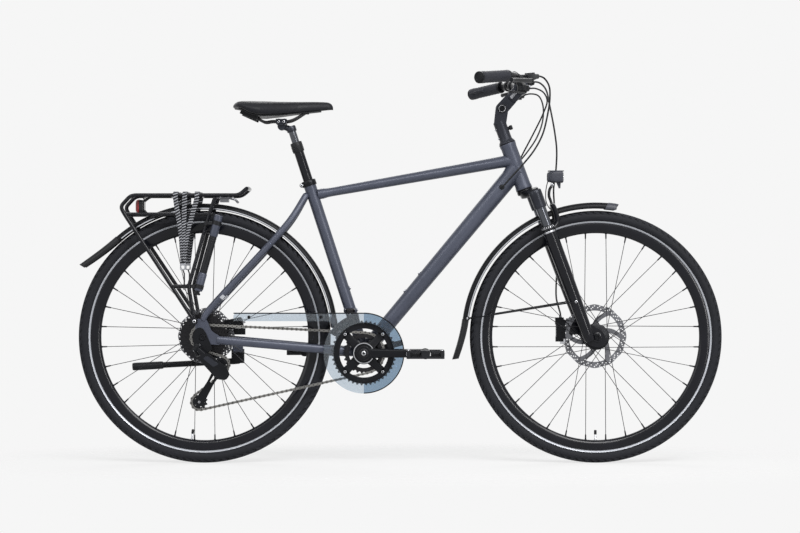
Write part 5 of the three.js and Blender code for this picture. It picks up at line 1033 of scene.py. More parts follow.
    def _fittings(self) -> None:
        """Bottle-cage bolts, cable grommets, and the foil bands of the seat stays."""
        at, shape = LAYOUT, Shape()
        rear, head = at.rear_axle, at.steering(0, 0, 61)
        down = head - at.bracket
        along = down.normalized()
        out = xyz(-along.z, 0, along.x)
        places = [(at.bracket + along * d + out * (20.4 + 3.6 * d / down.length), out) for d in (205, 269)]
        for foot, way in places + [(at.seat(16.3, 0, d), at.seat_forward) for d in (120, 184)]:
            shape.paint = 1
            shape.turned([(5.6, -1), (5.6, 1.2), (5.0, 1.6)], foot, way, 20)
            shape.paint = 0
            shape.bolt(foot + way * 1.2, way, 4.2, 3.0)
        shape.build("bottle_cage_bolts", "frame", [STAINLESS, FRAME_PAINT], sharp=45)
        plugs = Shape()
        for share, side in ((0.9, -1), (0.86, 1), (0.95, 1)):
            foot = at.bracket.lerp(head, share) + aside(side * (20.2 + 3.4 * share))
            plugs.sleeve([(7.4, -2), (7.2, 0.8), (5.2, 3.2), (3.6, 3.4), (2.9, 3.2), (2.9, -2)], foot,
                (0, side, 0), 28)
        plugs.build("cable_grommets", "frame", [HOSE], sharp=45)
        bands = Shape()
        for side in (-1, 1):
            knee = at.seat(0, side * 38, 462).lerp(rear + xyz(0, 0, 50), 0.22)
            low, high = rear + xyz(10, side * 66, 66), xyz(knee.x, side * 38, knee.z)
            bands.tube([low.lerp(high, 0.17), low.lerp(high, 0.205)], 9.75, 24)
        bands.build("stay_foil_bands", "frame", [FOIL])

    def _mount(self) -> None:
        """The derailleur's fixed knuckle under the right dropout, with its bolt and cable stop."""
        rear, shape = LAYOUT.rear_axle, Shape()
        hub = rear + xyz(-14, -75.6, -28)
        shape.turned([(11.4, -7.6), (11.9, -6.6), (11.9, 6.6), (10.6, 8.0), (8.2, 8.4)], hub, (0, -1, 0), 40)
        shape.plate(rounded([(-572, 360), (-566, 379), (-549, 381), (-538, 366), (-531, 348), (-519, 322),
            (-540, 306), (-573, 312)], 8), 2.4, side_on(-76.4), [circle((-547.8, 353), 9.6, 28)])
        shape.tube([rear + xyz(-16, -76, -34), rear + xyz(-15, -79, -44), rear + xyz(-12, -82, -52)],
            [8.4, 7.4, 5.6], 20, 0.9)
        shape.paint = 1
        shape.bolt(hub + aside(-8.2), (0, -1, 0), 6.4, 2.8)
        shape.build("derailleur_hanger_knuckle", "frame", [ANODISED, STAINLESS], bevel=0.4)

    def _axle(self) -> None:
        """The rear axle with its end caps."""
        rear, shape = LAYOUT.rear_axle, Shape()
        shape.tube([rear + aside(-74), rear + aside(74)], 4.7)
        for side in (-1, 1):
            shape.turned([(8.2, 0.1), (9.0, 0.8), (9.0, 4.6), (8.0, 6.0), (4.2, 6.0), (3.6, 4.2)], rear
                + aside(side * 74.1), (0, side, 0), 32)
        shape.build("rear_through_axle", "frame", [ANODISED], ["rear_axle"], bevel=0.3)

    def _stand(self) -> None:
        """The kickstand: its bolted plate, the leg and its rubber foot."""
        plate = Shape()
        plate.block((-460, 73.5, 296), (36, 15, 40))
        plate.paint = 1
        for x in (-468, -451.6):
            plate.bolt((x, 81, 304), (0, 1, 0), 3.6, 2.6)
        plate.build("kickstand_plate", "frame", [ANODISED, STAINLESS], bevel=1.2)
        leg = Shape()
        pivot = xyz(-459.8, 80, 282)
        turn = radians(3.2)
        along = xyz(-cos(turn), 0, -sin(turn))
        reach = [0, 12, 30, 120, 212, 214, 218, 295, 300]
        wide = [8.8, 9.4, 8.6, 8.4, 8.4, 10.4, 10.8, 11.2, 9.6]
        leg.tube([pivot + along * d for d in reach[:5]], wide[:5], 28)
        leg.ball(pivot, 9.0, 28, 1.0, (0, 1, 0))
        leg.paint = 1
        leg.tube([pivot + along * d for d in reach[4:]], wide[4:], 28)
        leg.paint = 2
        leg.bolt(pivot + xyz(-14, -6.8, 0), (0, -1, 0), 3.2, 2.0)
        leg.build("kickstand", "stand", [ANODISED, NYLON, STAINLESS], ["kickstand_leg"], sharp=45)


# Fork and headset

@dataclass
class Fork:
    """The suspension fork, its mudguard stays and the front brake, in millimetres."""

    leg_side: float = 62.0
    leg_forward: float = 21.0

    def build(self) -> None:
        """Builds the fork from the crown down."""
        self._crown()
        self._headset()
        self._lowers()
        self._axle()
        self._caliper()

    def _crown(self) -> None:
        """The forged crown, the steerer and the two chromed stanchions."""
        at, shape = LAYOUT, Shape()
        sections = []
        for y in (-62, -52, -40, -25, -12, 0, 12, 25, 40, 52, 62):
            share = min(1.0, max(0.0, (abs(y) - 25) / 37))
            middle = 10 + 11 * share
            reach = 26 - 11 * share
            top, low = -4 - 12 * share, -24 - 3 * share
            loop = rounded([(middle - reach, low), (middle + reach, low), (middle + reach, top),
                (middle - reach, top)], 7, 3)
            sections.append([at.steering(f, y, u) for f, u in loop])
        shape.loft(sections)
        shape.turned([(14.3, -22), (14.3, 200)], at.steering(0, 0, 0), at.steering_up, 36)
        shape.turned([(20, -13), (23, -10.5), (23, -4), (21.6, -0.4)], at.steering(0, 0, 0), at.steering_up)
        shape.paint = 1
        for side in (-1, 1):
            foot = at.steering(self.leg_forward, side * self.leg_side, 0)
            shape.turned([(12, -11.5), (16.6, -13), (18.2, -16), (18.5, -26), (18.2, -60), (17.2, -64.5),
                (14.2, -65)], foot, at.steering_up)
        shape.build("fork_crown_and_steerer", "steerer", [ANODISED, GREY_ALUMINIUM], ["fork_crown"],
            bevel=0.5)
        chrome = Shape()
        for side in (-1, 1):
            foot = at.steering(self.leg_forward, side * self.leg_side, 0)
            chrome.turned([(14.0, -60), (14.0, -233)], foot, at.steering_up, 56)
        chrome.build("fork_stanchions", "steerer", [CHROME])
        caps = Shape()
        for side in (-1, 1):
            foot = at.steering(self.leg_forward, side * self.leg_side, -12)
            caps.turned([(12.4, -1), (12.4, 2.6), (11.6, 3.6)], foot, at.steering_up, 12)
        caps.build("fork_top_caps", "steerer", [NYLON], bevel=0.4)

    def _headset(self) -> None:
        """The headset's lower and upper bearing covers."""
        at, shape = LAYOUT, Shape()
        shape.sleeve([(22.8, -0.3), (23.9, 0.2), (23.9, 1.6), (23.2, 2.0), (17.5, 2.0), (17.5, -0.3)],
            at.steering(0, 0, 0), at.steering_up, 56)
        shape.sleeve([(23.2, 136.2), (24.0, 136.8), (24.0, 138.0), (17.5, 138.0), (17.5, 136.2)],
            at.steering(0, 0, 0), at.steering_up, 56)
        shape.build("headset_covers", "frame", [ANODISED], bevel=0.3)

    def _lowers(self) -> None:
        """The lower legs, their arch, seals and dropouts."""
        at, shape = LAYOUT, Shape()
        for side in (-1, 1):
            foot = at.steering(self.leg_forward, side * self.leg_side, 0)
            shape.turned([(14.6, -126.5), (17.4, -127.5), (18.2, -131), (18.2, -140), (19.2, -165),
                (19.0, -250), (17.9, -340), (15.9, -430), (15.0, -452), (12.0, -460), (5.0, -462)], foot,
                at.steering_up, 56)
            outline = rounded([(10, -392), (24, -400), (60, -440), (66, -462), (58, -482), (40, -486),
                (20, -474), (8, -458)], 12)
            shape.plate(outline, 8.0, lambda f, u, w: at.steering(f, side * (54.3 + w), u))
            shape.turned([(14.5, 0), (14.5, 3.0), (13.0, 4.2)], at.steering(at.race_back, side * 57.5,
                -at.race_up), (0, side, 0), 40)
        half = [(0, 1, -0.13), (0.73, 0.9, 0.13), (0.95, 0.65, 0.5), (1, 0.3, 0.95)]
        points = [at.steering(21 + 37 * f, 62 * s, 60 * r - 128) for f, s, r in half]
        mirror = [xyz(p.x, -p.y, p.z) for p in reversed(points)]
        path = smooth_path(points + mirror, 9)
        shape.tube(path, [9.2 - 1.8 * sin(pi * k / (len(path) - 1)) for k in range(len(path))], 24, 0.8,
            at.steering_up)
        rib = smooth_path([p + at.steering_up * -9 for p in points[1:]] + [p + at.steering_up * -9
            for p in mirror[:-1]], 8)
        shape.tube(rib, 3.4, 12)
        shape.block((426.05, 0, 712), (10, 17, 12))
        shape.block((494, 58.3, 380), (50, 8, 46))
        shape.build("fork_lower_legs", "lowers", [GLOSS_BLACK], ["fork_lowers"], bevel=1.0, sharp=50)
        trim = Shape()
        for side in (-1, 1):
            foot = at.steering(self.leg_forward, side * self.leg_side, 0)
            trim.paint = 0
            trim.sleeve([(14.3, -117), (17.0, -118), (17.8, -120.5), (17.8, -126), (17.2, -127.2),
                (14.3, -127.2)], foot, at.steering_up)
            trim.paint = 1
            for i in range(20):
                turn = tau * i / 20
                rim = at.steering_forward * cos(turn) + aside(1) * sin(turn)
                trim.block(foot + rim * 17.8 + at.steering_up * -123, (2.6, 1.4, 5.6),
                    (at.steering_up.cross(rim), rim, at.steering_up))
            trim.sleeve([(18.3, -133.5), (18.7, -134.5), (18.5, -137.5), (18.1, -138.5), (16, -138.5),
                (16, -133.5)], foot, at.steering_up, 56)
        trim.build("fork_dust_seals", "lowers", [HOSE, STAINLESS], bevel=0.2)

    def _axle(self) -> None:
        """The front axle with its socketed head and its lever side."""
        at, shape = LAYOUT.front_axle, Shape()
        shape.tube([at + aside(-58.6), at + aside(58.6)], 4.7)
        for side in (-1, 1):
            shape.turned([(8.4, 0.1), (9.0, 0.8), (9.0, 4.4), (7.8, 6.0), (4.4, 6.0), (3.8, 3.2)], at
                + aside(side * 58.6), (0, side, 0), 32)
        shape.build("front_through_axle", "lowers", [ANODISED], ["front_axle"], bevel=0.3)

    def _caliper(self) -> None:
        """The front brake caliper behind the left leg."""
        shape = Shape()
        shape.block((452, 33.5, 372), (26, 11, 52))
        shape.block((452, 48.5, 372), (26, 10.5, 52))
        shape.block((449, 41, 396), (24, 20, 20))
        shape.block((449, 41, 345), (22, 20, 14))
        shape.turned([(11, 0), (11, 3), (9, 4.4)], (456, 51.8, 374), (0, 1, 0), 32)
        shape.turned([(11, 0), (11, 3), (9, 4.0)], (456, 29.8, 374), (0, -1, 0), 32)
        shape.block((474, 49, 352), (26, 9, 12))
        shape.block((474, 49, 392), (26, 9, 12))
        shape.paint = 1
        for z in (352, 392):
            shape.bolt((478, 46, z), (0, -1, 0), 4.4, 4.0)
        shape.tube([(452, 41, 406), (452, 41, 411)], 4.4, 6)
        for y in (38.0, 44.0):
            shape.block((458, y, 340), (14, 1.4, 18))
        shape.build("front_brake_caliper", "lowers", [ANODISED, STAINLESS], ["front_caliper"], bevel=1.6)


# Drive

@dataclass
class Drive:
    """Cranks, chainrings, chain, cassette and derailleurs, in millimetres."""

    link: float = 12.7
    big_ring: int = 44
    small_ring: int = 28
    crank_length: float = 170.0
    cogs: tuple[int, ...] = (11, 13, 15, 17, 20, 23, 26, 30, 34)
    chain_cog: int = 17
    pulley_teeth: int = 11
    outer_side: float = -50.4
    inner_side: float = -43.0
    first_cog_side: float = -62.4
    cog_step: float = 4.2
    chain_side: float = -49.8
    guide: Triple = (-497.8, -49.8, 277.0)
    tension: Triple = (-558.8, -49.8, 173.0)

    def build(self) -> None:
        """Builds the drive from the rings to the derailleurs."""
        self._rings()
        self._crank(-1)
        self._crank(1)
        self._pedal(-1)
        self._pedal(1)
        self._cassette()
        self._chain()
        self._pulleys()
        self._rear_derailleur()
        self._front_derailleur()
        self._guard()

    def _pitch_radius(self, teeth: int) -> float:
        """The radius that a chain's pins run at."""
        return self.link / (2 * sin(pi / teeth))

    def _toothed(self, teeth: int, narrow: float = 0.0) -> list[Point]:
        """The toothed edge of a sprocket.

        Args:
            teeth: how many teeth it has.
            narrow: how much lower every tooth is.

        Returns:
            The outline.
        """
        radius, edge = self._pitch_radius(teeth), []
        for i in range(teeth):
            for share, lift in ((0.0, -3.6), (0.14, -3.3), (0.27, -1.2), (0.40, 1.2 - narrow),
                    (0.50, 1.6 - narrow), (0.60, 1.2 - narrow), (0.73, -1.2), (0.86, -3.3)):
                turn = tau * (i + share) / teeth
                edge.append(polar(radius + lift, turn))
        return edge

    def _rings(self) -> None:
        """The two chainrings with their tabs and bolts."""
        at = LAYOUT.bracket
        for name, teeth, y, web, bolts, finish in (("outer", self.big_ring, self.outer_side, 68.0, 74.0,
                ANODISED), ("inner", self.small_ring, self.inner_side, 42.0, 46.4, DARK_STEEL)):
            shape = Shape()
            shape.plate(self._toothed(teeth), 2.0, side_on(y, at), [circle((0, 0), web, 72)])
            for turn in turns(45, 315, 90):
                out = ray(turn)
                if name == "outer":
                    tab = rounded([(-8, web - 9), (8, web - 9), (13, web + 3), (-13, web + 3)], 4)
                    shape.plate(tab, 2.0, lambda u, v, w: at + out * v + aside(y + w) + xyz(-out.z, 0, out.x)
                        * u)
                shape.paint = 1
                shape.bolt(at + out * bolts + aside(y - 1.0), (0, -1, 0), 4.4, 2.2)
                shape.paint = 0
            shape.build(f"{name}_chainring_cut", "crankset", [finish, STAINLESS], [f"{name}_chainring"],
                bevel=0.25, sharp=30)

    def _crank(self, side: int) -> None:
        """One forged crank arm with its hollow back, and on the right the spider.

        Args:
            side: 1 for the left side, -1 for the drive side.
        """
        at, shape = LAYOUT.bracket, Shape()
        ahead = -side
        rings = []
        for k in range(13):
            share = k / 12
            half = (16.5 - 3.4 * share) * (1 - 0.10 * sin(pi * share))
            inner = 62 + 7 * share ** 1.3
            outer = 76 + 7 * share ** 1.3
            x = ahead * self.crank_length * share
            loop = rounded([(-half, inner), (half, inner), (half * 0.78, outer), (-half * 0.78, outer)], 4.5,
                3)
            rings.append([at + xyz(x, side * y, z) for z, y in loop])
        shape.loft(rings)
        shape.turned([(19.0, 61.4), (21.0, 63), (21.0, 74), (18.4, 76.6), (13.4, 76.6), (13.4, 74.8),
            (12.1, 74.8)], at, (0, side, 0))
        tip = at + xyz(ahead * self.crank_length, 0, 0)
        shape.turned([(13.0, 69), (14.2, 70.5), (14.2, 81.5), (12.8, 83)], tip, (0, side, 0), 40)
        if side < 0:
            shape.sleeve([(30, 47.4), (31, 48.2), (31, 64), (29.4, 66.4), (21.5, 67.4), (12.4, 67.4),
                (12.4, 47.4)], at, (0, side, 0), 56)
            shape.paint = 2
            shape.sleeve([(28.2, 66.3), (29.0, 67.3), (26.8, 67.6), (26.6, 66.9)], at, (0, side, 0), 56)
            shape.paint = 0
            for i in range(4):
                turn = radians(45 + 90 * i)
                out = ray(turn)
                across = xyz(-out.z, 0, out.x)
                ribs = []
                for k in range(7):
                    share = k / 6
                    reach, half = 20 + 58.5 * share, 15 - 5.4 * share + 2.0 * (share > 0.8)
                    depth = 10 * (1 - share) ** 1.4
                    loop = rounded([(-half, 47.3), (half, 47.3), (half * 0.8, 49.1 + depth),
                        (-half * 0.8, 49.1 + depth)], 1.4, 2)
                    ribs.append([at + out * reach + across * u + aside(-y) for u, y in loop])
                shape.loft(ribs)
        shape.tube([at + aside(side * 9), at + aside(side * 70)], 12.0, 32)
        shape.paint = 1
        shape.turned([(13.2, 74.9), (13.2, 76.8), (12.0, 77.6), (7.2, 77.8), (6.4, 75.6)], at, (0, side, 0),
            40)
        shape.sleeve([(20.2, 74.2), (20.8, 75.0), (20.2, 76.2), (18.9, 76.9), (18.6, 76.2)], at, (0, side, 0))
        shape.paint = 2
        shape.bolt(at + aside(side * 76.4), (0, side, 0), 6.2, 1.8)
        name = hand(side)
        shape.build(f"forged_crank_{name}", "crankset", [ANODISED, DARK_STEEL, STAINLESS], [f"crank_{name}"],
            bevel=0.7, sharp=40)

    def _pedal(self, side: int) -> None:
        """One touring pedal: a pinned cage round its body and end caps.

        Args:
            side: 1 for the left side, -1 for the right.
        """
        name = hand(side)
        centre = LAYOUT.bracket + xyz(-side * self.crank_length, 0, 0)
        shape = Shape()
        for z in (-1, 1):
            for x in (-1, 1):
                shape.block(centre + xyz(x * 46, side * 137, z * 8.6), (11.4, 92, 5.2))
            for y in (93, 181):
                shape.block(centre + xyz(0, side * y, z * 8.6), (92, 7.4, 5.2))
            shape.block(centre + xyz(0, side * 137, z * 7.6), (26, 88, 4.6))
        shape.turned([(11.4, 89.4), (12.2, 91), (12.2, 183), (11.0, 184.6)], centre, (0, side, 0), 32)
        for x in (-1, 1):
            for y in (93, 181):
                shape.block(centre + xyz(x * 46.5, side * y, 0), (10.4, 7.6, 22))
            for y in (110, 137, 164):
                shape.block(centre + xyz(x * 30, side * y, 0), (30, 4.4, 9))
        shape.paint = 1
        for z in (-1, 1):
            for x in (-1, 1):
                for y in (98, 117, 137, 157, 176):
                    shape.turned([(1.6, 0), (1.6, 1.0), (1.2, 1.3)], centre + xyz(x * 46, side * y, z * 10.8),
                        (0, 0, z), 8)
        shape.tube([centre + aside(side * 83), centre + aside(side * 90)], 6.0, 24)
        shape.turned([(8.6, 83.2), (8.6, 87.2), (7.8, 88)], centre, (0, side, 0), 8)
        shape.paint = 2
        for x in (-1, 1):
            shape.block(centre + xyz(x * 51.8, side * 137, 0), (1.6, 46, 9))
        shape.build(f"{name}_caged_pedal", f"{name}_pedal", [NYLON, STAINLESS, REFLECTIVE], [f"pedal_{name}"],
            bevel=0.8)

    def _cassette(self) -> None:
        """Nine drilled cogs on their carrier, with spacers and the lock ring."""
        rear, shape = LAYOUT.rear_axle, Shape()
        for i, teeth in enumerate(self.cogs):
            y = self.first_cog_side + self.cog_step * i
            radius = self._pitch_radius(teeth)
            holes = [circle((0, 0), 17.6, 36)]
            if radius > 38:
                count = 6 if radius < 60 else 9
                for k in range(count):
                    turn = tau * (k + 0.5 * (i % 2)) / count
                    away = (radius - 6 + 24) / 2
                    holes.append(circle(polar(away, turn), min(11.0, (radius - 6 - 24) * 0.42), 14))
            shape.paint = 0
            shape.plate(self._toothed(teeth), 1.6, side_on(y, rear), holes)
            if i:
                shape.paint = 1
                shape.sleeve([(19.6, -3.5), (19.6, -0.7), (17.6, -0.7), (17.6, -3.5)], rear + aside(y + 0.1),
                    (0, 1, 0), 40)
        shape.paint = 0
        shape.sleeve([(18.2, -64.4), (19.2, -63.8), (19.2, -63.2), (17.6, -63.2), (17.6, -64.4)], rear,
            (0, 1, 0), 24)
        shape.build("nine_speed_cassette", "sprockets", [DARK_STEEL, ANODISED], ["cassette"], bevel=0.15,
            sharp=30)

    def _chain_line(self) -> list[Vector]:
        """The pins' line: round the 17-tooth cog, the inner ring, and both pulleys.

        Returns:
            Points one link apart, each at a pin.
        """
        stops = [(LAYOUT.rear_axle + aside(self.chain_side), self.chain_cog, 1), (LAYOUT.bracket
            + aside(self.inner_side), self.small_ring, 1), (Vector(self.tension), self.pulley_teeth, 1),
            (Vector(self.guide), self.pulley_teeth, -1)]
        count = len(stops)
        leave, arrive = [0.0] * count, [0.0] * count
        for i, (here, teeth, inside) in enumerate(stops):
            there, others, inside_there = stops[(i + 1) % count]
            r1, r2 = inside * self._pitch_radius(teeth), inside_there * self._pitch_radius(others)
            gap = there - here
            distance = hypot(gap.x, gap.z)
            turn = atan2(gap.z, gap.x) + acos((r1 - r2) / distance)
            leave[i] = turn if inside > 0 else turn + pi
            arrive[(i + 1) % count] = turn if inside_there > 0 else turn + pi
        fine: list[Vector] = []
        for i, (here, teeth, inside) in enumerate(stops):
            sweep = (leave[i] - arrive[i]) % tau
            if inside > 0:
                sweep -= tau
            radius = self._pitch_radius(teeth)
            for k in range(41):
                turn = arrive[i] + sweep * k / 40
                fine.append(here + xyz(radius * cos(turn), 0, radius * sin(turn)))
        fine.append(fine[0].copy())
        lengths = [0.0]
        for a, b in zip(fine, fine[1:]):
            lengths.append(lengths[-1] + (b - a).length)
        links = 2 * round(lengths[-1] / self.link / 2)
        pins, k = [], 0
        for i in range(links):
            goal = lengths[-1] * i / links
            while lengths[k + 1] < goal:
                k += 1
            pins.append(fine[k].lerp(fine[k + 1], (goal - lengths[k]) / (lengths[k + 1] - lengths[k])))
        return pins

    def _chain(self) -> None:
        """The roller chain, link by link."""
        pins, shape = self._chain_line(), Shape()
        waist = [(-6.35 + 4.1 * cos(a), 4.1 * sin(a)) for a in turns(60, 300, 30)]
        waist += [(0, -2.7)] + [(6.35 + 4.1 * cos(a), 4.1 * sin(a)) for a in turns(-120, 120, 30)] + [(0,
            2.7)]
        for i, here in enumerate(pins):
            there = pins[(i + 1) % len(pins)]
            along = there - here
            stretch = along.length / self.link
            along.normalize()
            across = xyz(-along.z, 0, along.x)
            middle = (here + there) / 2
            outer = i % 2 == 0
            for face in (-1, 1):
                side = face * (2.75 if outer else 1.75)
                shape.paint = 1
                shape.plate(waist, 0.9, lambda u, v, w: middle + along * (u * stretch) + across * v
                    + aside(side + w))
            shape.paint = 0
            shape.tube([here + aside(-3.5), here + aside(3.5)], 1.8, 8)
            shape.tube([here + aside(-1.2), here + aside(1.2)], 3.8, 10)
        shape.build("roller_chain", "frame", [DARK_STEEL, CHAIN_STEEL], ["chain"], sharp=30)

    def _pulleys(self) -> None:
        """The two jockey wheels, with their bearing covers."""
        for name, middle in (("guide", Vector(self.guide)), ("tension", Vector(self.tension))):
            shape = Shape()
            holes = [circle((0, 0), 3.4, 20)] + [circle(polar(12.6, tau * k / 5), 2.4, 10) for k in range(5)]
            shape.plate(self._toothed(self.pulley_teeth, 0.4), 1.8, side_on(0, middle), holes)
            shape.paint = 1
            for side in (-1, 1):
                shape.sleeve([(7.6, 0.8), (7.2, 1.9), (3.4, 1.9), (3.4, 0.8)], middle, (0, side, 0), 24)
            shape.build(f"{name}_jockey_wheel", f"{name}_wheel", [NYLON, STAINLESS], [f"{name}_pulley"],
                bevel=0.2, sharp=35)

    def _rear_derailleur(self) -> None:
        """The rear derailleur's link, lower knuckle and pulley cage."""
        hanger, knuckle = xyz(-561.8, -92, 325), xyz(-496.8, -92, 256)
        along = (knuckle - hanger).normalized()
        barrel = xyz(-along.z, 0, along.x)
        link, rings = Shape(), []
        for share in (k / 8 for k in range(9)):
            half, low = 7.0 + 4.4 * sin(pi * share), -4.6 - 1.8 * sin(pi * share)
            loop = rounded([(-half, 3.8), (half, 3.8), (half * 0.6, low), (-half * 0.6, low)], 2.4, 3)
            rings.append([hanger.lerp(knuckle, share) + barrel * u + aside(y) for u, y in loop])
        link.loft(rings)
        for end in (hanger, knuckle):
            link.tube([end + barrel * d for d in (-12, -11, 11, 12)], [5.2, 6.0, 6.0, 5.2], 24)
            link.paint = 1
            for way in (-1, 1):
                link.turned([(3.4, 0), (3.4, 0.8), (2.6, 1.2)], end + barrel * (way * 11.8), barrel * way, 12)
            link.paint = 0
        link.plate(rounded([(-557, 296), (-548, 310), (-530, 310), (-480, 272), (-470, 252), (-480, 236),
            (-506, 238), (-548, 284)], 7), 3.0, side_on(-98.5))
        link.paint = 2
        link.plate(rounded([(-545, 296), (-532, 303), (-500, 280), (-516, 272)], 4), 1.4, side_on(-100.4))
        link.build("derailleur_link_plate", "derailleur_link", [ANODISED, STAINLESS, GREY_ALUMINIUM],
            ["derailleur_body"], bevel=0.5)
        knob, centre = Shape(), xyz(knuckle.x, 0, knuckle.z)
        knob.turned([(13, -55.5), (16.4, -57), (17, -60), (17, -76), (15.4, -81), (11.0, -83.4), (9.6, -83.5),
            (9.2, -82.2)], centre)
        knob.paint = 1
        knob.bolt(centre + aside(-82.2), (0, -1, 0), 5.0, 1.6)
        knob.build("derailleur_spring_knuckle", "derailleur_pivot", [ANODISED, STAINLESS],
            ["derailleur_knuckle"], bevel=0.4)
        cage, guide, tension = Shape(), Vector(self.guide), Vector(self.tension)
        run = xyz(tension.x - guide.x, 0, tension.z - guide.z)
        length, run = run.length, run.normalized()
        side = xyz(-run.z, 0, run.x)
        outline = [(length + 13 * sin(t), 13 * cos(t)) for t in turns(0, 180, 15)] + [(length / 2, -9.4)]
        outline += [(-13 * sin(t), -13 * cos(t)) for t in turns(0, 180, 15)] + [(length / 2, 9.4)]
        holes = [rounded([(24, -3), (length / 2 - 2, -3), (length / 2 - 2, 3), (24, 3)], 2.5)]
        for y in (-54.45, -45.15):
            cage.plate(outline, 1.5, lambda u, v, w: xyz(guide.x, y + w, guide.z) + run * u + side * v, holes)
        cage.paint = 1
        for middle in (guide, tension):
            cage.bolt(middle + aside(-5.4), (0, -1, 0), 3.6, 1.4)
            cage.tube([middle + aside(-5), middle + aside(5)], 2.6, 16)
        cage.paint = 0
        cage.tube([xyz(guide.x, -54.4, guide.z), xyz(knuckle.x, -54.4, knuckle.z)], 9.0, 24, 0.09, (0, 1, 0))
        cage.turned([(12.4, -55.2), (12.4, -53.8)], centre, (0, 1, 0), 36)
        bridge = guide + (tension - guide) * 0.5
        cage.tube([bridge + xyz(12, -4.6, 6), bridge + xyz(12, 4.6, 6)], 2.2, 12)
        cage.build("derailleur_pulley_cage", "derailleur_arm", [ANODISED, STAINLESS], ["derailleur_cage"],
            bevel=0.25)

    def _front_derailleur(self) -> None:
        """The front derailleur's pressed cage, its linkage and clamp arm."""
        at, shape = LAYOUT.bracket, Shape()
        for y, low in ((-50.15, 93), (-38.45, 80)):
            edge = [(110, 98 + 52 * k / 14) for k in range(15)] + [(low, 150 - 52 * k / 14)
                for k in range(15)]
            shape.plate([polar(r, radians(a)) for r, a in edge], 1.5, side_on(y, at))
        rings = []
        for k in range(7):
            turn = radians(98 + 18 * k / 6)
            rings.append([at + xyz(r * cos(turn), y, r * sin(turn)) for r, y in ((107.4, -50.6),
                (107.4, -38.2), (110, -38.2), (110, -50.6))])
        shape.loft(rings)
        shape.block((LAYOUT.shifter_x, -33.1, 418), (17.4, 12, 22))
        shape.tube([(-153.1, -27, 429), (-127.1, -27, 429)], 4.0)
        shape.paint = 1
        for x, way in ((-153.1, -1), (-127.1, 1)):
            shape.turned([(3.4, 0), (3.4, 1.0), (2.6, 1.4)], (x, -27, 429), (way, 0, 0), 12)
        shape.bolt((LAYOUT.shifter_x, -39.2, 415), (0, -1, 0), 3.4, 2.0)
        shape.build("front_derailleur_pressing", "front_derailleur", [DARK_STEEL, STAINLESS],
            ["front_derailleur_cage"], bevel=0.3)

    def _guard(self) -> None:
        """The smoked chain guard with its black rim and its bracket."""
        at, shape, place = LAYOUT.bracket, Shape(), side_on(-60.7)

        def arc(radius: float, first: int, last: int) -> list[Point]:
            """Gives an arc of the wall's edge, a point every 4 degrees."""
            angles = [radians(a) for a in range(first, last, 4 if last > first else -4)]
            return [(at.x + radius * cos(a), at.z + radius * sin(a)) for a in angles]
        shape.plate(arc(112, 90, -91) + arc(84, -90, 91), 1.4, place)
        shape.build("smoked_guard_wall", "frame", [SMOKED], ["chain_guard"], sharp=30)
        pale = Shape()
        pale.plate(arc(112, -90, -226) + [(-200, 397.6), (-463, 398), (-463, 414), (-457, 420.8),
            (at.x, 420.8)] + arc(84, -270, -89), 1.4, place)
        pale.build("thin_guard_wall", "frame", [PALE_SMOKE], sharp=30)
        rim, loop = Shape(), []
        for a in range(90, -91, -4):
            out = ray(radians(a))
            loop.append([at + out * r + aside(y) for r, y in ((109.4, -61.8), (112.4, -61.8), (112.6, -54),
                (111, -54), (110.8, -60.0), (109.4, -60.0))])
        rim.loft(loop)
        lip = ((-61.8, 418.2), (-61.8, 421.2), (-54, 421.4), (-54, 419.8), (-60, 419.6), (-60, 418.2))
        rim.loft([[xyz(x, y, z) for y, z in lip] for x in (-101, -220, -340, -455, -463)])
        turn = radians(15)
        out, across = ray(turn), xyz(-sin(turn), 0, cos(turn))
        rim.block(at + out * 68 + aside(-35), (86, 16, 1.4), (out, across, (0, 1, 0)))
        rim.block(at + out * 110.1 + aside(-46.9), (2.2, 16, 25.6), (out, across, (0, 1, 0)))
        rim.sleeve([(26, -35.7), (26, -34.3), (22.2, -34.3), (22.2, -35.7)], at)
        for x in (-220, -420):
            rim.turned([(4.6, 0), (4.6, 1.2), (3.2, 2.0)], (x, -61.4, 409), (0, -1, 0), 20)
        rim.build("guard_rim_and_bracket", "frame", [GUARD_PLASTIC], bevel=0.3, sharp=40)


# Mudguards, rack and lamps

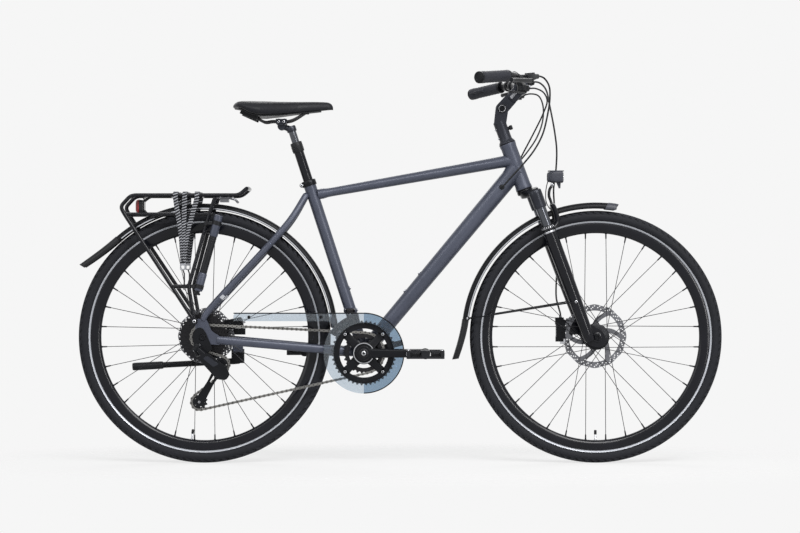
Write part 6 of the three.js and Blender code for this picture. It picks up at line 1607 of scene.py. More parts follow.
@dataclass
class Mudguard:
    """One mudguard with its foil edge, flap and stays, in millimetres."""

    place: str
    body: str
    axle: Vector
    radius: float
    ahead: float
    behind: float
    flap_end: float
    foil_from: float

    def build(self) -> None:
        """Builds the guard and its trim."""
        self._shell()
        self._foil()
        self._flap()
        self._clip()
        if self.place == "front":
            self._stays()

    def _at(self, angle: float, side: float, radius: float) -> Vector:
        """A point at an angle from straight up, ahead counting as positive."""
        turn = radians(angle)
        return self.axle + xyz(radius * sin(turn), side, radius * cos(turn))

    def _shell(self) -> None:
        """The guard's arched shell."""
        shape, rings = Shape(), []
        run = -self.behind - self.ahead
        count = max(8, int(abs(run) / 2.5))
        half = [(-24, -15), (-23.4, -9), (-20.5, -3.5), (-16.8, -0.6), (-9, 0.0)]
        outer = half + [(0, 0.2)] + mirrored(half)
        inner = [(y * 0.92, d - 1.8) for y, d in reversed(outer)]
        for k in range(count + 1):
            angle = self.ahead + run * (k / count)
            rings.append([self._at(angle, y, self.radius + d) for y, d in outer + inner])
        shape.loft(rings)
        shape.build(f"{self.place}_mudguard_shell", self.body, [GUARD_PLASTIC], [f"{self.place}_mudguard"],
            bevel=0.3, sharp=60)

    def _foil(self) -> None:
        """The bright foil line along each lower edge."""
        shape, count = Shape(), 40
        for side in (-1, 1):
            rings = []
            for k in range(count + 1):
                angle = self.foil_from + (3 - self.behind - self.foil_from) * k / count
                rings.append([self._at(angle, side * y, self.radius + d) for y, d in ((23.5, -12.4),
                    (24.1, -12.4), (24.4, -15.2), (23.8, -15.6))])
            shape.loft(rings)
        shape.build(f"{self.place}_mudguard_foil", self.body, [FOIL])

    def _flap(self) -> None:
        """The soft flap at the rear end, with its rivets."""
        shape, rings = Shape(), []
        half = [(-1, -15.5), (-0.96, -8.5), (-0.85, -3.2), (-0.66, 0.2)]
        outer = half + [(0, 1.0)] + mirrored(half)
        for share in (k / 12 for k in range(13)):
            angle = -self.behind + 1.5 + (-self.flap_end + self.behind - 1.5) * share
            away = self.radius + 30 * share ** 2 + 0.5
            wide = 25.2 * (1 - 0.22 * max(0.0, share - 0.75) ** 1.2 / 0.25 ** 1.2)
            rings.append([self._at(angle, y * wide, away + d) for y, d in outer]
                + [self._at(angle, y * wide * 0.94, away + d - 1.8) for y, d in reversed(outer)])
        shape.loft(rings)
        shape.paint = 1
        for y in (-12, 12):
            at = self._at(-self.behind - 1.5, y, self.radius + 0.6)
            shape.turned([(3.2, 0), (3.2, 0.8), (2.2, 1.8)], at, (at - self.axle - aside(y)).normalized(), 16)
        shape.build(f"{self.place}_mud_flap", self.body, [HOSE, STAINLESS], sharp=60)

    def _stays(self) -> None:
        """The two wire stays of the front guard, with their clips and screws."""
        shape = Shape()
        for side in (-1, 1):
            low = self._at(-82, side * 25, 364)
            high = LAYOUT.steering(21, 0, -342.2) + aside(side * 80)
            knee = low.lerp(high, 0.12) + aside(side * 9)
            shape.paint = 0
            shape.tube(smooth_path([low - aside(side * 2), knee, low.lerp(high, 0.6) + aside(side * 4), high],
                8), 2.0, 12)
            shape.block(low, (12, 4, 9), ((0.99, 0, 0.14), (0, 1, 0), (-0.14, 0, 0.99)))
            shape.paint = 1
            shape.bolt(low + aside(side * 2), (0, side, 0), 2.6, 1.6)
            shape.bolt(high + aside(side * 1.4), (0, side, 0), 4.0, 2.4)
        shape.build("front_mudguard_stays", "lowers", [ANODISED, STAINLESS], bevel=0.3, sharp=45)

    def _clip(self) -> None:
        """The end clip at the front of the guard."""
        shape, rings = Shape(), []
        half = [(-25, -16.4), (-24.2, -8), (-21, -2.6), (-17, 0.6)]
        outer = half + [(0, 1.4)] + mirrored(half)
        for step, grow in ((0.6, -0.8), (-0.4, 0.0), (-3.4, 0.0), (-3.9, -0.8)):
            angle = self.ahead + step
            rings.append([self._at(angle + d / 14, y, self.radius + d + grow) for y, d in outer]
                + [self._at(angle + d / 14, y * 0.9, self.radius + d - 2.6) for y, d in reversed(outer)])
        shape.loft(rings)
        shape.build(f"{self.place}_mudguard_clip", self.body, [GREY_ABS], bevel=0.3, sharp=50)


@dataclass
class Luggage:
    """The rack, its straps, the tail lamp and the pump, in millimetres."""

    half_width: float = 58.0
    foot_width: float = 80.0
    tube_radius: float = 5.5
    cross_radius: float = 4.6
    top_height: float = 748.0
    rail_height: float = 695.0

    def build(self) -> None:
        """Builds everything carried behind the seat."""
        self._rack()
        self._straps()
        self._tail_lamp()
        self._pump()

    def _side(self, back: float, z: float, side: int) -> Vector:
        """A point of the rack's side, back measured from the origin, spreading towards its feet."""
        share = min(1.0, max(0.0, (self.rail_height - z) / 273))
        return xyz(-back, side * (self.half_width + (self.foot_width - self.half_width) * share), z)

    def _rack(self) -> None:
        """The welded tube rack, its feet and bolts, and the bracket under its front."""
        shape = Shape()
        r = self.tube_radius
        for side in (-1, 1):
            run = [(427, 766), (448, self.top_height), (748, self.top_height), (777, 716),
                (766, self.rail_height), (569.8, 398)]
            line = self._bent([self._side(b, z, side) for b, z in run], 14)
            shape.tube(line, r, 18)
            shape.tube(self._bent([self._side(b, z, side) for b, z in ((768, self.rail_height),
                (519.5, self.rail_height))], 10), r * 0.92, 18)
            shape.tube([self._side(632, 494, side), self._side(586.2, 494, side)], r * 0.92, 18)
            shape.tube(self._bent([self._side(b, z, side) for b, z in ((514, 742.5),
                (530.5, self.rail_height), (586.2, 494), (569.8, 398))], 12), r, 18)
            foot = LAYOUT.rear_axle + xyz(-22, 0, 45)
            shape.turned([(8.2, 74.2), (8.8, 75), (8.8, 84.6), (8.0, 85.5)], (foot.x, 0, foot.z),
                (0, side, 0), 28)
            shape.paint = 1
            shape.bolt(xyz(foot.x, side * 85.2, foot.z), (0, side, 0), 5.0, 3.2)
            shape.paint = 0
        for back in (472, 556, 640, 712.5):
            shape.tube([(-back, y, self.top_height) for y in (-self.half_width, self.half_width)],
                self.cross_radius, 16)
        shape.tube([(-710.7, y, self.rail_height) for y in (-self.half_width, self.half_width)],
            self.cross_radius, 16)
        shape.tube([(-427, -self.half_width, 766), (-424, -30, 767), (-424, 30, 767), (-427, self.half_width,
            766)], r, 16)
        shape.plate(rounded([(-19, 701), (19, 701), (19, 748), (-19, 748)], 5), 2.0,
            lambda u, v, w: xyz(-716.7 + w, u, v))
        shape.build("tubular_rack", "frame", [GLOSS_BLACK, STAINLESS], ["luggage_rack"], bevel=0.4, sharp=45)
        bracket = Shape()
        bracket.plate(rounded([(470, -19.2), (514, -19.2), (514, 19.2), (470, 19.2)], 5), 2.2,
            lambda u, v, w: xyz(-u, v, 741.6 + w))
        bracket.block((-492, 0, 735), (24, 30, 11))
        for side in (-1, 1):
            bracket.tube([(-478, side * 14, 741), (-462, side * 13.5, 737), (-454, side * 13, 728)], 3.0, 12)
        for x in (-480, -504):
            for y in (-11, 11):
                bracket.bolt((x, y, 742.6), (0, 0, 1), 3.6, 2.4)
        bracket.build("rack_bracket", "frame", [DISC_STEEL], bevel=0.4)

    def _bent(self, corners: Sequence[Vector], reach: float) -> list[Vector]:
        """Rounds the bends of a tube's line.

        Args:
            corners: the line's ends and corners.
            reach: how far each bend reaches along its legs.

        Returns:
            The bent line.
        """
        line = [corners[0]]
        for before, here, after in zip(corners, corners[1:], corners[2:]):
            line += corner(before, here, after, reach, 6)
        return line + [corners[-1]]

    def _straps(self) -> None:
        """Three elastic straps with pale woven stripes, gathered in a buckle and hooked below."""
        for number, back in enumerate((624, 598, 564.2)):
            shape = Shape()
            for side in (-1, 1):
                low = xyz(-602 - (back - 598) * 0.10, side * 76.6, 556)
                line = evenly(smooth_path([low, xyz(-600 - (back - 598) * 0.38, side * 72.2, 650),
                    xyz(-back, side * 66.0, 742), xyz(-back, side * 64.4, 751), xyz(-back, side * 58, 755.6),
                    xyz(-back, 0, 755.6)], 14), 2.6)
                rings = []
                for p, q in zip(line, line[1:] + [line[-1] * 2 - line[-2]]):
                    along = (q - p).normalized()
                    wide = (xyz(1, 0, 0) - along * along.x).normalized()
                    thin = along.cross(wide)
                    half = 6.5 if p.z > 690 else 3.9 + 2.6 * (p.z - 556) / 134
                    rings.append([p + wide * (half * u) + thin * (1.4 * v) + along * (2.4 * u) for u,
                        v in ((-1, -0.5), (-0.8, -1), (0.8, -1), (1, -0.5), (1, 0.5), (0.8, 1), (-0.8, 1),
                        (-1, 0.5))])
                shape.loft(rings)
                first = len(shape.faces) - (len(rings) - 1) * 8 - 2
                for k in range((len(rings) - 1) * 8):
                    shape.paints[first + k] = 1 if (k // 8) % 3 == 0 else 0
            stands = ["luggage_straps"] if number == 0 else []
            shape.build(f"luggage_strap_{number + 1}", "frame", [WEBBING, PALE_YARN], stands, sharp=60)
        hook = Shape()
        for side in (-1, 1):
            hook.paint = 0
            loop = rounded([(-7.5, -9), (7.5, -9), (7.5, 9), (-7.5, 9)], 3)
            window = rounded([(-4.4, -6), (4.4, -6), (4.4, 3), (-4.4, 3)], 1.6)
            hook.plate(loop, 5.6, lambda u, v, w: xyz(-602 + u, side * (77.9 + w), 549 + v), [window])
            hook.paint = 1
            hook.tube([(-602, side * 77.6, 541), (-598, side * 77.4, 530), (-598, side * 75.6, 508),
                (-598, side * 78.6, 500.6), (-598, side * 84.0, 496.6), (-598, side * 86.4, 490),
                (-598, side * 84.0, 486)], 2.0, 12)
        hook.build("strap_buckles_and_hooks", "frame", [PALE_YARN, DARK_STEEL], bevel=0.6, sharp=50)

    def _tail_lamp(self) -> None:
        """The tail lamp: a black housing, a ribbed red lens and its wire bracket."""
        shape, z = Shape(), 717.5

        def ring(back: float, half: float, tall: float) -> list[Vector]:
            """Gives one rounded section of the lamp."""
            return [xyz(-back, u, z + v) for u, v in box(half, tall, 9, 4)]
        shape.loft([ring(718.0, 31, 15.5), ring(719.5, 35, 18.0), ring(729, 37.4, 19.2)])
        shape.paint = 1
        shape.loft([ring(728.8, 37.6, 19.4), ring(731, 37.8, 19.4), ring(736, 34.5, 17.0), ring(738, 31.5,
            14.4)])
        for rib in (-9, -3, 3, 9):
            shape.tube([(-737.6, -29, z + rib), (-738.2, 0, z + rib), (-737.6, 29, z + rib)], 0.9, 8)
        shape.paint = 2
        shape.block((-717.4, 0, 741), (3, 40, 6))
        for y in (-13, 13):
            shape.tube([(-718.5, y, 731), (-706, y, 741), (-694, y, 746)], 2.6, 12)
            shape.tube([(-718.5, y, 708), (-712, y, 700), (-709, y, 697)], 2.6, 12)
        shape.build("tail_lamp", "frame", [NYLON, RED_LENS, NYLON], ["tail_light"], bevel=0.4, sharp=50)

    def _pump(self) -> None:
        """The hand pump on the right rack leg, held by two clips."""
        shape = Shape()
        top, low = (xyz(-(530.5 + 55.7 * (self.rail_height - z) / 201) + 30, -80, z) for z in (692, 472))
        along, length = (low - top).normalized(), (low - top).length
        shape.turned([(8.6, 0), (11.2, 1.2), (11.8, 4), (11.8, 58), (10.8, 61)], top, along, 32)
        shape.paint = 1
        shape.turned([(10.4, 60), (10.4, length - 62)], top, along, 32)
        for d in (66, 72, 78):
            shape.turned([(10.4, d), (10.9, d + 0.6), (10.9, d + 2.4), (10.4, d + 3)], top, along, 32)
        shape.paint = 0
        shape.turned([(10.4, length - 62), (11.8, length - 59), (11.8, length - 15), (10.6, length - 11),
            (5.5, length - 9.6)], top, along, 32)
        shape.paint = 1
        shape.turned([(5.4, length - 10), (5.4, length - 6), (8.2, length - 4), (8.4, length - 1),
            (6.8, length + 1)], top, along, 28)
        shape.build("hand_pump_body", "frame", [FRAME_PAINT, NYLON], ["hand_pump"], sharp=45)
        clip = Shape()
        for share in (0.1, 0.9):
            here = top.lerp(low, share)
            leg = xyz(here.x - 30, -64 - 8 * share, here.z)
            clip.tube([here - along * 6, here + along * 6], 12.6, 28)
            clip.tube([leg - along * 6, leg + along * 6], 7.2, 24)
            clip.block((here + leg) / 2, (24, 9, 9), ((leg - here).normalized(), (0, 1, 0), along))
        clip.build("pump_clips", "frame", [NYLON], bevel=0.5, sharp=45)


# Cockpit

@dataclass
class Cockpit:
    """Stem, bar, grips, brake and shift levers and the headlamp, in millimetres."""

    pivot: Triple = (285.0, 0.0, 991.03)
    bar_middle: Triple = (338.0, 0.0, 1050.03)
    control_middle: Triple = (315.8, 143.6, 1066.1)
    brake_pivot: Triple = (358.3, 166.6, 1057.1)
    shifter_pod: Triple = (338.3, 128.6, 1039.1)
    shift_pivot: Triple = (338.3, 128.6, 1028.8)
    bar_places: tuple[Triple, ...] = ((338, 0, 1050), (338, 45.3, 1051), (325, 109.9, 1064.1),
        (303, 190, 1069), (213, 302, 1055))

    def build(self) -> None:
        """Builds the cockpit."""
        self._stem_base()
        self._stem_arm()
        self._bar()
        for side in (-1, 1):
            self._grip(side)
            self._control(side)
            self._brake_lever(side)
            self._shift_lever(side)
        self._headlamp()

    def _stem_base(self) -> None:
        """The stem's column with its cone and the forked pivot."""
        at, shape = LAYOUT, Shape()
        up, foot = at.steering_up, at.steering(0, 0, 0)
        shape.turned([(22.6, 138.4), (23.0, 139.2), (21.4, 143.5), (18.2, 147.4), (17.7, 150), (17.7, 203)],
            foot, up)
        pivot = Vector(self.pivot)
        top = at.steering(0, 0, 196)
        along = (pivot - top).normalized()
        across = xyz(-along.z, 0, along.x)
        for side in (-1, 1):
            cheek = [(-4, -16.6)] + [((pivot - top).length + 17.5 * sin(t), -17.5 * cos(t)) for t in turns(0,
                180, 12)] + [(-4, 16.6)]
            shape.plate(cheek, 6.5, lambda u, v, w: top + along * u + across * v + aside(side * (12.2 + w)))
        shape.tube([top - up * 6, top + along * 3], 16.6, 36)
        shape.paint = 1
        for side in (-1, 1):
            shape.turned([(12.6, 0), (12.6, 1.2), (11.2, 2.0), (8.0, 2.2), (7.4, 1.2), (4.6, 1.2),
                (4.2, 0.2)], pivot + aside(side * 15.4), (0, side, 0), 36)
        shape.paint = 3
        for side in (-1, 1):
            shape.sleeve([(9.6, 2.1), (9.6, 2.7), (8.6, 2.9), (8.6, 2.1)], pivot + aside(side * 15.4),
                (0, side, 0), 36)
        shape.paint = 2
        shape.turned([(4.6, 0), (4.6, 3), (6.4, 4.5), (6.6, 11), (5.2, 13)], at.steering(16.6, 0, 176),
            at.steering_forward, 24)
        shape.build("stem_column", "steerer", [GREY_ALUMINIUM, ANODISED, NYLON, STAINLESS], ["stem_base"],
            bevel=0.7, sharp=45)
        bolts = Shape()
        for u in (158, 184):
            bolts.bolt(at.steering(-17.4, 0, u), -at.steering_forward, 3.6, 2.6)
        bolts.build("stem_column_bolts", "steerer", [STAINLESS])

    def _stem_arm(self) -> None:
        """The stem's arm with its tongue, its bar clamp and its four bolts."""
        pivot, bar = Vector(self.pivot), Vector(self.bar_middle)
        along = (bar - pivot).normalized()
        across = xyz(-along.z, 0, along.x)
        shape = Shape()
        tongue = [(40, -17)] + [(-17.8 * sin(t), -17.8 * cos(t)) for t in turns(0, 180, 12)] + [(40, 17)]
        shape.plate(tongue, 16.6, lambda u, v, w: pivot + along * u + across * v + aside(w))
        length = (bar - pivot).length
        rings = []
        for d, half, wide in ((33, 15.5, 8.5), (40, 16.4, 14.6), (48, 16.8, 16.0), (58, 16.4, 17.0),
                (length - 14, 16.0, 18.0), (length, 15.4, 19.0)):
            loop = box(half, wide, 8, 4)
            rings.append([pivot + along * d + across * u + aside(y) for u, y in loop])
        shape.loft(rings)
        shape.sleeve([(19.8, -21), (20.8, -20), (20.8, 20), (19.8, 21), (12.9, 21), (12.9, -21)], bar,
            (0, 1, 0))
        shape.paint = 1
        for side in (-1, 1):
            shape.block(bar + along * 0.4 + aside(side * 19.7), (1.4, 3.6, 43), (along, (0, 1, 0), across))
            for way in (-1, 1):
                shape.bolt(bar + along * 17.6 + across * (way * 15.5) + aside(side * 13), along, 3.8, 3.4)
        shape.paint = 2
        for side in (-1, 1):
            shape.block(pivot + along * (length * 0.62) + aside(side * 17.2) + across * 2, (23, 0.7, 8),
                (along, (0, 1, 0), across), 0.9)
        shape.build("stem_arm_and_clamp", "bars", [GREY_ALUMINIUM, STAINLESS, FOIL], ["stem_arm"], bevel=0.9,
            sharp=45)

    def _bar(self) -> None:
        """The swept trekking bar, thicker in its middle."""
        left = [Vector(p) for p in self.bar_places]
        line = [xyz(p.x, -p.y, p.z) for p in reversed(left[1:])] + left
        path = smooth_path(line, 12)
        radii = [11.1 + 1.6 * min(1.0, max(0.0, (62 - abs(p.y)) / 16)) for p in path]
        shape = Shape()
        shape.tube(path, radii, 32)
        shape.build("trekking_bar", "bars", [ANODISED], ["handlebar"])

    def _mirror(self, point: Sequence[float], side: int) -> Vector:
        """The point on the left, or its mirror image on the right."""
        return xyz(point[0], side * point[1], point[2])

    def _grip(self, side: int) -> None:
        """One ergonomic grip with ribs, a wing, a clamp ring and its end cap.

        Args:
            side: 1 for the left side, -1 for the right.
        """
        end = self._mirror(self.bar_places[-1], side)
        along = (end - self._mirror(self.bar_places[-2], side)).normalized()
        outer, up, shape = end + along * 2.7, xyz(0, 0, 1), Shape()
        stations = [(0, 15.2), (3, 16.2), (10, 16.6), (22, 16.2)]
        stations += [(22 + 6.4 * k, 15.6 + 0.5 * cos(pi * k)) for k in range(1, 15)] + [(116, 15.8),
            (124, 16.2), (126, 14.8)]
        shape.tube([outer - along * d for d, _ in stations], [r for _, r in stations], 32)
        shape.paint = 1
        for d in (130, 4.2):
            shape.sleeve([(14.4, -0.4), (16.4, 0.4), (16.4, 6.0), (14.4, 7.2), (11.4, 7.2), (11.4, -0.4)],
                outer - along * d, along, 36)
        shape.turned([(14.2, 0), (13.4, 2.2), (9.0, 3.2), (8.4, 2.4), (0.6, 2.6)], outer, along, 36)
        across, wing = along.cross(up).normalized() * side, []
        for share in (k / 8 for k in range(9)):
            reach = 16 + 7 * sin(pi * (0.25 + 0.75 * (1 - share)))
            loop = rounded([(-4, -5.5), (-4, 5.5), (-reach, 3.2), (-reach, -3.2)], 3, 2)
            wing.append([outer - along * (8 + 62 * share) + across * u + up * v for u, v in loop])
        shape.paint = 0
        shape.loft(wing)
        shape.build(f"ribbed_grip_{hand(side)}", "bars", [GRIP_RUBBER, ANODISED], [f"grip_{hand(side)}"],
            bevel=0.4, sharp=50)

    def _control(self, side: int) -> None:
        """The clamp, the brake's reservoir and the shifter's pod of one side.

        Args:
            side: 1 for the left side, -1 for the right.
        """
        shape = Shape()
        middle = self._mirror(self.control_middle, side)
        along = (self._mirror(self.bar_places[3], side) - self._mirror(self.bar_places[2], side)).normalized()
        up = xyz(0, 0, 1)
        for d in (-20, 18):
            shape.sleeve([(14.6, -7), (15.2, -6), (15.2, 6), (14.6, 7), (11.2, 7), (11.2, -7)], middle + along
                * d, along, 36)
        rear, nose = self._mirror((344.3, 159.6, 1066.1), side), self._mirror((377.3, 107.6, 1073.6), side)
        run = (nose - rear).normalized()
        wide = run.cross(up).normalized()
        high = wide.cross(run)
        rings = []
        for share, half, tall in ((-0.02, 7.6, 7.2), (0.06, 9.2, 9.0), (0.3, 9.6, 9.4), (0.62, 9.0, 9.0),
                (0.7, 7.4, 7.6), (1.0, 6.8, 6.8)):
            loop = box(half, tall, 5, 3)
            rings.append([rear.lerp(nose, share) + wide * u + high * v for u, v in loop])
        shape.loft(rings)
        shape.block(rear.lerp(nose, 0.34) + high * 9.6, (32, 15.5, 4.6), (run, wide, high), 0.92)
        shape.tube([middle, rear.lerp(nose, 0.3)], 8.6, 20, 0.9)
        pod = self._mirror(self.shifter_pod, side)
        shape.turned([(14.6, -8.4), (16.8, -7.0), (17.0, 0), (16.8, 6.4), (14.0, 8.4), (9.0, 8.8)], pod, up,
            40)
        shape.tube([middle + xyz(6, 0, -6), pod + xyz(-6, side * 2, 4)], 7.6)
        away = xyz(353.5 - self.shifter_pod[0], side * (119.7 - self.shifter_pod[1]), 0).normalized()
        shape.paint = 1
        shape.turned([(4.4, -3), (4.4, 3.4), (3.4, 4.0), (3.4, 7.0), (2.8, 7.4)], pod + away * 13, away, 16)
        shape.turned([(5.0, -2), (5.0, 4), (3.6, 5), (3.6, 9)], nose - run * 3, run, 16)
        shape.paint = 2
        shape.bolt(middle + along * -20 + xyz(13.8, 0, 5), (0.94, 0, 0.34), 3.0, 2.4)
        for way in (-1, 1):
            shape.bolt(rear.lerp(nose, 0.34) + high * 11.6 + run * (way * 12.5), high, 2.2, 1.0)
        name = hand(side)
        shape.build(f"brake_and_shift_unit_{name}", "bars", [NYLON, ANODISED, STAINLESS], [f"control_{name}"],
            bevel=0.8, sharp=45)

    def _brake_lever(self, side: int) -> None:
        """One curved brake lever with its pivot pin and hooked end.

        Args:
            side: 1 for the left side, -1 for the right.
        """
        pivot, turn, up = self._mirror(self.brake_pivot, side), radians(119), (0, 0, 1)
        along = xyz(cos(turn), side * sin(turn), -0.0547).normalized()
        across = along.cross(Vector(up)).normalized() * side
        shape, path, radii = Shape(), [], []
        for share in (k / 24 for k in range(25)):
            bow = 3.2 * sin(pi * share) * (1 - share) + (3.6 * max(0, share - 0.86) ** 2 / 0.0196)
            path.append(pivot + along * (128 * share) + across * bow * 0.6)
            radii.append(5.6 - 1.5 * share + (0.9 if share > 0.95 else 0))
        shape.tube(path, radii, 20, 1.25, up)
        shape.turned([(6.4, -4.5), (7.0, -4.0), (7.0, 4.0), (6.4, 4.5)], pivot, up, 28)
        shape.paint = 1
        shape.turned([(2.8, -5.6), (2.8, 5.6)], pivot, up, 16)
        shape.build(f"brake_blade_{hand(side)}", f"{hand(side)}_brake_lever", [ANODISED, STAINLESS],
            [f"brake_lever_{hand(side)}"], bevel=0.2, sharp=45)

    def _shift_lever(self, side: int) -> None:
        """One thumb paddle with its ribbed pad.

        Args:
            side: 1 for the left side, -1 for the right.
        """
        pod = self._mirror(self.shift_pivot, side)
        tip = pod + xyz(-36, side * 11, 0)
        run = (tip - pod).normalized()
        wide = run.cross(xyz(0, 0, 1))
        shape, rings = Shape(), []
        for share, half in ((-0.22, 6), (-0.1, 10.4), (0.15, 11), (0.5, 7.6), (0.8, 7.2), (1.0, 6.6),
                (1.12, 3.4)):
            rings.append([pod.lerp(tip, share) + wide * u + xyz(0, 0, v) for u, v in box(half, 2.5, 1.8, 2)])
        shape.loft(rings)
        shape.paint = 1
        for k in range(4):
            shape.block(tip - run * (1 + 3.4 * k) + xyz(0, 0, -2.5), (1.4, 9, 0.9), (run, wide, (0, 0, 1)))
        shape.build(f"thumb_paddle_{hand(side)}", f"{hand(side)}_shift_lever", [NYLON, GRIP_RUBBER],
            [f"shift_lever_{hand(side)}"], bevel=0.3)

    def _headlamp(self) -> None:
        """The headlamp with its cooling ribs, its lens, its wire bracket and its lead."""
        shape = Shape()
        rings = []
        for x, half, tall, drop in ((411.5, 9.5, 10.5, 2.0), (414, 13, 13.6, 1.0), (424, 15.2, 15.6, 0.4),
                (440, 16.4, 16.6, 0), (455, 17, 17.0, 0)):
            loop = box(half, tall, 8, 4)
            rings.append([xyz(x, y, 801 - drop + z) for y, z in loop])
        shape.loft(rings)
        shape.block((436, 0, 817.2), (44, 24, 2.6))
        for x in (418, 422.5, 427):
            shape.block((x, 0, 801), (1.4, 31.6, 24))
        shape.loft([[xyz(x, y, z) for x, y, z in ((436, -3, 788), (450, -3, 788), (450, 3, 788),
            (436, 3, 788))], [xyz(x, y, z) for x, y, z in ((444.5, -1.6, 768.6), (449, -1.6, 768.6),
            (449, 1.6, 768.6), (444.5, 1.6, 768.6))]])
        shape.paint = 1
        lens = [[xyz(x, y * s, 800 + z * s) for y, z in rounded([(-15, -15), (15, -15), (15, 14), (-15, 14)],
            7, 4)] for x, s in ((454.6, 1.0), (456.4, 0.97), (457.4, 0.8))]
        shape.loft(lens)
        shape.build("headlamp", "lowers", [GREY_ABS, CLEAR_LENS], ["headlight"], bevel=0.7, sharp=45)
        wire = Shape()
        wire.tube(smooth_path([(426.05, 0, 720), (421.5, 0, 734), (417, 0, 748), (419, 0, 766), (426, 0, 778),
            (428, 0, 787)], 6), 4.0, 16, 1.3, (0, 1, 0))
        wire.paint = 1
        wire.bolt((425, -5.2, 778), (0, -1, 0), 4.8, 3.0)
        wire.bolt((430.6, 0, 716), (1, 0, 0.2), 4.4, 3.2)
        wire.build("headlamp_bracket", "lowers", [NYLON, STAINLESS], bevel=0.3, sharp=45)
        lead = Shape()
        lead.tube(smooth_path([(415, 3, 792), (410, 5, 772), (408, 6, 750), (410, 7, 730), (418, 6, 714),
            (424, 5, 708)], 7), 1.3, 10)
        lead.build("headlamp_lead", "lowers", [HOSE])


# Seat

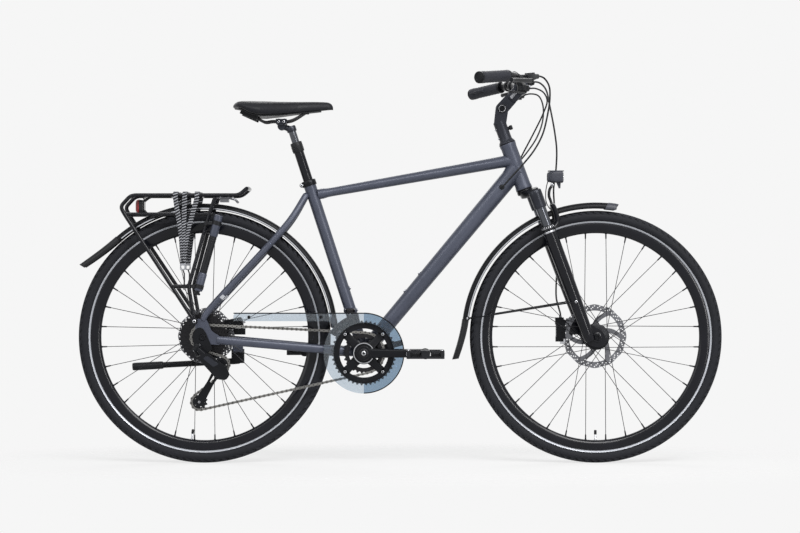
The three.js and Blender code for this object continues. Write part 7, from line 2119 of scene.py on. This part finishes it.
@dataclass
class Seat:
    """The saddle, its rails, clamp and suspension post, in millimetres."""

    start: float = -466.0
    length: float = 278.0
    width: float = 184.0
    depth: float = 46.0
    top: float = 1011.0
    tilt: Triple = (-332.37, 0.0, 942.0)
    shares: tuple[tuple[float, float, float, float], ...] = ((0, .40, .74, .18), (.02, .66, .87, .32),
        (.05, .86, .965, .44), (.1, .97, 1, .57), (.16, .99, 1, .80), (.22, 1, 1, .93), (.3, .92, .995, .98),
        (.46, .62, .98, .88), (.58, .43, .98, .79), (.72, .31, .985, .69), (.86, .25, .985, .59),
        (.95, .21, .96, .50), (.985, .16, .86, .38), (1, .10, .68, .20))

    def build(self) -> None:
        """Builds the saddle and its post."""
        self._cover()
        self._base()
        self._clamp()
        self._post()

    def _measure(self, share: float) -> Triple:
        """The saddle's width, crown and depth shares at a share of its length.

        Args:
            share: 0 at its back, 1 at its nose.

        Returns:
            Width, crown and depth shares, smoothly between the given ones.
        """
        for a, b in zip(self.shares, self.shares[1:]):
            if share <= b[0]:
                t = (share - a[0]) / (b[0] - a[0])
                return tuple(p + (q - p) * t for p, q in zip(a[1:], b[1:]))
        return self.shares[-1][1:]

    def _section(self, share: float) -> list[Vector]:
        """One section of the cover, a crowned arch with a channel, closed below by its floor.

        Args:
            share: 0 at the saddle's back, 1 at its nose.

        Returns:
            The points round the section.
        """
        wide, crown, deep = self._measure(share)
        x, top = self.start + self.length * share, self.top - self.depth * (1 - crown)
        drop, half = self.depth * deep, self.width / 2 * wide
        over = [(0, .965), (.16, .985), (.3, 1), (.46, .992), (.62, .955), (.76, .885), (.87, .77),
            (.95, .62), (1, .45), (.985, .3), (.95, .17), (.90, .1)]
        under = [(.82, .13), (.6, .24), (.35, .34), (0, .38)]
        loop = [(half * u, top - drop * (1 - v)) for u, v in over + under]
        return [xyz(x, y, z) for y, z in loop] + [xyz(x, -y, z) for y, z in reversed(loop[1:-1])]

    def _cover(self) -> None:
        """The padded cover: a subdivided skin with mesh flanks, a dark skirt and stitching."""
        shape = Shape()
        stations = [0, .004, .02, .05, .075, .1, .13, .16, .22, .28, .34, .4, .46, .52, .58, .65, .72, .79,
            .86, .92, .95, .97, .985, .996, 1]
        shape.loft([self._section(s) for s in stations])
        for index, face in enumerate(shape.faces):
            middle = sum((shape.points[i] for i in face), Vector()) / len(face)
            share = (middle.x - self.start) / self.length
            _, crown, deep = self._measure(min(1, max(0, share)))
            level = (middle.z - (self.top - self.depth * (1 - crown) - self.depth * deep)) / (self.depth
                * deep)
            if 0.16 < level < 0.80 and 0.3 < share < 0.62:
                shape.paints[index] = 1
            if level < 0.13:
                shape.paints[index] = 2
        piece = shape.build("saddle_cover", "saddle", [SADDLE_COVER, SADDLE_MESH, NYLON], ["saddle_pad"],
            sharp=80)
        smooth = piece.modifiers.new("skin", "SUBSURF")
        smooth.levels = smooth.render_levels = 2
        seam = Shape()
        for side in (-1, 1):
            line = []
            for share in (0.05 + 0.86 * k / 45 for k in range(46)):
                wide, crown, deep = self._measure(share)
                line.append(xyz(self.start + self.length * share, side * self.width / 2 * wide * 0.86,
                    self.top - self.depth * (1 - crown) - self.depth * deep * 0.20))
            for a, b in zip(line, line[1:]):
                seam.tube([a.lerp(b, 0.1), a.lerp(b, 0.8)], 0.55, 6)
        seam.build("saddle_stitching", "saddle", [HOSE])

    def _floor(self, share: float) -> float:
        """How high the saddle's underside is at a share of its length."""
        _, crown, deep = self._measure(share)
        return self.top - self.depth * (1 - crown) - self.depth * deep * 0.88 - 0.3

    def _base(self) -> None:
        """The moulded shell below the cover, the rails and the rear bumper."""
        shape = Shape()
        rings = []
        for k in range(17):
            share = 0.06 + 0.82 * k / 16
            wide = self._measure(share)[0] * self.width / 2 * 0.82
            low = self._floor(share)
            x = self.start + self.length * share
            loop = [(-wide, 1.0), (-wide * 0.5, 3.6), (0, 4.6), (wide * 0.5, 3.6), (wide, 1.0),
                (wide * 0.98, -2.6), (wide * 0.5, -1.0), (0, 0.0), (-wide * 0.5, -1.0), (-wide * 0.98, -2.6)]
            rings.append([xyz(x, y, low + z - 1.5) for y, z in loop])
        shape.loft(rings)
        for side in (-1, 1):
            shape.block((self.start + self.length * 0.14, side * 35.2, self._floor(0.14) - 4), (20, 14, 9))
            shape.block((self.start + self.length * 0.72, side * 12, self._floor(0.72) - 2), (20, 10, 7))
            shape.block((-421, side * 46, 972.5), (50, 7, 15), ((0.91, 0, -0.41), (0, 1, 0), (0.41, 0, 0.91)))
        shape.paint = 1
        for side in (-1, 1):
            line = smooth_path([(self.start + self.length * x, side * y, z) for x, y,
                z in ((.19, 35, self._floor(.19) - 4), (.26, 29, 961), (.32, 23.5, 953.4), (.39, 22, 955.5),
                (.55, 22, 955.7), (.61, 20, 961), (.72, 12, self._floor(.72) - 2.6))], 8)
            shape.tube(line, 3.5, 16)
        shape.build("saddle_shell_and_rails", "saddle", [NYLON, DARK_STEEL], ["saddle_base"], bevel=0.8,
            sharp=50)

    def _clamp(self) -> None:
        """The two-bolt saddle clamp under the rails."""
        x, _, z = self.tilt
        shape = Shape()
        shape.block((x, 0, z + 10.4), (30, 56, 4.6))
        shape.block((x, 0, z + 17.6), (30, 56, 4.6))
        for side in (-1, 1):
            shape.block((x, side * 21, z + 14), (29, 9, 9))
            shape.tube([(x - 14.4, side * 22, z + 11.0), (x + 14.4, side * 22, z + 11.0)], 5.6)
        arc = [(-14 + 28 * k / 10, -3.2 * sin(pi * k / 10)) for k in range(11)]
        shape.plate([(u, 12) for u in (14, -14)] + [(u, 8 + v * 1.6) for u, v in arc], 50,
            lambda u, v, w: xyz(x + u, w, z + v))
        shape.paint = 1
        for way in (-1, 1):
            shape.bolt((x + way * 8, 0, z + 19.6), (0, 0, 1), 3.6, 2.6)
            shape.bolt((x + way * 7.5, -28, z + 12), (0, -1, 0), 3.6, 2.6)
        shape.build("saddle_clamp_cradle", "seat_clamp_head", [GREY_ALUMINIUM, STAINLESS], ["saddle_clamp"],
            bevel=0.8, sharp=45)

    def _post(self) -> None:
        """The suspension post: its shaft and neck, and the lower tube with its collar."""
        at, up = LAYOUT, LAYOUT.seat_up
        shaft = Shape()
        shaft.turned([(10.6, 522), (10.6, 652)], at.bracket, up, 40)
        shaft.paint = 1
        shaft.turned([(12.4, 650), (13.6, 651.2), (13.6, 664), (12.6, 666), (4.0, 666.4)], at.bracket, up, 40)
        tilt = Vector(self.tilt)
        shaft.tube([at.seat(-3, 0, 658), at.seat(0, 0, 658).lerp(tilt, 0.5), tilt], [9.5, 8.2, 7.4], 24, 1.25,
            (0, 1, 0))
        shaft.turned([(10.2, -15), (11, -14), (11, 14), (10.2, 15)], tilt, (0, 1, 0), 32)
        shaft.build("suspension_shaft", "seat_shaft", [CHROME, GREY_ALUMINIUM], ["seatpost_shaft"], bevel=0.4,
            sharp=50)
        tube = Shape()
        tube.sleeve([(13.6, 305), (13.6, 600), (11.0, 600), (11.0, 305)], at.bracket, up, 40)
        tube.paint = 1
        tube.sleeve([(15.8, 590.6), (16.5, 592), (16.5, 616.4), (15.6, 618.4), (11.2, 618.4), (11.2, 590.6)],
            at.bracket, up, 40)
        for d in (596, 600.5, 605):
            tube.sleeve([(16.4, d), (17.1, d + 0.8), (17.1, d + 2.0), (16.4, d + 2.8), (14, d + 2.8),
                (14, d)], at.bracket, up, 40)
        tube.build("seat_post_tube", "seatpost", [GLOSS_BLACK, NYLON], ["seatpost_tube"], sharp=45)


# Cables and rear brake

@dataclass
class Cables:
    """The hoses and cable housings, each split where it crosses two joints, in millimetres."""

    hose: float = 2.5
    housing: float = 2.2

    def build(self) -> None:
        """Builds the four routes and the rear caliper."""
        self._route("rear_brake_hose", "frame", self.hose, 6, ((377.5, -107.3, 1073.6), (384, -97.5, 1075),
            (398, -88, 1070), (412, -78, 1050), (415, -68, 1015), (408, -60, 965), (395, -54, 915),
            (372, -48, 872), (340, -46, 832), (305, -44, 794), (288, -40, 775), (284, -33, 771.5),
            (284, -26.9, 771.3)))
        self._route("front_brake_hose", "lowers", self.hose, 6, ((377.5, 107.3, 1073.6), (384, 97.5, 1075),
            (398, 87, 1070), (413, 77, 1052), (423, 62, 1005), (437, 50, 925), (442, 50, 878), (440, 52, 822),
            (434, 60, 768), (440, 84, 700), (446, 88, 620), (447, 87, 560), (443, 78, 511), (442, 64, 460),
            (449, 48, 428), (452, 44, 416), (452, 44, 407.6)))
        self._route("rear_shift_cable", "frame", self.housing, 5, ((353.5, -119.7, 1039.1), (372, -112, 1040),
            (394, -100, 1031), (407, -75, 1010), (399, -35, 977), (380, 0, 935), (352, 28, 880),
            (330, 40, 838), (314, 41, 812), (306, 35, 798.5), (305.3, 27.2, 797)))
        self._route("front_shift_cable", "frame", self.housing, 5, ((353.5, 119.7, 1039.1), (372, 114, 1042),
            (393, 102, 1036), (405, 84, 1008), (403, 66, 960), (385, 55, 912), (355, 52, 868), (320, 50, 826),
            (288, 46, 780), (269, 40, 756), (266.8, 33, 751.3), (266.8, 26.8, 750.8)))
        self._rear_caliper()

    def _route(self, node: str, low_body: str, radius: float, split: int,
            points: Sequence[Sequence[float]]) -> None:
        """Builds one cable in an upper and a lower part.

        Args:
            node: the node that it replaces.
            low_body: the body that its lower end is held by; not used, both parts are left on no body.
            radius: its radius.
            split: the number of the point where the two parts meet.
            points: the points of its route.
        """
        steps = 8
        path = smooth_path(points, steps)
        cut = split * steps
        parts = (("upper", path[:cut + 1], "bars", "steerer"), ("lower", path[cut:], "steerer", low_body))
        for word, line, first, second in parts:
            shape = Shape()
            shape.tube(line, radius, 12)
            piece = shape.build(f"{node}_{word}", "", [HOSE], [node])
            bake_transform(piece)

    def _rear_caliper(self) -> None:
        """The rear brake caliper on the left chain stay."""
        shape, leaning = Shape(), ((1, 0, 0.22), (0, 1, 0), (-0.22, 0, 1))
        shape.block((-470, 45.6, 389), (46, 9.4, 27), leaning)
        shape.block((-470, 60.0, 389), (46, 11.0, 27), leaning)
        shape.block((-452, 53, 392), (15, 22, 22), leaning)
        shape.block((-498, 53, 386), (12, 22, 18), leaning)
        shape.turned([(11, 0), (11, 2.4), (9, 3.4)], (-470, 64.6, 389), (0, 1, 0), 32)
        shape.block((-465, 61, 366), (54, 10.4, 18))
        shape.paint = 1
        for x in (-483, -447):
            shape.bolt((x, 61, 374), (0, 0, 1), 4.2, 3.6)
        for y in (50.6, 55.2):
            shape.block((-480, y, 376), (16, 1.2, 12))
        shape.tube([(-444, 53, 392), (-437.6, 53, 394)], 3.6, 6)
        shape.build("rear_brake_caliper_body", "frame", [ANODISED, STAINLESS], ["rear_brake_caliper"],
            bevel=1.2)


# Studio

@dataclass
class Studio:
    """The camera, the floor, the lamps and the pale background."""

    camera_place: Triple = (-0.0006, -6.416, 0.5496)
    lens: float = 103.0
    background: str = "f6f6f6"

    def build(self) -> None:
        """Builds the studio."""
        self._camera()
        self._world()
        self._floor()
        self._lamp("key_softbox", (1.6, -3.2, 3.4), (3.2, 1.6), 128)
        self._lamp("fill_softbox", (-3.4, -2.4, 1.7), (2.4, 2.4), 28)
        self._lamp("upper_strip", (-0.3, -2.9, 3.1), (4.6, 0.26), 55)
        self._lamp("side_strip", (2.5, -3.4, 1.1), (0.26, 2.2), 40)
        self._lamp("back_softbox", (0.0, 3.2, 3.0), (4.0, 1.6), 46)
        scene = bpy.context.scene
        scene.view_settings.view_transform = "Standard"

    def _camera(self) -> None:
        """The camera, level and square to the bicycle's side."""
        data = bpy.data.cameras.new("camera")
        data.lens, data.sensor_width = self.lens, 36
        camera = bpy.data.objects.new("camera", data)
        camera.location = self.camera_place
        camera.rotation_euler = (radians(90), 0, 0)
        bpy.context.collection.objects.link(camera)
        bpy.context.scene.camera = camera

    def _world(self) -> None:
        """A pale background for the camera and for mirrors, and soft grey light for the rest."""
        world = bpy.data.worlds.new("studio")
        bpy.context.scene.world = world
        world.use_nodes = True
        tree = world.node_tree
        tree.nodes.clear()
        path = add_node(tree, "ShaderNodeLightPath")
        seen = add_node(tree, "ShaderNodeMath", {"operation": "MAXIMUM"}, {0: path.outputs["Is Camera Ray"],
            1: path.outputs["Is Transmission Ray"]}).outputs[0]
        seen = add_node(tree, "ShaderNodeMath", {"operation": "MAXIMUM"},
            {0: seen, 1: path.outputs["Is Glossy Ray"]}).outputs[0]
        light = add_node(tree, "ShaderNodeBackground", None, {"Color": (1, 1, 1, 1), "Strength": 0.29})
        shown = add_node(tree, "ShaderNodeBackground", None, {"Color": hex_to_linear(self.background),
            "Strength": 1.0})
        both = add_node(tree, "ShaderNodeMixShader", None, {0: seen, 1: light.outputs[0],
            2: shown.outputs[0]})
        add_node(tree, "ShaderNodeOutputWorld", None, {"Surface": both.outputs[0]})

    def _floor(self) -> None:
        """A pale floor that keeps the soft shadow and fades into the background."""
        mesh = bpy.data.meshes.new("floor")
        mesh.from_pydata([(-2.4, -1.6, 0), (2.4, -1.6, 0), (2.4, 1.6, 0), (-2.4, 1.6, 0)], [], [(0, 1, 2, 3)])
        floor = bpy.data.objects.new("floor", mesh)
        bpy.context.collection.objects.link(floor)
        material = bpy.data.materials.new("pale_floor")
        material.use_nodes = True
        tree = material.node_tree
        tree.nodes.clear()
        place = add_node(tree, "ShaderNodeTexCoord").outputs["Object"]
        flat = add_node(tree, "ShaderNodeMapping", None, {"Vector": place, "Scale": (0.62, 1.25, 0)})
        away = add_node(tree, "ShaderNodeVectorMath", {"operation": "LENGTH"}, {0: flat.outputs[0]})
        fade = add_node(tree, "ShaderNodeMapRange", {"interpolation_type": "SMOOTHSTEP"},
            {"Value": away.outputs["Value"], "From Min": 0.45, "From Max": 1.0}).outputs["Result"]
        matt = add_node(tree, "ShaderNodeBsdfDiffuse", None, {"Color": hex_to_linear("f4f4f4")})
        pale = add_node(tree, "ShaderNodeEmission", None, {"Color": hex_to_linear(self.background)})
        camera = add_node(tree, "ShaderNodeLightPath").outputs["Is Camera Ray"]
        share = add_node(tree, "ShaderNodeMath", {"operation": "MULTIPLY"}, {0: camera, 1: 0.74}).outputs[0]
        mixed = add_node(tree, "ShaderNodeMixShader", None, {0: share, 1: matt.outputs[0],
            2: pale.outputs[0]})
        clear = add_node(tree, "ShaderNodeBsdfTransparent")
        faded = add_node(tree, "ShaderNodeMixShader", None, {0: fade, 1: mixed.outputs[0],
            2: clear.outputs[0]})
        add_node(tree, "ShaderNodeOutputMaterial", None, {"Surface": faded.outputs[0]})
        mesh.materials.append(material)

    def _lamp(self, name: str, place: Triple, size: tuple[float, float], power: float) -> None:
        """Adds one soft lamp that faces the bicycle.

        Args:
            name: its name.
            place: where it stands, in metres.
            size: its width and height, in metres.
            power: its power in watts.
        """
        data = bpy.data.lights.new(name, "AREA")
        data.shape, data.size, data.size_y, data.energy = "RECTANGLE", size[0], size[1], power
        lamp = bpy.data.objects.new(name, data)
        lamp.location = place
        lamp.rotation_euler = (xyz(0, 0, 0.5) - Vector(place)).to_track_quat("-Z", "Y").to_euler()
        bpy.context.collection.objects.link(lamp)


def main() -> None:
    """Builds the studio and every sub-assembly in order."""
    logging.basicConfig(level=logging.INFO, format="%(message)s")
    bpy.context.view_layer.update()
    Studio().build()
    FrameSet().build()
    Wheel("front", LAYOUT.front_axle, FRONT_HUB, (28.0, -28.0), flange_radius=36.0, disc_radius=90.0,
        disc_side=39.5, valve_turn=-90.2).build()
    Wheel("rear", LAYOUT.rear_axle, REAR_HUB, (31.0, -20.0), flange_radius=29.0, disc_radius=80.0,
        disc_side=52.0, valve_turn=-97.2).build()
    Fork().build()
    Drive().build()
    Mudguard("front", "lowers", LAYOUT.front_axle, radius=376.0, ahead=9.0, behind=84.0, flap_end=99.0,
        foil_from=-22.0).build()
    Mudguard("rear", "frame", LAYOUT.rear_axle, radius=373.0, ahead=86.0, behind=43.0, flap_end=60.0,
        foil_from=82.0).build()
    Luggage().build()
    Cockpit().build()
    Seat().build()
    Cables().build()


if __name__ == "__main__":
    main()
